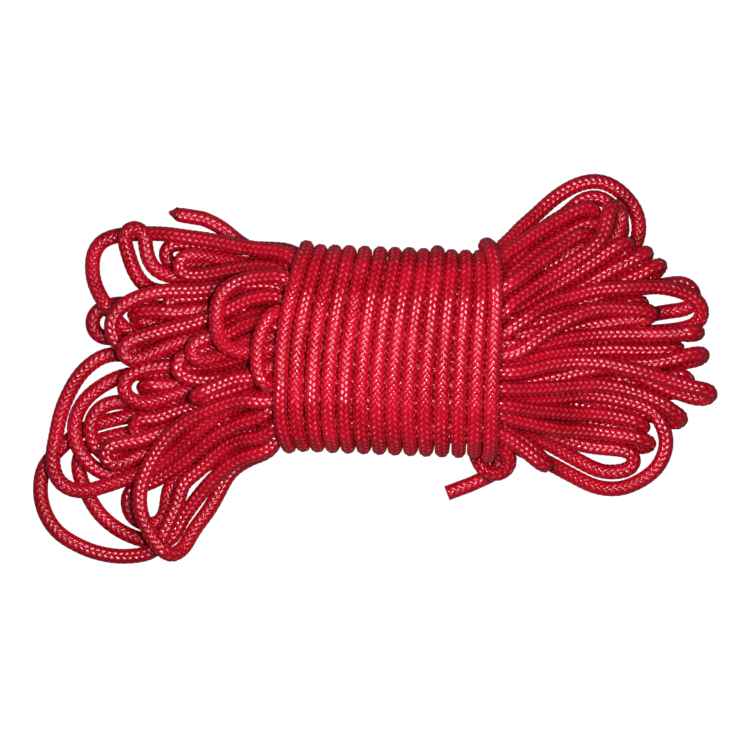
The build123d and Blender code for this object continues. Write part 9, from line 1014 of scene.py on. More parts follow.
# x,y,z of the frapping coil, one entry per turn; each turn runs on from the one before.
WRAP_TURNS = ("""
-33.94,60.97,35.28 -34.2,60.2,37.04 -34.43,59.47,38.8 -34.68,58.81,40.57 -34.95,58.18,42.36
-35.29,57.43,44.13 -35.81,56.36,45.76 -36.36,55.1,47.34 -36.88,53.67,48.92 -37.38,52.03,50.48
-37.87,50.23,51.99 -38.33,48.29,53.48 -38.76,46.28,54.93 -39.24,44.13,56.22 -39.95,41.79,56.9
-40.66,39.4,57.35 -41.32,36.99,57.78 -41.93,34.56,58.17 -42.5,32.12,58.53 -43.02,29.66,58.85
-43.51,27.19,59.13 -43.97,24.71,59.37 -44.38,22.21,59.56 -44.76,19.71,59.72 -45.11,17.2,59.84
-45.41,14.68,59.93 -45.69,12.15,59.98 -45.93,9.63,60 -46.14,7.1,59.98 -46.32,4.58,59.92
-46.46,2.06,59.81 -46.58,-0.46,59.67 -46.65,-2.97,59.49 -46.68,-5.46,59.26 -46.67,-7.94,58.99
-46.81,-10.37,58.38 -46.96,-12.74,57.66 -47.05,-15.09,56.87 -47.09,-17.39,56.01 -47.08,-19.64,55.06
-47,-21.83,54.03 -46.87,-23.95,52.9 -46.66,-26,51.69 -46.38,-27.98,50.41 -46.01,-29.9,49.06
-45.56,-31.75,47.68 -45.16,-33.31,45.94 -44.83,-34.47,43.92 -44.45,-35.57,41.89 -44.01,-36.61,39.85
-43.52,-37.6,37.8 -43.01,-38.49,35.71 -42.72,-38.73,33.41 -42.67,-38.27,31.14 -42.57,-37.72,28.91
-42.44,-37.07,26.72 -42.26,-36.31,24.6 -42.05,-35.41,22.54 -41.96,-34.27,20.58 -41.98,-32.95,18.75
-41.96,-31.49,17.02 -41.91,-29.88,15.42 -41.84,-28.12,13.93 -41.73,-26.25,12.57 -41.6,-24.26,11.33
-41.45,-22.18,10.21 -41.27,-20.01,9.2 -41.07,-17.78,8.29 -40.84,-15.5,7.45 -40.58,-13.18,6.66
-40.3,-10.81,5.94 -39.99,-8.38,5.63 -39.66,-5.94,5.34 -39.3,-3.49,5.07 -38.92,-1.03,4.84
-38.52,1.44,4.66 -38.1,3.9,4.52 -37.66,6.37,4.42 -37.22,8.84,4.37 -36.76,11.3,4.35
-36.3,13.76,4.38 -35.83,16.21,4.44 -35.36,18.65,4.55 -34.88,21.09,4.71 -34.41,23.52,4.92
-33.95,25.93,5.17 -33.48,28.34,5.47 -33.01,30.74,5.81 -32.55,33.13,6.17 -32.09,35.39,6.97
-31.63,37.64,7.82 -31.18,39.86,8.73 -30.74,42.04,9.74 -30.31,44.18,10.85 -29.89,46.26,12.09
-29.5,48.26,13.45 -29.12,50.15,14.94 -28.76,51.89,16.56 -28.43,53.43,18.3 -28.13,54.72,20.15
-27.86,55.75,22.1 -27.62,56.56,24.13 -27.42,57.2,26.23 -27.27,57.72,28.39 -27.16,58.18,30.57""", """
-27.1,58.6,32.79 -27.12,58.81,35.06 -27.28,58.36,37.28 -27.6,57.39,39.29 -27.98,56.36,41.26
-28.42,55.23,43.2 -28.91,54.01,45.12 -29.43,52.62,47.01 -29.99,50.69,48.41 -30.56,48.68,49.73
-31.14,46.64,51.01 -31.71,44.58,52.23 -32.28,42.5,53.41 -32.84,40.41,54.53 -33.38,38.3,55.62
-33.92,36,56.27 -34.45,33.67,56.73 -34.95,31.34,57.16 -35.43,29,57.56 -35.88,26.64,57.91
-36.3,24.26,58.21 -36.7,21.88,58.46 -37.07,19.48,58.65 -37.42,17.07,58.8 -37.73,14.65,58.9
-38.01,12.23,58.95 -38.27,9.8,58.96 -38.5,7.37,58.92 -38.7,4.93,58.83 -38.88,2.5,58.7
-39.04,0.07,58.51 -39.18,-2.35,58.27 -39.3,-4.76,57.98 -39.4,-7.17,57.63 -39.48,-9.56,57.23
-39.54,-11.93,56.78 -39.57,-14.29,56.31 -39.58,-16.64,55.8 -39.54,-18.77,54.77 -39.47,-20.88,53.71
-39.35,-22.94,52.6 -39.19,-24.96,51.45 -38.98,-26.93,50.25 -38.72,-28.87,49 -38.42,-30.77,47.73
-38.06,-32.4,46.11 -37.67,-33.57,44.16 -37.25,-34.73,42.22 -36.79,-35.88,40.27 -36.31,-37.02,38.31
-35.89,-37.85,36.15 -35.63,-37.95,33.8 -35.56,-37.34,31.54 -35.5,-36.49,29.4 -35.4,-35.61,27.28
-35.27,-34.66,25.21 -35.14,-33.61,23.2 -35.04,-32.46,21.26 -34.92,-31.18,19.4 -34.77,-29.79,17.63
-34.62,-28.31,15.92 -34.45,-26.67,14.34 -34.26,-24.84,12.99 -34.07,-22.95,11.7 -33.85,-20.99,10.49
-33.63,-18.97,9.36 -33.38,-16.89,8.3 -33.12,-14.77,7.29 -32.84,-12.63,6.31 -32.53,-10.28,5.87
-32.2,-7.91,5.6 -31.84,-5.54,5.34 -31.47,-3.16,5.11 -31.08,-0.77,4.92 -30.67,1.63,4.76
-30.24,4.03,4.65 -29.8,6.43,4.59 -29.35,8.84,4.56 -28.89,11.25,4.57 -28.43,13.67,4.62
-27.95,16.08,4.71 -27.48,18.5,4.83 -27.01,20.91,4.98 -26.54,23.32,5.17 -26.06,25.74,5.39
-25.59,28.16,5.62 -25.12,30.57,5.87 -24.65,32.99,6.23 -24.19,35.25,7.13 -23.73,37.5,8.06
-23.28,39.73,9.03 -22.85,41.94,10.08 -22.43,44.11,11.22 -22.03,46.23,12.47 -21.66,48.28,13.83
-21.31,50.23,15.31 -20.99,52.01,16.93 -20.71,53.59,18.66 -20.46,54.91,20.5 -20.24,55.95,22.45
-20.07,56.75,24.48 -19.94,57.34,26.59 -19.86,57.78,28.75 -19.84,58.12,30.95""", """
-19.86,58.41,33.16 -19.95,58.51,35.39 -20.12,58,37.53 -20.36,57.42,39.63 -20.64,56.71,41.66
-20.98,55.81,43.61 -21.36,54.67,45.44 -21.78,53.26,47.16 -22.23,51.59,48.75 -22.71,49.71,50.2
-23.21,47.67,51.52 -23.73,45.52,52.7 -24.25,43.3,53.75 -24.77,41.03,54.68 -25.28,38.71,55.49
-25.79,36.36,56.2 -26.29,33.98,56.81 -26.77,31.57,57.33 -27.23,29.15,57.77 -27.67,26.7,58.13
-28.09,24.24,58.43 -28.48,21.76,58.66 -28.84,19.28,58.84 -29.18,16.78,58.96 -29.5,14.28,59.03
-29.78,11.78,59.06 -30.04,9.27,59.04 -30.27,6.77,58.97 -30.48,4.26,58.86 -30.66,1.77,58.7
-30.83,-0.73,58.48 -30.97,-3.21,58.22 -31.1,-5.68,57.9 -31.2,-8.13,57.53 -31.28,-10.57,57.12
-31.34,-13,56.68 -31.37,-15.41,56.22 -31.37,-17.76,55.45 -31.33,-19.92,54.33 -31.25,-22.05,53.19
-31.14,-24.15,52.02 -30.99,-26.2,50.8 -30.8,-28.22,49.55 -30.59,-30.22,48.28 -30.34,-32.1,46.83
-30.05,-33.45,44.88 -29.75,-34.64,42.86 -29.43,-35.83,40.83 -29.09,-37.01,38.8 -28.76,-38,36.64
-28.5,-38.28,34.27 -28.36,-37.78,31.94 -28.18,-36.85,29.77 -28,-35.88,27.64 -27.81,-34.85,25.54
-27.62,-33.75,23.49 -27.44,-32.55,21.5 -27.26,-31.27,19.55 -27.08,-29.91,17.65 -26.9,-28.49,15.78
-26.7,-26.72,14.18 -26.49,-24.74,12.89 -26.27,-22.73,11.62 -26.03,-20.68,10.39 -25.78,-18.58,9.21
-25.51,-16.45,8.07 -25.22,-14.3,6.96 -24.91,-12.01,6.05 -24.57,-9.57,5.76 -24.2,-7.13,5.49
-23.82,-4.68,5.23 -23.42,-2.23,5 -23,0.22,4.79 -22.57,2.68,4.62 -22.12,5.14,4.49
-21.66,7.59,4.39 -21.2,10.05,4.33 -20.73,12.5,4.31 -20.25,14.94,4.32 -19.78,17.38,4.38
-19.31,19.8,4.48 -18.85,22.22,4.63 -18.38,24.62,4.85 -17.92,26.99,5.13 -17.46,29.35,5.49
-17,31.67,5.95 -16.55,33.96,6.51 -16.11,36.21,7.19 -15.68,38.42,8.01 -15.25,40.57,8.96
-14.85,42.68,10.05 -14.47,44.72,11.3 -14.12,46.7,12.69 -13.8,48.6,14.23 -13.51,50.4,15.92
-13.26,52.04,17.73 -13.05,53.49,19.66 -12.88,54.7,21.7 -12.75,55.68,23.82 -12.67,56.45,26.01
-12.62,57.07,28.26 -12.62,57.59,30.55""", """
-12.66,58.06,32.85 -12.76,58.24,35.24 -12.94,57.68,37.58 -13.2,56.58,39.7 -13.5,55.42,41.8
-13.83,54.18,43.91 -14.2,52.87,46.02 -14.61,51.07,47.81 -15.05,48.94,49.15 -15.51,46.8,50.46
-15.98,44.66,51.73 -16.45,42.51,52.97 -16.91,40.37,54.17 -17.38,38.21,55.35 -17.84,35.88,56.19
-18.29,33.48,56.63 -18.72,31.08,57.06 -19.14,28.68,57.45 -19.54,26.26,57.81 -19.92,23.84,58.12
-20.28,21.41,58.39 -20.62,18.96,58.6 -20.94,16.52,58.77 -21.24,14.06,58.88 -21.51,11.6,58.95
-21.77,9.14,58.97 -22.01,6.68,58.94 -22.23,4.21,58.86 -22.43,1.75,58.73 -22.62,-0.7,58.55
-22.79,-3.15,58.31 -22.93,-5.58,58.01 -23.06,-8.01,57.65 -23.17,-10.41,57.23 -23.25,-12.8,56.77
-23.31,-15.18,56.28 -23.34,-17.54,55.7 -23.33,-19.7,54.69 -23.28,-21.82,53.64 -23.2,-23.9,52.53
-23.09,-25.92,51.36 -22.94,-27.89,50.12 -22.76,-29.8,48.83 -22.56,-31.67,47.51 -22.33,-33.23,45.8
-22.09,-34.41,43.86 -21.85,-35.56,41.91 -21.62,-36.69,39.94 -21.42,-37.79,37.97 -21.22,-38.49,35.79
-21.01,-38.5,33.5 -20.81,-38.05,31.3 -20.63,-37.54,29.11 -20.47,-36.94,26.95 -20.31,-36.22,24.85
-20.16,-35.35,22.81 -20.01,-34.32,20.85 -19.85,-33.13,18.98 -19.69,-31.79,17.22 -19.52,-30.29,15.58
-19.33,-28.64,14.06 -19.12,-26.87,12.66 -18.91,-24.98,11.39 -18.67,-22.99,10.25 -18.41,-20.91,9.22
-18.14,-18.75,8.3 -17.85,-16.54,7.47 -17.53,-14.27,6.71 -17.2,-11.98,5.98 -16.84,-9.59,5.68
-16.46,-7.19,5.41 -16.07,-4.77,5.17 -15.65,-2.34,4.98 -15.22,0.1,4.83 -14.78,2.55,4.73
-14.32,5,4.67 -13.86,7.46,4.66 -13.39,9.92,4.68 -12.92,12.38,4.74 -12.46,14.84,4.83
-11.99,17.29,4.94 -11.52,19.75,5.09 -11.06,22.2,5.26 -10.59,24.66,5.45 -10.13,27.11,5.67
-9.67,29.56,5.89 -9.21,32.01,6.13 -8.77,34.27,7.13 -8.33,36.41,8.31 -7.9,38.56,9.51
-7.48,40.69,10.75 -7.08,42.82,12.03 -6.69,44.95,13.34 -6.33,47.08,14.7 -6.01,48.8,16.57
-5.73,50.48,18.48 -5.48,52.06,20.44 -5.27,53.48,22.45 -5.11,54.7,24.52 -4.99,55.71,26.64
-4.92,56.53,28.8 -4.89,57.22,31""", """
-4.92,57.83,33.22 -5.02,57.92,35.54 -5.18,57.28,37.8 -5.41,56.21,39.88 -5.68,55.06,41.96
-6,53.8,44.06 -6.34,52.45,46.16 -6.74,50.58,47.95 -7.16,48.38,49.27 -7.61,46.16,50.58
-8.07,43.95,51.87 -8.53,41.74,53.15 -8.99,39.53,54.4 -9.45,37.33,55.63 -9.91,34.86,56.28
-10.35,32.38,56.7 -10.78,29.91,57.1 -11.19,27.43,57.47 -11.59,24.95,57.81 -11.97,22.47,58.1
-12.32,19.98,58.35 -12.66,17.48,58.55 -12.98,14.98,58.7 -13.29,12.48,58.81 -13.57,9.98,58.87
-13.84,7.49,58.87 -14.09,4.99,58.83 -14.32,2.51,58.74 -14.53,0.03,58.59 -14.72,-2.44,58.39
-14.9,-4.9,58.13 -15.06,-7.33,57.8 -15.19,-9.76,57.42 -15.3,-12.15,56.99 -15.38,-14.53,56.53
-15.43,-16.89,56.03 -15.44,-19.09,55.04 -15.42,-21.24,54 -15.36,-23.35,52.92 -15.26,-25.41,51.78
-15.12,-27.41,50.57 -14.96,-29.37,49.31 -14.77,-31.29,48.01 -14.56,-33.03,46.47 -14.33,-34.24,44.49
-14.1,-35.44,42.5 -13.88,-36.62,40.51 -13.68,-37.79,38.5 -13.49,-38.68,36.33 -13.3,-38.85,33.99
-13.1,-38.3,31.72 -12.92,-37.54,29.54 -12.75,-36.75,27.39 -12.59,-35.88,25.28 -12.44,-34.91,23.24
-12.28,-33.81,21.28 -12.12,-32.58,19.4 -11.95,-31.21,17.63 -11.77,-29.71,15.97 -11.57,-28.08,14.43
-11.36,-26.33,13 -11.14,-24.47,11.69 -10.89,-22.51,10.49 -10.63,-20.48,9.39 -10.35,-18.38,8.38
-10.04,-16.23,7.43 -9.72,-14.06,6.52 -9.38,-11.73,5.91 -9.01,-9.36,5.59 -8.62,-6.98,5.3
-8.21,-4.58,5.04 -7.79,-2.17,4.81 -7.36,0.25,4.62 -6.91,2.68,4.48 -6.46,5.12,4.38
-6,7.57,4.31 -5.54,10.02,4.29 -5.08,12.48,4.3 -4.63,14.94,4.36 -4.17,17.4,4.46
-3.72,19.86,4.6 -3.28,22.31,4.8 -2.84,24.76,5.07 -2.4,27.19,5.4 -1.96,29.62,5.78
-1.53,32.05,6.21 -1.1,34.36,7 -0.68,36.67,7.86 -0.27,38.94,8.83 0.14,41.18,9.92
0.54,43.37,11.16 0.91,45.5,12.56 1.27,47.56,14.1 1.59,49.52,15.79 1.89,51.32,17.62
2.15,52.9,19.57 2.38,54.22,21.63 2.56,55.27,23.78 2.69,56.06,26 2.78,56.64,28.28
2.82,57.09,30.59""", """
2.81,57.47,32.92 2.74,57.63,35.3 2.59,57.05,37.62 2.38,55.99,39.75 2.12,54.84,41.87
1.82,53.57,43.98 1.49,52.21,46.09 1.12,50.37,47.89 0.71,48.24,49.3 0.29,46.1,50.66
-0.15,43.95,51.96 -0.58,41.77,53.19 -1.02,39.58,54.35 -1.46,37.38,55.46 -1.89,35.01,56.23
-2.31,32.6,56.74 -2.72,30.19,57.23 -3.11,27.77,57.66 -3.48,25.33,58.05 -3.84,22.88,58.37
-4.18,20.42,58.63 -4.5,17.95,58.83 -4.8,15.47,58.97 -5.09,13,59.06 -5.37,10.52,59.1
-5.62,8.04,59.1 -5.87,5.56,59.04 -6.1,3.08,58.94 -6.31,0.62,58.78 -6.51,-1.84,58.58
-6.69,-4.28,58.31 -6.85,-6.71,57.99 -6.99,-9.12,57.62 -7.11,-11.52,57.19 -7.2,-13.9,56.73
-7.26,-16.26,56.23 -7.29,-18.57,55.51 -7.29,-20.71,54.47 -7.25,-22.81,53.39 -7.18,-24.88,52.26
-7.08,-26.89,51.07 -6.95,-28.85,49.82 -6.8,-30.78,48.52 -6.64,-32.67,47.18 -6.45,-34.12,45.36
-6.25,-35.27,43.37 -6.06,-36.41,41.37 -5.88,-37.55,39.35 -5.73,-38.67,37.33 -5.57,-39.17,35.06
-5.4,-38.95,32.76 -5.22,-38.23,30.59 -5.06,-37.47,28.45 -4.91,-36.64,26.34 -4.76,-35.72,24.3
-4.61,-34.68,22.32 -4.45,-33.51,20.42 -4.29,-32.2,18.62 -4.11,-30.75,16.93 -3.92,-29.18,15.34
-3.72,-27.47,13.87 -3.49,-25.66,12.51 -3.25,-23.75,11.26 -3,-21.75,10.11 -2.72,-19.68,9.04
-2.42,-17.55,8.03 -2.1,-15.39,7.06 -1.76,-13.2,6.13 -1.4,-10.82,5.89 -1.02,-8.43,5.78
-0.63,-6.03,5.67 -0.22,-3.62,5.58 0.2,-1.22,5.51 0.63,1.19,5.46 1.07,3.61,5.43
1.52,6.02,5.41 1.96,8.44,5.41 2.41,10.85,5.43 2.85,13.27,5.45 3.3,15.68,5.49
3.74,18.09,5.54 4.17,20.5,5.6 4.61,22.91,5.67 5.04,25.31,5.75 5.47,27.71,5.82
5.91,30.11,5.91 6.34,32.47,6.49 6.76,34.6,7.59 7.18,36.71,8.72 7.59,38.81,9.9
7.99,40.89,11.12 8.38,42.95,12.4 8.76,45.01,13.73 9.11,47.02,15.18 9.42,48.75,16.95
9.7,50.43,18.77 9.93,51.99,20.65 10.12,53.38,22.61 10.25,54.55,24.65 10.31,55.48,26.75
10.3,56.2,28.89 10.21,56.77,31.08""", """
10.11,57.26,33.3 10.07,57.31,35.62 10.08,56.65,37.87 10.01,55.53,39.94 9.86,54.35,42.03
9.64,53.1,44.13 9.36,51.78,46.23 9.01,49.94,47.96 8.62,47.81,49.26 8.2,45.68,50.53
7.76,43.55,51.78 7.31,41.42,53.02 6.86,39.29,54.23 6.42,37.15,55.42 5.98,34.8,56.21
5.55,32.39,56.62 5.14,29.98,57.02 4.74,27.56,57.4 4.36,25.14,57.74 4,22.71,58.05
3.67,20.28,58.31 3.34,17.84,58.52 3.04,15.39,58.69 2.75,12.94,58.81 2.49,10.49,58.89
2.24,8.04,58.92 2,5.58,58.9 1.79,3.14,58.83 1.59,0.69,58.71 1.41,-1.74,58.54
1.25,-4.16,58.31 1.1,-6.58,58.02 0.98,-8.97,57.67 0.88,-11.35,57.26 0.8,-13.71,56.79
0.74,-16.06,56.29 0.71,-18.39,55.74 0.72,-20.52,54.75 0.75,-22.63,53.72 0.81,-24.69,52.64
0.9,-26.69,51.49 1.01,-28.64,50.27 1.14,-30.54,48.99 1.28,-32.4,47.67 1.43,-34,46.02
1.6,-35.18,44.08 1.77,-36.34,42.13 1.92,-37.47,40.17 2.06,-38.59,38.2 2.2,-39.36,36.04
2.34,-39.44,33.76 2.48,-38.89,31.56 2.62,-38.3,29.38 2.75,-37.63,27.24 2.88,-36.86,25.15
3.02,-35.96,23.12 3.15,-34.92,21.18 3.3,-33.73,19.32 3.46,-32.4,17.57 3.64,-30.92,15.92
3.83,-29.31,14.39 4.03,-27.57,12.99 4.26,-25.73,11.7 4.5,-23.78,10.53 4.76,-21.75,9.47
5.04,-19.65,8.51 5.34,-17.49,7.62 5.67,-15.28,6.8 6.01,-13.05,6.01 6.36,-10.71,5.68
6.74,-8.35,5.37 7.13,-5.97,5.09 7.53,-3.58,4.85 7.95,-1.19,4.64 8.37,1.22,4.49
8.8,3.64,4.37 9.24,6.06,4.29 9.68,8.49,4.25 10.12,10.92,4.25 10.56,13.36,4.28
10.99,15.79,4.35 11.42,18.23,4.46 11.85,20.67,4.62 12.28,23.1,4.85 12.7,25.53,5.14
13.13,27.95,5.51 13.55,30.35,5.95 13.96,32.73,6.54 14.37,35.09,7.23 14.78,37.41,8.04
15.17,39.69,8.99 15.55,41.93,10.09 15.91,44.12,11.33 16.25,46.23,12.73 16.55,48.27,14.28
16.83,50.19,15.97 17.06,51.94,17.8 17.25,53.48,19.74 17.39,54.74,21.8 17.47,55.73,23.94
17.5,56.44,26.15 17.46,56.9,28.4 17.36,57.16,30.69""", """
17.26,57.23,32.99 17.21,57.09,35.28 17.24,56.74,37.54 17.23,56.17,39.75 17.14,55.36,41.88
16.98,54.26,43.91 16.75,52.86,45.82 16.47,51.19,47.61 16.15,49.3,49.26 15.79,47.26,50.77
15.42,45.1,52.13 15.03,42.87,53.34 14.63,40.59,54.41 14.22,38.27,55.35 13.82,35.91,56.17
13.42,33.53,56.86 13.04,31.11,57.45 12.66,28.68,57.95 12.3,26.22,58.35 11.96,23.75,58.68
11.62,21.27,58.94 11.31,18.79,59.13 11.01,16.29,59.27 10.73,13.8,59.35 10.46,11.3,59.38
10.21,8.8,59.37 9.97,6.31,59.32 9.76,3.82,59.22 9.55,1.34,59.07 9.37,-1.12,58.88
9.2,-3.58,58.63 9.04,-6.02,58.33 8.91,-8.45,57.97 8.8,-10.85,57.55 8.71,-13.23,57.07
8.65,-15.58,56.56 8.61,-17.91,56.01 8.59,-20.11,55.1 8.61,-22.26,54.15 8.65,-24.35,53.12
8.72,-26.37,52.02 8.81,-28.31,50.82 8.92,-30.17,49.53 9.05,-31.96,48.18 9.18,-33.7,46.77
9.33,-34.96,44.94 9.48,-36.12,43.07 9.62,-37.23,41.17 9.76,-38.29,39.25 9.87,-39.3,37.3
9.99,-39.78,35.14 10.12,-39.61,32.94 10.26,-39.21,30.79 10.38,-38.74,28.67 10.5,-38.16,26.58
10.63,-37.44,24.54 10.76,-36.57,22.58 10.9,-35.53,20.7 11.05,-34.32,18.92 11.21,-32.95,17.26
11.39,-31.43,15.71 11.58,-29.77,14.29 11.79,-27.99,13 12.02,-26.09,11.83 12.26,-24.09,10.79
12.52,-22.01,9.87 12.8,-19.86,9.07 13.1,-17.65,8.38 13.42,-15.39,7.79 13.75,-13.09,7.29
14.11,-10.76,6.87 14.48,-8.4,6.53 14.87,-6.02,6.26 15.27,-3.63,6.04 15.68,-1.22,5.87
16.1,1.2,5.75 16.52,3.62,5.66 16.95,6.05,5.59 17.38,8.48,5.56 17.81,10.91,5.54
18.24,13.35,5.55 18.67,15.78,5.57 19.09,18.21,5.61 19.51,20.64,5.67 19.92,23.06,5.74
20.33,25.48,5.83 20.74,27.9,5.91 21.15,30.31,6.02 21.54,32.59,6.83 21.92,34.7,7.93
22.29,36.8,9.06 22.65,38.88,10.22 22.99,40.93,11.44 23.32,42.96,12.72 23.61,44.97,14.03
23.88,46.85,15.6 24.11,48.61,17.3 24.3,50.3,19.05 24.45,51.85,20.87 24.55,53.21,22.78
24.59,54.32,24.77 24.59,55.17,26.82 24.54,55.8,28.92 24.46,56.26,31.06""", """
24.38,56.68,33.22 24.34,56.77,35.47 24.37,56.19,37.65 24.38,55.14,39.67 24.32,54.02,41.71
24.19,52.81,43.76 23.99,51.52,45.82 23.75,49.82,47.63 23.46,47.72,48.93 23.13,45.61,50.2
22.79,43.49,51.46 22.43,41.38,52.69 22.07,39.26,53.89 21.71,37.13,55.09 21.34,34.87,56.07
20.98,32.47,56.49 20.63,30.06,56.89 20.29,27.65,57.28 19.96,25.23,57.63 19.65,22.8,57.95
19.34,20.37,58.23 19.05,17.94,58.46 18.78,15.49,58.64 18.52,13.05,58.78 18.27,10.6,58.88
18.04,8.15,58.92 17.82,5.7,58.93 17.61,3.25,58.89 17.42,0.8,58.8 17.24,-1.63,58.66
17.08,-4.06,58.46 16.93,-6.48,58.2 16.8,-8.88,57.89 16.69,-11.26,57.5 16.59,-13.61,57.05
16.52,-15.94,56.55 16.48,-18.25,56.01 16.46,-20.45,55.17 16.47,-22.61,54.29 16.5,-24.7,53.33
16.56,-26.72,52.27 16.64,-28.64,51.09 16.74,-30.46,49.8 16.86,-32.18,48.41 16.98,-33.82,46.97
17.12,-35.13,45.23 17.26,-36.35,43.44 17.39,-37.46,41.59 17.51,-38.47,39.69 17.62,-39.42,37.76
17.73,-40.02,35.67 17.84,-40.03,33.5 17.96,-39.84,31.35 18.06,-39.56,29.23 18.17,-39.16,27.13
18.28,-38.59,25.07 18.39,-37.84,23.08 18.52,-36.91,21.16 18.65,-35.8,19.33 18.8,-34.53,17.6
18.97,-33.09,15.98 19.15,-31.51,14.48 19.34,-29.79,13.1 19.55,-27.95,11.84 19.79,-26.01,10.7
20.03,-23.98,9.68 20.3,-21.87,8.77 20.58,-19.7,7.96 20.88,-17.47,7.26 21.2,-15.19,6.65
21.54,-12.88,6.13 21.9,-10.54,5.69 22.27,-8.18,5.32 22.65,-5.8,5.01 23.05,-3.4,4.76
23.45,-0.99,4.57 23.86,1.43,4.42 24.28,3.86,4.32 24.69,6.3,4.25 25.11,8.74,4.21
25.53,11.19,4.22 25.94,13.65,4.25 26.35,16.1,4.33 26.75,18.57,4.44 27.15,21.03,4.61
27.54,23.5,4.83 27.93,25.96,5.12 28.3,28.41,5.48 28.66,30.86,5.94 29.02,33.3,6.49
29.35,35.71,7.16 29.67,38.11,7.95 29.97,40.47,8.88 30.25,42.8,9.95 30.51,45.07,11.16
30.74,47.28,12.54 30.94,49.38,14.06 31.12,51.33,15.72 31.27,53.05,17.53 31.38,54.5,19.46
31.45,55.67,21.5 31.48,56.57,23.64 31.48,57.24,25.84 31.43,57.72,28.1 31.35,58.06,30.39""", """
31.34,58.18,32.71 31.37,57.99,35.04 31.4,57.5,37.3 31.43,56.8,39.49 31.39,55.9,41.59
31.29,54.77,43.6 31.16,53.37,45.5 31,51.72,47.27 30.8,49.85,48.9 30.57,47.81,50.39
30.32,45.66,51.73 30.06,43.43,52.92 29.78,41.14,53.98 29.5,38.8,54.91 29.22,36.42,55.73
28.93,34,56.42 28.65,31.55,57.02 28.37,29.09,57.53 28.09,26.6,57.95 27.83,24.1,58.3
27.57,21.59,58.58 27.32,19.07,58.8 27.07,16.55,58.97 26.84,14.03,59.08 26.61,11.5,59.14
26.39,8.98,59.16 26.17,6.46,59.14 25.96,3.95,59.07 25.76,1.45,58.95 25.57,-1.04,58.78
25.39,-3.52,58.57 25.22,-5.99,58.29 25.06,-8.43,57.96 24.92,-10.86,57.58 24.8,-13.26,57.13
24.7,-15.63,56.66 24.62,-17.98,56.15 24.57,-20.23,55.3 24.55,-22.4,54.33 24.56,-24.52,53.32
24.59,-26.57,52.23 24.64,-28.53,51.05 24.71,-30.42,49.78 24.8,-32.24,48.45 24.89,-34.01,47.08
25.01,-35.38,45.3 25.13,-36.55,43.43 25.24,-37.67,41.54 25.35,-38.73,39.63 25.44,-39.75,37.7
25.54,-40.35,35.58 25.65,-40.31,33.38 25.76,-40.05,31.23 25.86,-39.7,29.09 25.97,-39.25,26.99
26.07,-38.64,24.94 26.19,-37.86,22.95 26.32,-36.91,21.05 26.45,-35.78,19.24 26.6,-34.49,17.54
26.77,-33.03,15.95 26.94,-31.43,14.49 27.14,-29.7,13.16 27.35,-27.85,11.95 27.58,-25.9,10.88
27.83,-23.86,9.92 28.09,-21.74,9.08 28.38,-19.56,8.36 28.68,-17.33,7.74 29,-15.05,7.21
29.33,-12.74,6.77 29.68,-10.4,6.42 30.05,-8.04,6.13 30.43,-5.66,5.91 30.82,-3.26,5.74
31.21,-0.85,5.62 31.61,1.56,5.53 32.01,3.99,5.48 32.41,6.42,5.45 32.81,8.86,5.45
33.21,11.3,5.46 33.6,13.74,5.49 33.99,16.18,5.54 34.37,18.63,5.59 34.73,21.07,5.66
35.09,23.51,5.72 35.44,25.95,5.8 35.78,28.39,5.88 36.1,30.82,6.3 36.38,33.01,7.43
36.65,35.17,8.58 36.89,37.32,9.77 37.11,39.44,10.99 37.31,41.54,12.28 37.49,43.62,13.61
37.66,45.7,14.99 37.79,47.4,16.79 37.91,49.06,18.64 38,50.64,20.55 38.08,52.08,22.52
38.12,53.32,24.56 38.12,54.31,26.65 38.09,55.06,28.79 38.04,55.61,30.96""", """
38.16,56.12,33.12 38.3,56.23,35.39 38.38,55.66,37.61 38.35,54.63,39.67 38.29,53.5,41.75
38.21,52.25,43.82 38.11,50.91,45.9 37.98,49.15,47.72 37.81,47.03,49.06 37.63,44.9,50.36
37.44,42.76,51.63 37.23,40.62,52.86 37.02,38.47,54.06 36.79,36.3,55.23 36.56,33.99,56.14
36.32,31.58,56.58 36.08,29.16,57 35.84,26.74,57.4 35.6,24.31,57.76 35.37,21.87,58.07
35.15,19.43,58.34 34.94,16.98,58.56 34.73,14.53,58.73 34.54,12.07,58.85 34.35,9.61,58.93
34.18,7.15,58.95 34.02,4.69,58.94 33.87,2.24,58.87 33.73,-0.21,58.76 33.6,-2.65,58.59
33.48,-5.09,58.36 33.37,-7.5,58.08 33.27,-9.91,57.74 33.18,-12.29,57.34 33.11,-14.66,56.88
33.05,-17.01,56.38 33,-19.33,55.86 32.97,-21.49,54.89 32.96,-23.61,53.88 32.96,-25.68,52.81
32.97,-27.68,51.67 33,-29.63,50.46 33.04,-31.52,49.18 33.08,-33.37,47.87 33.13,-35.02,46.31
33.2,-36.21,44.4 33.27,-37.37,42.48 33.34,-38.49,40.55 33.39,-39.58,38.6 33.45,-40.47,36.54
33.53,-40.71,34.31 33.64,-40.3,32.12 33.74,-39.82,29.95 33.84,-39.27,27.81 33.95,-38.6,25.72
34.06,-37.79,23.68 34.19,-36.83,21.73 34.32,-35.71,19.86 34.47,-34.44,18.09 34.63,-33.01,16.42
34.81,-31.44,14.88 35,-29.74,13.45 35.21,-27.92,12.15 35.43,-25.99,10.98 35.67,-23.97,9.92
35.93,-21.87,8.98 36.21,-19.7,8.14 36.5,-17.47,7.42 36.81,-15.19,6.79 37.13,-12.88,6.25
37.47,-10.53,5.79 37.83,-8.16,5.4 38.19,-5.76,5.09 38.56,-3.35,4.83 38.94,-0.93,4.63
39.33,1.51,4.49 39.72,3.95,4.38 40.11,6.39,4.32 40.49,8.84,4.3 40.88,11.29,4.31
41.27,13.74,4.37 41.65,16.17,4.48 42.02,18.6,4.63 42.38,21.02,4.84 42.74,23.42,5.12
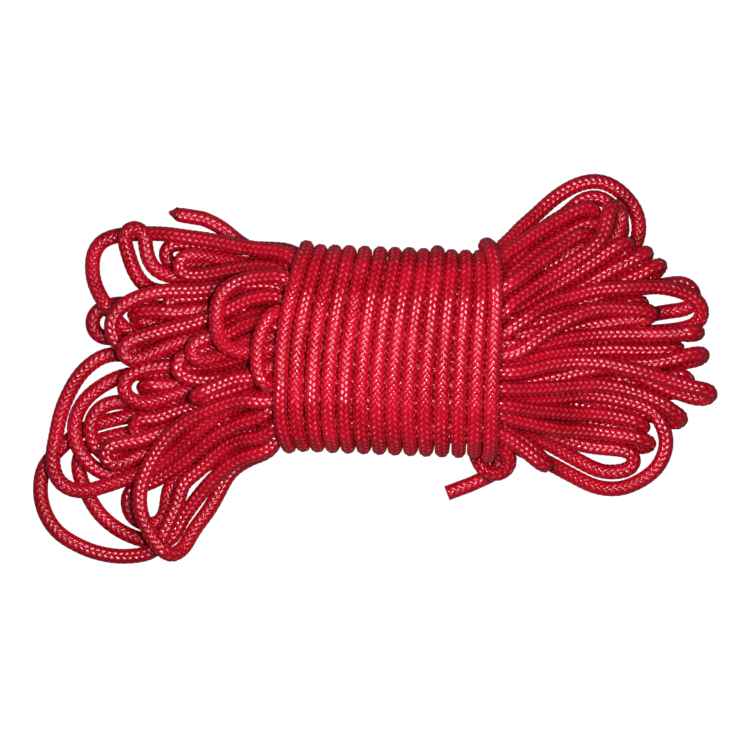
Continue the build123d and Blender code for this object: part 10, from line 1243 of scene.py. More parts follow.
43.08,25.81,5.46 43.4,28.18,5.85 43.71,30.53,6.29 44,32.76,7.1 44.26,34.97,7.98
44.51,37.13,8.96 44.72,39.25,10.07 44.91,41.3,11.32 45.07,43.3,12.73 45.2,45.22,14.28
45.31,47.06,15.97 45.38,48.81,17.79 45.42,50.45,19.74 45.43,51.93,21.79 45.41,53.19,23.93
45.35,54.2,26.14 45.27,54.93,28.42 45.17,55.44,30.75""", """
45.26,55.85,33.11 45.43,55.94,35.55 45.55,55.24,37.91 45.62,54.01,40.06 45.67,52.73,42.24
45.69,51.41,44.42 45.69,50.06,46.6 45.65,48.09,48.23 45.57,45.98,49.58 45.46,43.86,50.89
45.34,41.74,52.15 45.19,39.59,53.35 45.03,37.42,54.5 44.85,35.24,55.62 44.65,32.85,56.27
44.45,30.44,56.75 44.25,28.02,57.21 44.04,25.59,57.62 43.83,23.14,57.99 43.63,20.69,58.29
43.43,18.23,58.54 43.25,15.76,58.74 43.07,13.28,58.88 42.91,10.8,58.97 42.76,8.32,59.01
42.62,5.84,59 42.5,3.36,58.94 42.38,0.88,58.84 42.27,-1.59,58.68 42.18,-4.05,58.47
42.09,-6.51,58.2 42.01,-8.95,57.89 41.94,-11.37,57.51 41.87,-13.78,57.1 41.82,-16.18,56.65
41.77,-18.55,56.17 41.73,-20.85,55.32 41.7,-23,54.23 41.68,-25.11,53.11 41.66,-27.2,51.95
41.66,-29.23,50.74 41.65,-31.23,49.48 41.65,-33.2,48.19 41.66,-35.03,46.7 41.68,-36.33,44.72
41.71,-37.51,42.7 41.74,-38.7,40.68 41.76,-39.87,38.65 41.78,-40.81,36.48 41.84,-41.02,34.13
41.91,-40.49,31.84 42.01,-39.69,29.66 42.1,-38.86,27.53 42.2,-37.94,25.44 42.31,-36.93,23.42
42.43,-35.79,21.48 42.56,-34.52,19.63 42.7,-33.12,17.88 42.86,-31.61,16.2 43.03,-30.02,14.59
43.22,-28.12,13.34 43.43,-26.17,12.15 43.65,-24.14,11.06 43.89,-22.04,10.08 44.14,-19.87,9.22
44.41,-17.63,8.47 44.7,-15.34,7.82 45.01,-13.01,7.28 45.33,-10.64,6.82 45.66,-8.24,6.45
46,-5.82,6.16 46.35,-3.38,5.92 46.72,-0.92,5.75 47.08,1.55,5.62 47.45,4.03,5.54
47.83,6.51,5.5 48.2,9,5.48 48.58,11.49,5.49 48.95,13.98,5.53 49.31,16.47,5.58
49.67,18.96,5.65 50.02,21.45,5.72 50.35,23.93,5.8 50.65,26.42,5.88 50.93,28.9,5.97
51.21,31.27,6.75 51.56,33.47,7.83 51.87,35.65,8.95 52.13,37.81,10.12 52.35,39.94,11.36
52.53,42.02,12.68 52.67,44.06,14.09 52.76,46.01,15.64 52.81,47.87,17.29 52.81,49.62,19.05
52.77,51.19,20.92 52.71,52.56,22.86 52.63,53.7,24.87 52.54,54.62,26.92 52.42,55.37,29
52.28,55.97,31.09""", """
52.41,56.03,33.29 52.58,55.73,35.42 52.71,55.16,37.57 52.81,54.22,39.6 52.9,53.14,41.66
52.95,51.89,43.71 52.99,50.52,45.76 53.05,48.81,47.62 53.11,46.7,49.01 53.12,44.56,50.35
53.09,42.4,51.65 53.02,40.21,52.89 52.92,37.99,54.08 52.79,35.77,55.24 52.64,33.4,56.16
52.48,30.94,56.63 52.31,28.47,57.08 52.13,26,57.49 51.94,23.51,57.85 51.75,21.02,58.17
51.57,18.52,58.43 51.39,16,58.63 51.22,13.49,58.78 51.06,10.97,58.88 50.91,8.44,58.92
50.78,5.92,58.92 50.66,3.4,58.86 50.55,0.88,58.76 50.44,-1.64,58.6 50.35,-4.15,58.39
50.27,-6.65,58.12 50.19,-9.14,57.81 50.11,-11.62,57.44 50.04,-14.09,57.03 49.98,-16.54,56.6
49.91,-18.99,56.14 49.86,-21.33,55.23 49.8,-23.51,54.07 49.76,-25.67,52.89 49.71,-27.8,51.68
49.67,-29.9,50.44 49.63,-31.97,49.16 49.59,-34.01,47.87 49.57,-35.77,46.17 49.56,-36.99,44.08
49.56,-38.2,41.99 49.55,-39.42,39.9 49.55,-40.62,37.81 49.56,-41.28,35.47 49.61,-41.15,33.05
49.69,-40.26,30.8 49.78,-39.24,28.64 49.87,-38.18,26.5 49.97,-37.07,24.39 50.08,-35.89,22.33
50.2,-34.64,20.31 50.31,-33.33,18.32 50.44,-31.99,16.35 50.59,-30.37,14.56 50.82,-28.29,13.33
51.08,-26.16,12.23 51.34,-23.99,11.16 51.61,-21.8,10.15 51.89,-19.56,9.23 52.18,-17.28,8.39
52.48,-14.96,7.64 52.79,-12.6,6.99 53.12,-10.21,6.42 53.45,-7.79,5.93 53.79,-5.34,5.52
54.14,-2.88,5.17 54.49,-0.4,4.89 54.84,2.1,4.66 55.19,4.62,4.48 55.54,7.14,4.34
55.88,9.68,4.24 56.21,12.23,4.18 56.54,14.79,4.14 56.85,17.36,4.14 57.14,19.93,4.16
57.4,22.52,4.2 57.64,25.11,4.27 57.85,27.71,4.36 57.98,30.32,4.48 58.13,32.91,4.93
58.32,35.41,5.64 58.45,37.91,6.42 58.51,40.4,7.25 58.5,42.87,8.15 58.39,45.31,9.13
58.19,47.72,10.2 57.93,50.04,11.43 57.86,52.07,13 57.67,53.97,14.66 57.35,55.69,16.4
56.99,57.22,18.31 56.61,58.55,20.37 56.09,59.78,22.55 55.46,60.93,24.88 55.3,61.81,27.52
55.86,62.11,30.29""", """
56.75,61.7,32.9 57.39,61.05,35.48 57.77,60.29,37.98 57.98,59.47,40.4 58.16,58.58,42.74
58.54,57.27,44.8 59,55.59,46.57 59.39,53.7,48.17 59.68,51.69,49.73 59.88,49.55,51.23
59.99,47.34,52.66 60.04,45.06,54.02 60.01,42.77,55.33 59.97,40.41,56.51 60.01,37.85,57.1
60.03,35.28,57.49 60.01,32.71,57.86 59.94,30.16,58.2 59.85,27.6,58.49 59.73,25.04,58.75
59.6,22.49,58.95 59.47,19.93,59.12 59.33,17.38,59.24 59.19,14.83,59.31 59.05,12.28,59.35
58.91,9.73,59.35 58.78,7.19,59.31 58.66,4.66,59.24 58.55,2.12,59.12 58.44,-0.4,58.96
58.33,-2.91,58.75 58.23,-5.41,58.49 58.14,-7.9,58.18 58.06,-10.38,57.81 57.98,-12.83,57.39
57.91,-15.27,56.91 57.86,-17.69,56.41 57.82,-20.08,55.87 57.78,-22.33,54.89 57.76,-24.54,53.87
57.75,-26.7,52.8 57.76,-28.8,51.65 57.76,-30.84,50.42 57.77,-32.83,49.14 57.76,-34.78,47.82
57.74,-36.55,46.25 57.76,-37.88,44.33 57.73,-39.16,42.39 57.64,-40.37,40.42 57.47,-41.53,38.42
57.21,-42.62,36.39 56.95,-43.4,34.2 56.83,-43.65,31.87 56.96,-43.37,29.54 57.15,-42.83,27.28
57.24,-42.2,25.02 57.23,-41.48,22.79 57.13,-40.67,20.58 57.26,-39.45,18.54 57.61,-37.95,16.74
57.88,-36.36,14.98 58.06,-34.7,13.27 58.16,-32.97,11.59 58.18,-31.19,9.94 58.38,-29.07,8.68
58.87,-26.73,8.02 59.32,-24.35,7.42 59.72,-21.95,6.85 60.09,-19.52,6.34 60.45,-17.06,5.88
60.79,-14.57,5.48 61.13,-12.07,5.13 61.46,-9.54,4.84 61.8,-7,4.61 62.13,-4.45,4.41
62.47,-1.88,4.25 62.81,0.7,4.12 63.16,3.29,4.02 63.52,5.88,3.94 63.88,8.47,3.87
64.24,11.08,3.81 64.62,13.68,3.77 65,16.29,3.72 65.39,18.9,3.68 65.79,21.51,3.63
66.23,24.11,3.68""")

# Tails: node of the fixed root, then the point numbers of the mid part's and the tip's joints.
TAILS = {"tail_1": ("tail_1_root", 37, 42), "tail_2": ("finishing_hitch", 50, 54)}
# Bights with an outer part: first and last point number of that part.
FLEXING = {
    "left_bight_01": (58, 71),
    "left_loop_12": (30, 53),
    "left_bight_23": (66, 95),
    "right_ring_20": (60, 86),
}
# Bights that share one object.
GROUPS = {
    "left_inner_bights": [f"left_bight_{k}" for k in ("03", "06", "13", "14", "25")],
    "left_lower_bights": [f"left_bight_{k}" for k in ("16", "17", "19", "20")],
    "right_inner_bights": [f"right_bight_{k}" for k in ("10", "12", "15", "17")],
    "right_lower_bights": [f"right_bight_{k}" for k in ("16", "21", "22", "23")],
    "right_stacked_bights": [f"right_bight_{k}" for k in ("07", "08", "09")],
}


def read_points(text):
    return np.array([[float(c) for c in point.split(",")] for point in text.split()])


def side_paths(lengths, rows_text, start_x, step_x):
    """The full centre-line of every length on one side."""
    rows = [[float(y) for y in row.split()] for row in rows_text.strip().split("\n")]

    def leg(row, layer):
        return np.array([(round(start_x + k * step_x, 2), y, LAYER_Z[layer])
                         for k, y in enumerate(rows[row])])

    paths = {}
    for name, (row_out, layer_out, row_back, layer_back, bend) in lengths.items():
        parts = [leg(row_out, layer_out), read_points(bend)]
        if row_back is not None:
            parts.append(leg(row_back, layer_back)[::-1])
        paths[name] = np.vstack(parts)
    return paths


PATHS = {
    **side_paths(LEFT_LENGTHS, LEFT_ROWS, LEFT_LEG_X, -LEG_STEP),
    **side_paths(RIGHT_LENGTHS, RIGHT_ROWS, RIGHT_LEG_X, LEG_STEP),
}


# ---------------------------------------------------------------------------------
# centre-line sampling
# ---------------------------------------------------------------------------------
def running_length(points):
    return np.r_[0, np.cumsum(np.linalg.norm(np.diff(points, axis=0), axis=1))]


class CentreLine:
    """A smooth curve through the points, with a frame that doesn't twist."""

    SMOOTHING_PASSES = 6
    SEAM_SPACING = math.pi / 4         # angle between seams of the braid
    DRIFT_LIMIT = math.radians(1.7)    # most a seam drifts per mm
    DRIFT_GAIN = 0.2

    def __init__(self, points):
        self.points = self.spline(points)
        self.s = running_length(self.points)
        self.length = float(self.s[-1])
        tangent = np.gradient(self.points, axis=0)
        tangent /= np.linalg.norm(tangent, axis=1)[:, None]
        self.tangent = tangent
        normal = np.cross(tangent[0], [0, 0, 1.0])
        normals = [normal / np.linalg.norm(normal)]
        for t in tangent[1:]:
            normal = normals[-1] - t * np.dot(normals[-1], t)
            normals.append(normal / np.linalg.norm(normal))
        self.normal = np.array(normals)
        self.binormal = np.cross(tangent, self.normal)
        self.curvature = (np.gradient(tangent, axis=0)
                          / np.maximum(np.gradient(self.s), 1e-6)[:, None])
        self.roll = self.settle()

    def spline(self, points):
        """Catmull-Rom samples through the points, lightly smoothed."""
        reach = running_length(points)
        ext = np.vstack([2 * points[0] - points[1], points, 2 * points[-1] - points[-2]])
        samples = []
        for i in range(len(points) - 1):
            a, b, c, e = ext[i:i + 4]
            count = max(2, int(round((reach[i + 1] - reach[i]) / SAMPLE_STEP)))
            t = np.linspace(0, 1, count, endpoint=False)[:, None]
            samples.append(0.5 * (2 * b + (c - a) * t + (2 * a - 5 * b + 4 * c - e) * t ** 2
                                  + (3 * b - a - 3 * c + e) * t ** 3))
        q = np.vstack(samples + [points[-1:]])
        for _ in range(self.SMOOTHING_PASSES):
            q[1:-1] = 0.5 * q[1:-1] + 0.25 * (q[:-2] + q[2:])
        return q

    def settle(self):
        """Roll of the braid: a seam between columns of floats drifts round to face up."""
        up = np.arctan2(self.binormal[:, 2], self.normal[:, 2])
        flat = np.hypot(self.binormal[:, 2], self.normal[:, 2])
        roll = np.zeros(len(up))
        roll[0] = up[0]
        steps = np.diff(self.s)
        half = self.SEAM_SPACING / 2
        for i in range(1, len(up)):
            gap = (up[i] - roll[i - 1] + half) % self.SEAM_SPACING - half
            limit = self.DRIFT_LIMIT * flat[i] ** 2 * steps[i - 1]
            roll[i] = roll[i - 1] + max(-limit, min(limit, gap * self.DRIFT_GAIN))
        return roll

    def at(self, s):
        """Place, normal, binormal and curvature at distance s."""
        return [np.stack([np.interp(s, self.s, a[:, i]) for i in range(3)], -1)
                for a in (self.points, self.normal, self.binormal, self.curvature)]

    def place(self, s):
        return self.at(np.array([s]))[0][0]

    def s_of_point(self, point):
        return float(self.s[np.argmin(np.linalg.norm(self.points - point, axis=1))])


# ---------------------------------------------------------------------------------
# the braid: a lattice of cells, m and n counting mesh lines across the two windings
# ---------------------------------------------------------------------------------
COLUMNS = 24                           # vertices round the line
BRAID_START = math.radians(33.75)
COVER_SQUASH = 0.16                    # share of the radius lost inside a hard bend


def cells(m):
    """Position in cells of mesh line m."""
    return np.floor_divide(m, 3) + np.take(CELL_LINES, np.mod(m, 3))


def crown_height(m, n):
    """Height 0..1 of the braid at lattice corners m, n."""
    u, v = cells(m), cells(n)

    def in_cell(i, j):
        d = np.mod(i - j, 4)
        first_on_top = d < 2
        across = np.where(first_on_top, v - j, u - i)
        along = np.where(first_on_top, (u - i) + d, np.where(d == 3, v - j, v - j + 1))
        profile = np.sqrt(np.clip(1 - (2 * across - 1) ** 2, 0, 1))
        return profile * (1 - 0.82 * np.abs(along - 1) ** 3.2)

    i, j = np.floor_divide(m, 3), np.floor_divide(n, 3)
    on_u, on_v = np.mod(m, 3) == 0, np.mod(n, 3) == 0
    h = in_cell(i, j)
    h = np.where(on_u, np.minimum(h, in_cell(i - 1, j)), h)
    h = np.where(on_v, np.minimum(h, in_cell(i, j - 1)), h)
    return np.where(on_u & on_v, np.minimum(h, in_cell(i - 1, j - 1)), h)


def float_data(m, n):
    """Per face: UV of its corners on its float, tone of the float and winding family."""
    i, j = np.floor_divide(m, 3), np.floor_divide(n, 3)
    d = np.mod(i - j, 4)
    first_on_top = d < 2
    lines = np.array([*CELL_LINES, 1.0])
    u = lines[np.mod(m, 3)[:, None] + np.array([0, 1, 1, 0])]
    v = lines[np.mod(n, 3)[:, None] + np.array([0, 0, 1, 1])]
    lag = np.where(d == 3, 0, 1)
    across = np.where(first_on_top[:, None], v, u)
    along = np.where(first_on_top[:, None], u + d[:, None], v + lag[:, None])
    carrier = np.where(first_on_top, np.mod(j, 8), 8 + np.mod(i, 8))
    float_no = np.where(first_on_top, i - d, j - lag)
    tone = np.mod(np.sin(carrier * 12.9898 + float_no * 78.233 + 1.3) * 43758.5453, 1.0)
    return np.stack([across, along], -1), tone, first_on_top.astype(float)


def braid(line, radius, start, end, phase=0.0, end_scale=None):
    """Mesh data of the braid from start to end along a centre-line, capped both ends."""
    unit = PITCH / CARRIERS            # length of one unit of u + v
    first = int(math.floor((start / unit - 2) * 3)) - 2
    last = int(math.ceil((end / unit + 2) * 3)) + 2
    row, column = np.meshgrid(np.arange(first, last + 1), np.arange(COLUMNS), indexing="ij")
    spread = 2 * column + np.mod(row, 2)                     # m - n
    m, n = (row + spread) // 2, (row - spread) // 2
    u, v = cells(m), cells(n)
    s = (u + v) * unit
    angle = ((u - v) / CARRIERS * 2 * math.pi + math.radians(phase) - BRAID_START
             + np.interp(s, line.s, line.roll))
    low, high = (s < start).reshape(-1), (s > end).reshape(-1)
    s = np.clip(s, start, end)
    crown = crown_height(m, n)
    place, normal, binormal, curvature = line.at(s)
    r = radius - RELIEF * (1 - crown)
    if end_scale is not None:
        r = r * end_scale(s)
    outward = np.cos(angle)[..., None] * normal + np.sin(angle)[..., None] * binormal
    # on the inside of a hard bend the cover crowds towards the centre-line
    inside = np.clip(np.sum(outward * curvature, axis=-1) * r, 0, 3)
    r = r * (1 - COVER_SQUASH * np.clip(inside - 0.35, 0, 1))
    co = (place + outward * r[..., None]).reshape(-1, 3)

    def vertex(k, difference):
        """Index of the vertex in row k with this m - n."""
        difference = np.mod(difference, 2 * COLUMNS)
        return (k - first) * COLUMNS + (difference - np.mod(k, 2)) // 2

    k, diff = row[:-2], spread[:-2]
    quads = np.stack([vertex(k, diff), vertex(k + 1, diff + 1),
                      vertex(k + 2, diff), vertex(k + 1, diff - 1)], -1).reshape(-1, 4)
    keep = ~(low[quads].all(1) | high[quads].all(1))
    quads = quads[keep]
    uv, tone, family = float_data(m[:-2].reshape(-1)[keep], n[:-2].reshape(-1)[keep])
    used = np.unique(quads)
    renumber = -np.ones(len(co), int)
    renumber[used] = np.arange(len(used))
    quads = renumber[quads]
    co, crown = co[used], crown.reshape(-1)[used]

    # each cap is a fan from the rim to a vertex on the centre-line
    edges = np.stack([quads, np.roll(quads, -1, axis=1)], -1).reshape(-1, 2)
    key = np.sort(edges, axis=1).astype(np.int64)
    _, inverse, count = np.unique(key[:, 0] * (len(co) + 5) + key[:, 1],
                                  return_inverse=True, return_counts=True)
    open_edges = edges[count[inverse] == 1]
    fans = []
    for centre, beyond in enumerate((low[used], high[used]), start=len(co)):
        rim = open_edges[beyond[open_edges].all(1)]
        fans.append(np.column_stack([rim[:, 1], rim[:, 0], np.full(len(rim), centre)]))
    return {
        "co": np.vstack([co, line.place(start), line.place(end)]),
        "quads": quads, "tris": np.vstack(fans), "uv": uv.reshape(-1, 2),
        "tone": tone, "family": family, "crown": np.r_[crown, np.zeros(2)],
    }


def add_object(name, mesh, material):
    mesh.materials.append(material)
    ob = bpy.data.objects.new(name, mesh)
    bpy.context.scene.collection.objects.link(ob)
    return ob


def braid_object(name, parts, material):
    """One mesh object out of one or more braid lengths."""
    offsets = np.cumsum([0] + [len(p["co"]) for p in parts])

    def joined(field):
        return np.concatenate([p[field] for p in parts])

    co = joined("co") * MM
    quads = np.vstack([p["quads"] + o for p, o in zip(parts, offsets)])
    tris = np.vstack([p["tris"] + o for p, o in zip(parts, offsets)])
    mesh = bpy.data.meshes.new(name)
    mesh.vertices.add(len(co))
    mesh.vertices.foreach_set("co", co.astype(np.float32).ravel())
    mesh.loops.add(4 * len(quads) + 3 * len(tris))
    corners = np.r_[quads.ravel(), tris.ravel()].astype(np.int32)
    mesh.loops.foreach_set("vertex_index", corners)
    mesh.polygons.add(len(quads) + len(tris))
    starts = np.r_[np.arange(len(quads)) * 4, 4 * len(quads) + np.arange(len(tris)) * 3]
    mesh.polygons.foreach_set("loop_start", starts.astype(np.int32))
    mesh.update(calc_edges=True)
    uv = np.vstack([joined("uv"), np.full((3 * len(tris), 2), 0.5)])
    layer = mesh.uv_layers.new(name="yarn")
    layer.data.foreach_set("uv", uv.astype(np.float32).ravel())
    on_caps = np.full(len(tris), 0.5)
    for attribute, domain, values in (
        ("tone", "FACE", np.r_[joined("tone"), on_caps]),
        ("family", "FACE", np.r_[joined("family"), on_caps]),
        ("crown", "POINT", joined("crown")),
    ):
        data = mesh.attributes.new(attribute, "FLOAT", domain).data
        data.foreach_set("value", values.astype(np.float32))
    smooth = np.r_[np.ones(len(quads), bool), np.zeros(len(tris), bool)]
    mesh.polygons.foreach_set("use_smooth", smooth)
    mesh.validate(verbose=False)
    mesh.update()
    return add_object(name, mesh, material)


# ---------------------------------------------------------------------------------
# materials
# ---------------------------------------------------------------------------------
class Shader:
    """A material's node tree, with short ways to add nodes."""

    def __init__(self, name):
        self.material = bpy.data.materials.new(name)
        self.material.use_nodes = True
        self.tree = self.material.node_tree
        self.tree.nodes.clear()
        self.output = self.node("OutputMaterial")

    def node(self, kind):
        return self.tree.nodes.new("ShaderNode" + kind)

    def feed(self, value, socket):
        if isinstance(value, (int, float, tuple)):
            socket.default_value = value
        else:
            self.tree.links.new(value, socket)

    def math(self, operation, a, b=None, clamp=False):
        node = self.node("Math")
        node.operation = operation
        node.use_clamp = clamp
        self.feed(a, node.inputs[0])
        if b is not None:
            self.feed(b, node.inputs[1])
        return node.outputs[0]

    def times(self, a, b):
        return self.math("MULTIPLY", a, b)

    def plus(self, a, b):
        return self.math("ADD", a, b)

    def minus(self, a, b, clamp=False):
        return self.math("SUBTRACT", a, b, clamp)

    def mix(self, factor, a, b):
        node = self.node("Mix")
        node.data_type = "RGBA"
        node.blend_type = "MIX"
        node.clamp_factor = True
        for socket, value in ((0, factor), (6, a), (7, b)):
            self.feed(value, node.inputs[socket])
        return node.outputs[2]

    def smoothstep(self, value, low, high):
        node = self.node("MapRange")
        node.interpolation_type = "SMOOTHSTEP"
        for socket, v in enumerate((value, low, high)):
            self.feed(v, node.inputs[socket])
        return node.outputs[0]

    def noise(self, vector, scale, detail):
        node = self.node("TexNoise")
        self.feed(vector, node.inputs["Vector"])
        node.inputs["Scale"].default_value = scale
        node.inputs["Detail"].default_value = detail
        return node.outputs["Fac"]

    def attribute(self, name):
        node = self.node("Attribute")
        node.attribute_name = name
        return node.outputs["Fac"]

    def principled(self):
        node = self.node("BsdfPrincipled")
        self.feed(node.outputs[0], self.output.inputs[0])
        return node

    def bump(self, surface, height, strength, distance):
        node = self.node("Bump")
        node.inputs["Strength"].default_value = strength
        node.inputs["Distance"].default_value = distance
        self.feed(height, node.inputs["Height"])
        self.feed(node.outputs[0], surface.inputs["Normal"])


def srgb(*channels):
    return (*((c / 255) ** 2.2 for c in channels), 1)


def braid_material(name, base, bright, shade_color, highlight_color, seed):
    sh = Shader(name)
    surface = sh.principled()
    uv = sh.node("UVMap")
    uv.uv_map = "yarn"
    split = sh.node("SeparateXYZ")
    sh.feed(uv.outputs[0], split.inputs[0])
    across, along = split.outputs[0], split.outputs[1]
    crown = sh.attribute("crown")
    tone = sh.attribute("tone")
    position = sh.node("TexCoord").outputs["Object"]
    # filaments: fine streaks along each float, shifted from float to float
    streak = sh.node("CombineXYZ")
    sh.feed(sh.times(across, 9.0), streak.inputs[0])
    sh.feed(sh.times(along, 0.55), streak.inputs[1])
    sh.feed(sh.times(tone, 37.0 + seed), streak.inputs[2])
    filament = sh.noise(streak.outputs[0], scale=1.0, detail=2.0)
    # slow change of dye and handling along the line
    patches = sh.noise(position, scale=55.0, detail=3.0)
    grain = sh.noise(position, scale=1400.0, detail=2.0)
    # painted shade: the colour falls to the shade colour in the crevices between floats, where the crown height is low
    color = sh.mix(sh.smoothstep(crown, low=0.0, high=0.75), shade_color, base)
    patchy = sh.times(sh.smoothstep(patches, low=0.35, high=0.7), 0.5)
    color = sh.mix(patchy, color, bright)
    toned = sh.times(sh.smoothstep(tone, low=0.1, high=1.0), 0.28)
    color = sh.mix(toned, color, bright)
    # painted highlight: pink-white streaks painted on the crowns of the floats, strongest half-way along
    off_middle = sh.math("ABSOLUTE", sh.minus(along, 1.0))
    middle = sh.minus(1.0, sh.times(off_middle, 1.25), clamp=True)
    top = sh.smoothstep(crown, low=0.74, high=0.95)
    painted_highlight = sh.times(sh.times(top, middle), sh.smoothstep(filament, low=0.42, high=0.62))
    painted_highlight = sh.times(painted_highlight, sh.plus(0.25, sh.times(tone, 0.75)))
    # painted shade: the flank of the line, seen at a slant, is darkened towards the shade colour, and the painted
    # highlight fades there
    facing = sh.node("LayerWeight")
    facing.inputs["Blend"].default_value = 0.5
    rim = sh.smoothstep(facing.outputs["Facing"], low=0.42, high=0.95)
    color = sh.mix(sh.times(rim, 0.55), color, shade_color)
    painted_highlight = sh.times(painted_highlight, sh.minus(1.0, sh.times(rim, 0.7)))
    # the painted highlight is mixed over the colour
    color = sh.mix(sh.times(painted_highlight, 1.0), color, highlight_color)
    sh.feed(color, surface.inputs["Base Color"])
    rough = sh.plus(0.13, sh.times(filament, 0.14))
    rough = sh.plus(rough, sh.times(patches, 0.06))
    sh.feed(rough, surface.inputs["Roughness"])
    for socket, value in {
        "Specular IOR Level": 1.0,
        "Specular Tint": (1.0, 0.55, 0.66, 1),
        "Sheen Weight": 0.04,
        "Sheen Roughness": 0.4,
        "Sheen Tint": (1.0, 0.2, 0.25, 1),
    }.items():
        surface.inputs[socket].default_value = value
    height = sh.plus(sh.times(filament, 0.75), sh.times(grain, 0.25))
    # round the yarn between mesh lines
    from_centre = sh.math("ABSOLUTE", sh.minus(sh.times(across, 2.0), 1.0))
    roundness = sh.minus(1.0, sh.math("POWER", from_centre, 2.0))
    height = sh.plus(height, sh.times(roundness, 1.6))
    sh.bump(surface, height, strength=0.5, distance=0.00018)
    return sh.material


def mottled_material(name, first, second, scale, rough, strength, distance):
    sh = Shader(name)
    surface = sh.principled()
    mottle = sh.noise(sh.node("TexCoord").outputs["Object"], scale=scale, detail=4.0)
    color = sh.mix(sh.smoothstep(mottle, low=0.3, high=0.7), first, second)
    sh.feed(color, surface.inputs["Base Color"])
    sh.feed(sh.plus(rough, sh.times(mottle, 0.2)), surface.inputs["Roughness"])
    sh.bump(surface, mottle, strength, distance)
    return sh.material


def floor_material():
    """White to the camera, a dull grey to everything else."""
    sh = Shader("floor_white")
    grey = sh.node("BsdfDiffuse")
    grey.inputs[0].default_value = (0.14, 0.14, 0.14, 1)
    glow = sh.node("Emission")
    glow.inputs[0].default_value = (1, 1, 1, 1)
    glow.inputs[1].default_value = 1.02
    chooser = sh.node("MixShader")
    sh.feed(sh.node("LightPath").outputs["Is Camera Ray"], chooser.inputs[0])
    sh.feed(grey.outputs[0], chooser.inputs[1])
    sh.feed(glow.outputs[0], chooser.inputs[2])
    sh.feed(chooser.outputs[0], sh.output.inputs[0])
    return sh.material


# of the four colours of each braid, the third is painted shade for the crevices and flanks, the fourth a painted
# pink-white highlight on the float crowns
SLACK_BRAID = braid_material("braid_slack", base=srgb(198, 8, 34), bright=srgb(226, 20, 52),
                             shade_color=srgb(118, 3, 16), highlight_color=srgb(255, 150, 172), seed=0.0)
WRAP_BRAID = braid_material("braid_turns", base=srgb(202, 9, 36), bright=srgb(230, 22, 54),
                            shade_color=srgb(124, 3, 17), highlight_color=srgb(255, 156, 176), seed=5.0)
CORE = mottled_material("core_yarn_ends", srgb(150, 126, 112), srgb(196, 172, 156),
                        scale=1900.0, rough=0.6, strength=0.7, distance=0.0002)
MELTED = mottled_material("melted_end", srgb(96, 6, 16), srgb(190, 40, 52),
                          scale=700.0, rough=0.28, strength=0.6, distance=0.0003)

# ---------------------------------------------------------------------------------
# the line
# ---------------------------------------------------------------------------------
WRAP_NAMES = [f"wrap_turn_{k + 1:02d}" for k in range(len(WRAP_TURNS))]
random = np.random.RandomState(11)
# small turn of each length about its own axis, degrees
PHASES = {name: float(random.uniform(-7, 7)) for name in sorted([*PATHS, *WRAP_NAMES])}


def ride(ob, body, node):
    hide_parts(node)
    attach(ob, body)


def blend(ob, nodes, body, moving, middle, half):
    """Hide the parts of these nodes and bake the object's transform into its mesh; body, moving, middle and half are
    not used.
    """
    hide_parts(*nodes)
    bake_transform(ob)


def whole_length(name):
    line = CentreLine(PATHS[name])
    return braid(line, SLACK_RADIUS, 0.0, line.length, phase=PHASES[name])


def build_wraps():
    """One continuous spiral, meshed turn by turn so that the braid runs on."""
    turns = [read_points(text) for text in WRAP_TURNS]
    line = CentreLine(np.vstack(turns))
    marks = [0.0, *(line.s_of_point(turn[-1]) for turn in turns[:-1]), line.length]
    for name, start, end in zip(WRAP_NAMES, marks, marks[1:]):
        part = braid(line, WRAP_RADIUS, start, end)
        ride(braid_object(name + "_braid", [part], WRAP_BRAID), "hank", name)


ROOT_LEAD = 9.0       # the mid part starts this far before its joint
BEND_HALF = 3.2       # half the length given for a tail joint
END_TAPER = 3.0       # length over which a tail's end changes size
END_SHRINK = {"tail_1": 0.10, "tail_2": -0.02}   # melted end draws in, cut end flares


def build_tail(name):
    root, mid_point, tip_point = TAILS[name]
    line = CentreLine(PATHS[name])
    mid_s, tip_s = (line.s_of_point(PATHS[name][i]) for i in (mid_point, tip_point))
    cut = 0.5 * (mid_s + tip_s)
    lead = max(0.0, mid_s - ROOT_LEAD)
    phase = PHASES[name]

    def end_scale(s):
        x = np.clip((s - (line.length - END_TAPER)) / END_TAPER, 0, 1)
        return 1 - END_SHRINK[name] * x * x

    def joint(s, room):
        ahead = line.place(s + 1.0) - line.place(s - 1.0)
        ahead /= np.linalg.norm(ahead)
        return line.place(s), ahead * min(BEND_HALF, room * 0.8)

    part = braid(line, SLACK_RADIUS, 0.0, lead, phase)
    ride(braid_object(root + "_braid", [part], SLACK_BRAID), "hank", root)
    mid, tip = name + "_mid", name + "_tip"
    part = braid(line, SLACK_RADIUS, lead, cut, phase)
    ob = braid_object(mid + "_braid", [part], SLACK_BRAID)
    blend(ob, [mid], "hank", mid, *joint(mid_s, cut - mid_s))
    part = braid(line, SLACK_RADIUS, cut, line.length, phase, end_scale)
    ob = braid_object(tip + "_braid", [part], SLACK_BRAID)
    blend(ob, [tip], mid, tip, *joint(tip_s, tip_s - cut))
    return line


def build_flexing_bight(name):
    first, last = FLEXING[name]
    points = PATHS[name]
    ob = braid_object(name + "_braid", [whole_length(name)], SLACK_BRAID)
    a, b = points[first], points[last]
    axis = (b - a) / np.linalg.norm(b - a)
    middle = 0.5 * (a + b)
    outward = points[first:last + 1].mean(0) - middle
    outward -= axis * np.dot(outward, axis)
    outward /= np.linalg.norm(outward)
    outer = name + "_outer"
    blend(ob, [name + "_legs", outer], "hank", outer, middle, outward * 3.0)


build_wraps()
tail_lines = {name: build_tail(name) for name in TAILS}
for name in FLEXING:
    build_flexing_bight(name)
for group, members in GROUPS.items():
    parts = [whole_length(member) for member in members]
    ride(braid_object(group + "_braid", parts, SLACK_BRAID), "hank", group)
built = {*TAILS, *FLEXING, *(member for members in GROUPS.values() for member in members)}
for name in PATHS:
    if name not in built:
        ride(braid_object(name + "_braid", [whole_length(name)], SLACK_BRAID), "hank", name)


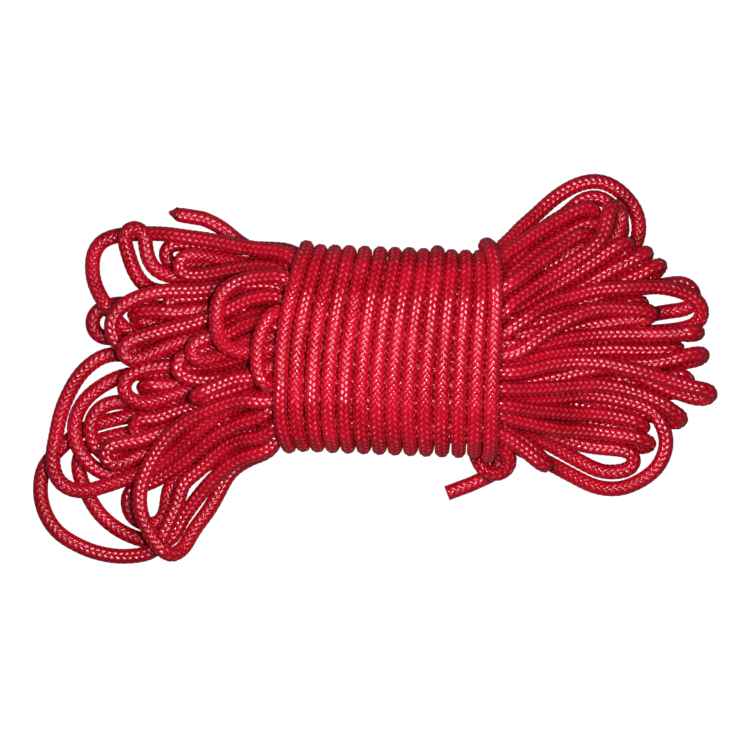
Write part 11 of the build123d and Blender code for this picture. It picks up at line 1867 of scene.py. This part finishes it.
# ---------------------------------------------------------------------------------
# the two ends
# ---------------------------------------------------------------------------------
class EndMesh:
    """Vertices placed in the frame at the end of a tail: x and y across, z along."""

    def __init__(self, line):
        place, normal, binormal, _ = line.at(np.array([line.length]))
        self.origin, self.x_axis, self.y_axis = place[0], normal[0], binormal[0]
        self.z_axis = line.tangent[-1]
        self.verts, self.faces = [], []

    def lathe(self, rings, sides):
        """Rings of x,y,z points joined by quads; returns the index of the first vertex."""
        start = len(self.verts)
        for ring in rings:
            for x, y, z in ring:
                self.verts.append(self.origin + self.z_axis * z
                                  + self.x_axis * x + self.y_axis * y)
        for i in range(len(rings) - 1):
            for k in range(sides):
                near, far = start + i * sides, start + (i + 1) * sides
                after = (k + 1) % sides
                self.faces.append((near + k, near + after, far + after, far + k))
        self.faces.append(tuple(start + k for k in range(sides))[::-1])
        return start

    def yarn_end(self, x, y, radius, base, top):
        """A short cylinder with a rounded top."""
        sides = 10
        levels = [(base, 1), (top - 0.18, 1), (top - 0.05, 0.8), (top, 0.45)]
        angles = [2 * math.pi * k / sides for k in range(sides)]
        rings = [[(x + radius * share * math.cos(a), y + radius * share * math.sin(a), z)
                  for a in angles] for z, share in levels]
        lid = self.lathe(rings, sides) + (len(levels) - 1) * sides
        self.faces.append(tuple(lid + k for k in range(sides)))

    def build(self, name, material):
        mesh = bpy.data.meshes.new(name)
        mesh.from_pydata([tuple(v * MM) for v in self.verts], [], self.faces)
        mesh.update()
        mesh.polygons.foreach_set("use_smooth", np.ones(len(mesh.polygons), bool))
        return add_object(name, mesh, material)


# z, radius of the melted nub; the last ring closes to a point
NUB_PROFILE = [
    (-1.0, 3.0), (-0.2, 3.35), (0.5, 3.42), (1.2, 3.1), (1.9, 2.5), (2.6, 1.9),
    (3.2, 1.45), (3.8, 1.15), (4.3, 0.85), (4.6, 0.45), (4.7, 0.0),
]
NUB_SIDES = 28
NUB_LEAN = (0.098, -0.10)      # sideways slump per mm of height


def build_melted_nub():
    end = EndMesh(tail_lines["tail_1"])
    shift_3, shift_5, shift_9, _ = np.random.RandomState(4).rand(4) * 6.28
    rings = []
    for z, radius in NUB_PROFILE:
        lean_x, lean_y = (lean * max(z, 0) for lean in NUB_LEAN)
        ring = []
        for k in range(NUB_SIDES):
            a = 2 * math.pi * k / NUB_SIDES
            r = radius * (1 + 0.07 * math.sin(3 * a + shift_3 + z)
                          + 0.05 * math.sin(5 * a + shift_5 - 2 * z)
                          + 0.03 * math.sin(9 * a + shift_9))
            ring.append((lean_x + r * math.cos(a), lean_y + r * math.sin(a), z))
        rings.append(ring)
    end.lathe(rings, NUB_SIDES)
    nub = end.build("tail_1_melted_nub", MELTED)
    bm = bmesh.new()
    bm.from_mesh(nub.data)
    bmesh.ops.remove_doubles(bm, verts=bm.verts, dist=1e-6)
    bmesh.ops.recalc_face_normals(bm, faces=bm.faces)
    bm.to_mesh(nub.data)
    bm.free()
    ride(nub, "tail_1_tip", "tail_1_sealed_end")


CORE_PITCH = 0.66              # spacing of the core yarns, packed in a hexagonal grid
CORE_RADIUS = 2.75
COVER_RING_RADIUS = 3.2


def build_cut_end():
    """A bundle of core yarn ends inside a ring of cut cover yarns."""
    line = tail_lines["tail_2"]
    uniform = np.random.RandomState(9).uniform
    core = EndMesh(line)
    for row in range(-5, 6):
        for column in range(-5, 6):
            x = (column + 0.5 * (row % 2)) * CORE_PITCH
            y = row * CORE_PITCH * 0.866
            if x * x + y * y < CORE_RADIUS ** 2:
                core.yarn_end(x + uniform(-0.05, 0.05), y + uniform(-0.05, 0.05),
                              radius=0.335, base=-1.2, top=0.12 + uniform(-0.1, 0.16))
    ride(core.build("tail_2_core_ends", CORE), "tail_2_tip", "tail_2_core")
    cover = EndMesh(line)
    for k in range(CARRIERS):
        a = 2 * math.pi * (k + 0.5) / CARRIERS
        cover.yarn_end(COVER_RING_RADIUS * math.cos(a), COVER_RING_RADIUS * math.sin(a),
                       radius=0.52, base=-1.0, top=0.10 + uniform(-0.06, 0.1))
    ob = cover.build("tail_2_cut_cover_yarns", MELTED)
    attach(ob, "tail_2_tip")


build_melted_nub()
build_cut_end()

# ---------------------------------------------------------------------------------
# floor, light and camera, in metres
# ---------------------------------------------------------------------------------
FLOOR_HALF = 6.0
FLOOR_Z = -0.0003
LIGHT_TARGET = Vector((0, 0, 0.03))
VIEW_WIDTH = 0.375             # width seen at VIEW_DISTANCE
VIEW_DISTANCE = 3.97

scene = bpy.context.scene
white = floor_material()
mesh = bpy.data.meshes.new("floor")
corners = [(x * FLOOR_HALF, y * FLOOR_HALF, FLOOR_Z)
           for x, y in ((-1, -1), (1, -1), (1, 1), (-1, 1))]
mesh.from_pydata(corners, [], [(0, 1, 2, 3)])
add_object("floor", mesh, white)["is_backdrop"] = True

scene.world = bpy.data.worlds.new("studio")
scene.world.use_nodes = True
background = scene.world.node_tree.nodes["Background"]
background.inputs[0].default_value = (1, 1, 1, 1)
background.inputs[1].default_value = 0.07


def disk_light(name, location, size, energy):
    light = bpy.data.lights.new(name, "AREA")
    light.shape = "DISK"
    light.size = size
    light.energy = energy
    ob = bpy.data.objects.new(name, light)
    scene.collection.objects.link(ob)
    ob.location = location
    ob.rotation_euler = (LIGHT_TARGET - Vector(location)).to_track_quat("-Z", "Y").to_euler()
    ob.visible_camera = False


disk_light("key", location=(0.0, 0.005, 0.32), size=0.05, energy=0.40)
disk_light("high", location=(0.03, 0.01, 1.05), size=0.05, energy=6.2)
disk_light("fill", location=(-0.05, 0.05, 1.3), size=0.9, energy=0.8)

lens = bpy.data.cameras.new("camera")
lens.sensor_width = 36
lens.lens = 36 * VIEW_DISTANCE / VIEW_WIDTH
lens.clip_end = 50
lens.clip_start = 0.01
camera = bpy.data.objects.new("camera", lens)
scene.collection.objects.link(camera)
camera.location = (0.0001, -0.0031, 4.0)
camera.rotation_euler = (0, 0, 0)
scene.camera = camera
scene.view_settings.view_transform = "Standard"
scene.view_settings.look = "None"

visual_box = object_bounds()


def plain(box):
    return [[float(c) for c in point] for point in box]


# guards against bounds that aren't rows of numbers: they are then kept as text
try:
    payload = {"cad": plain(cad_box), "visual": plain(visual_box)}
except Exception:
    payload = {"cad": str(cad_box), "visual": str(visual_box)}
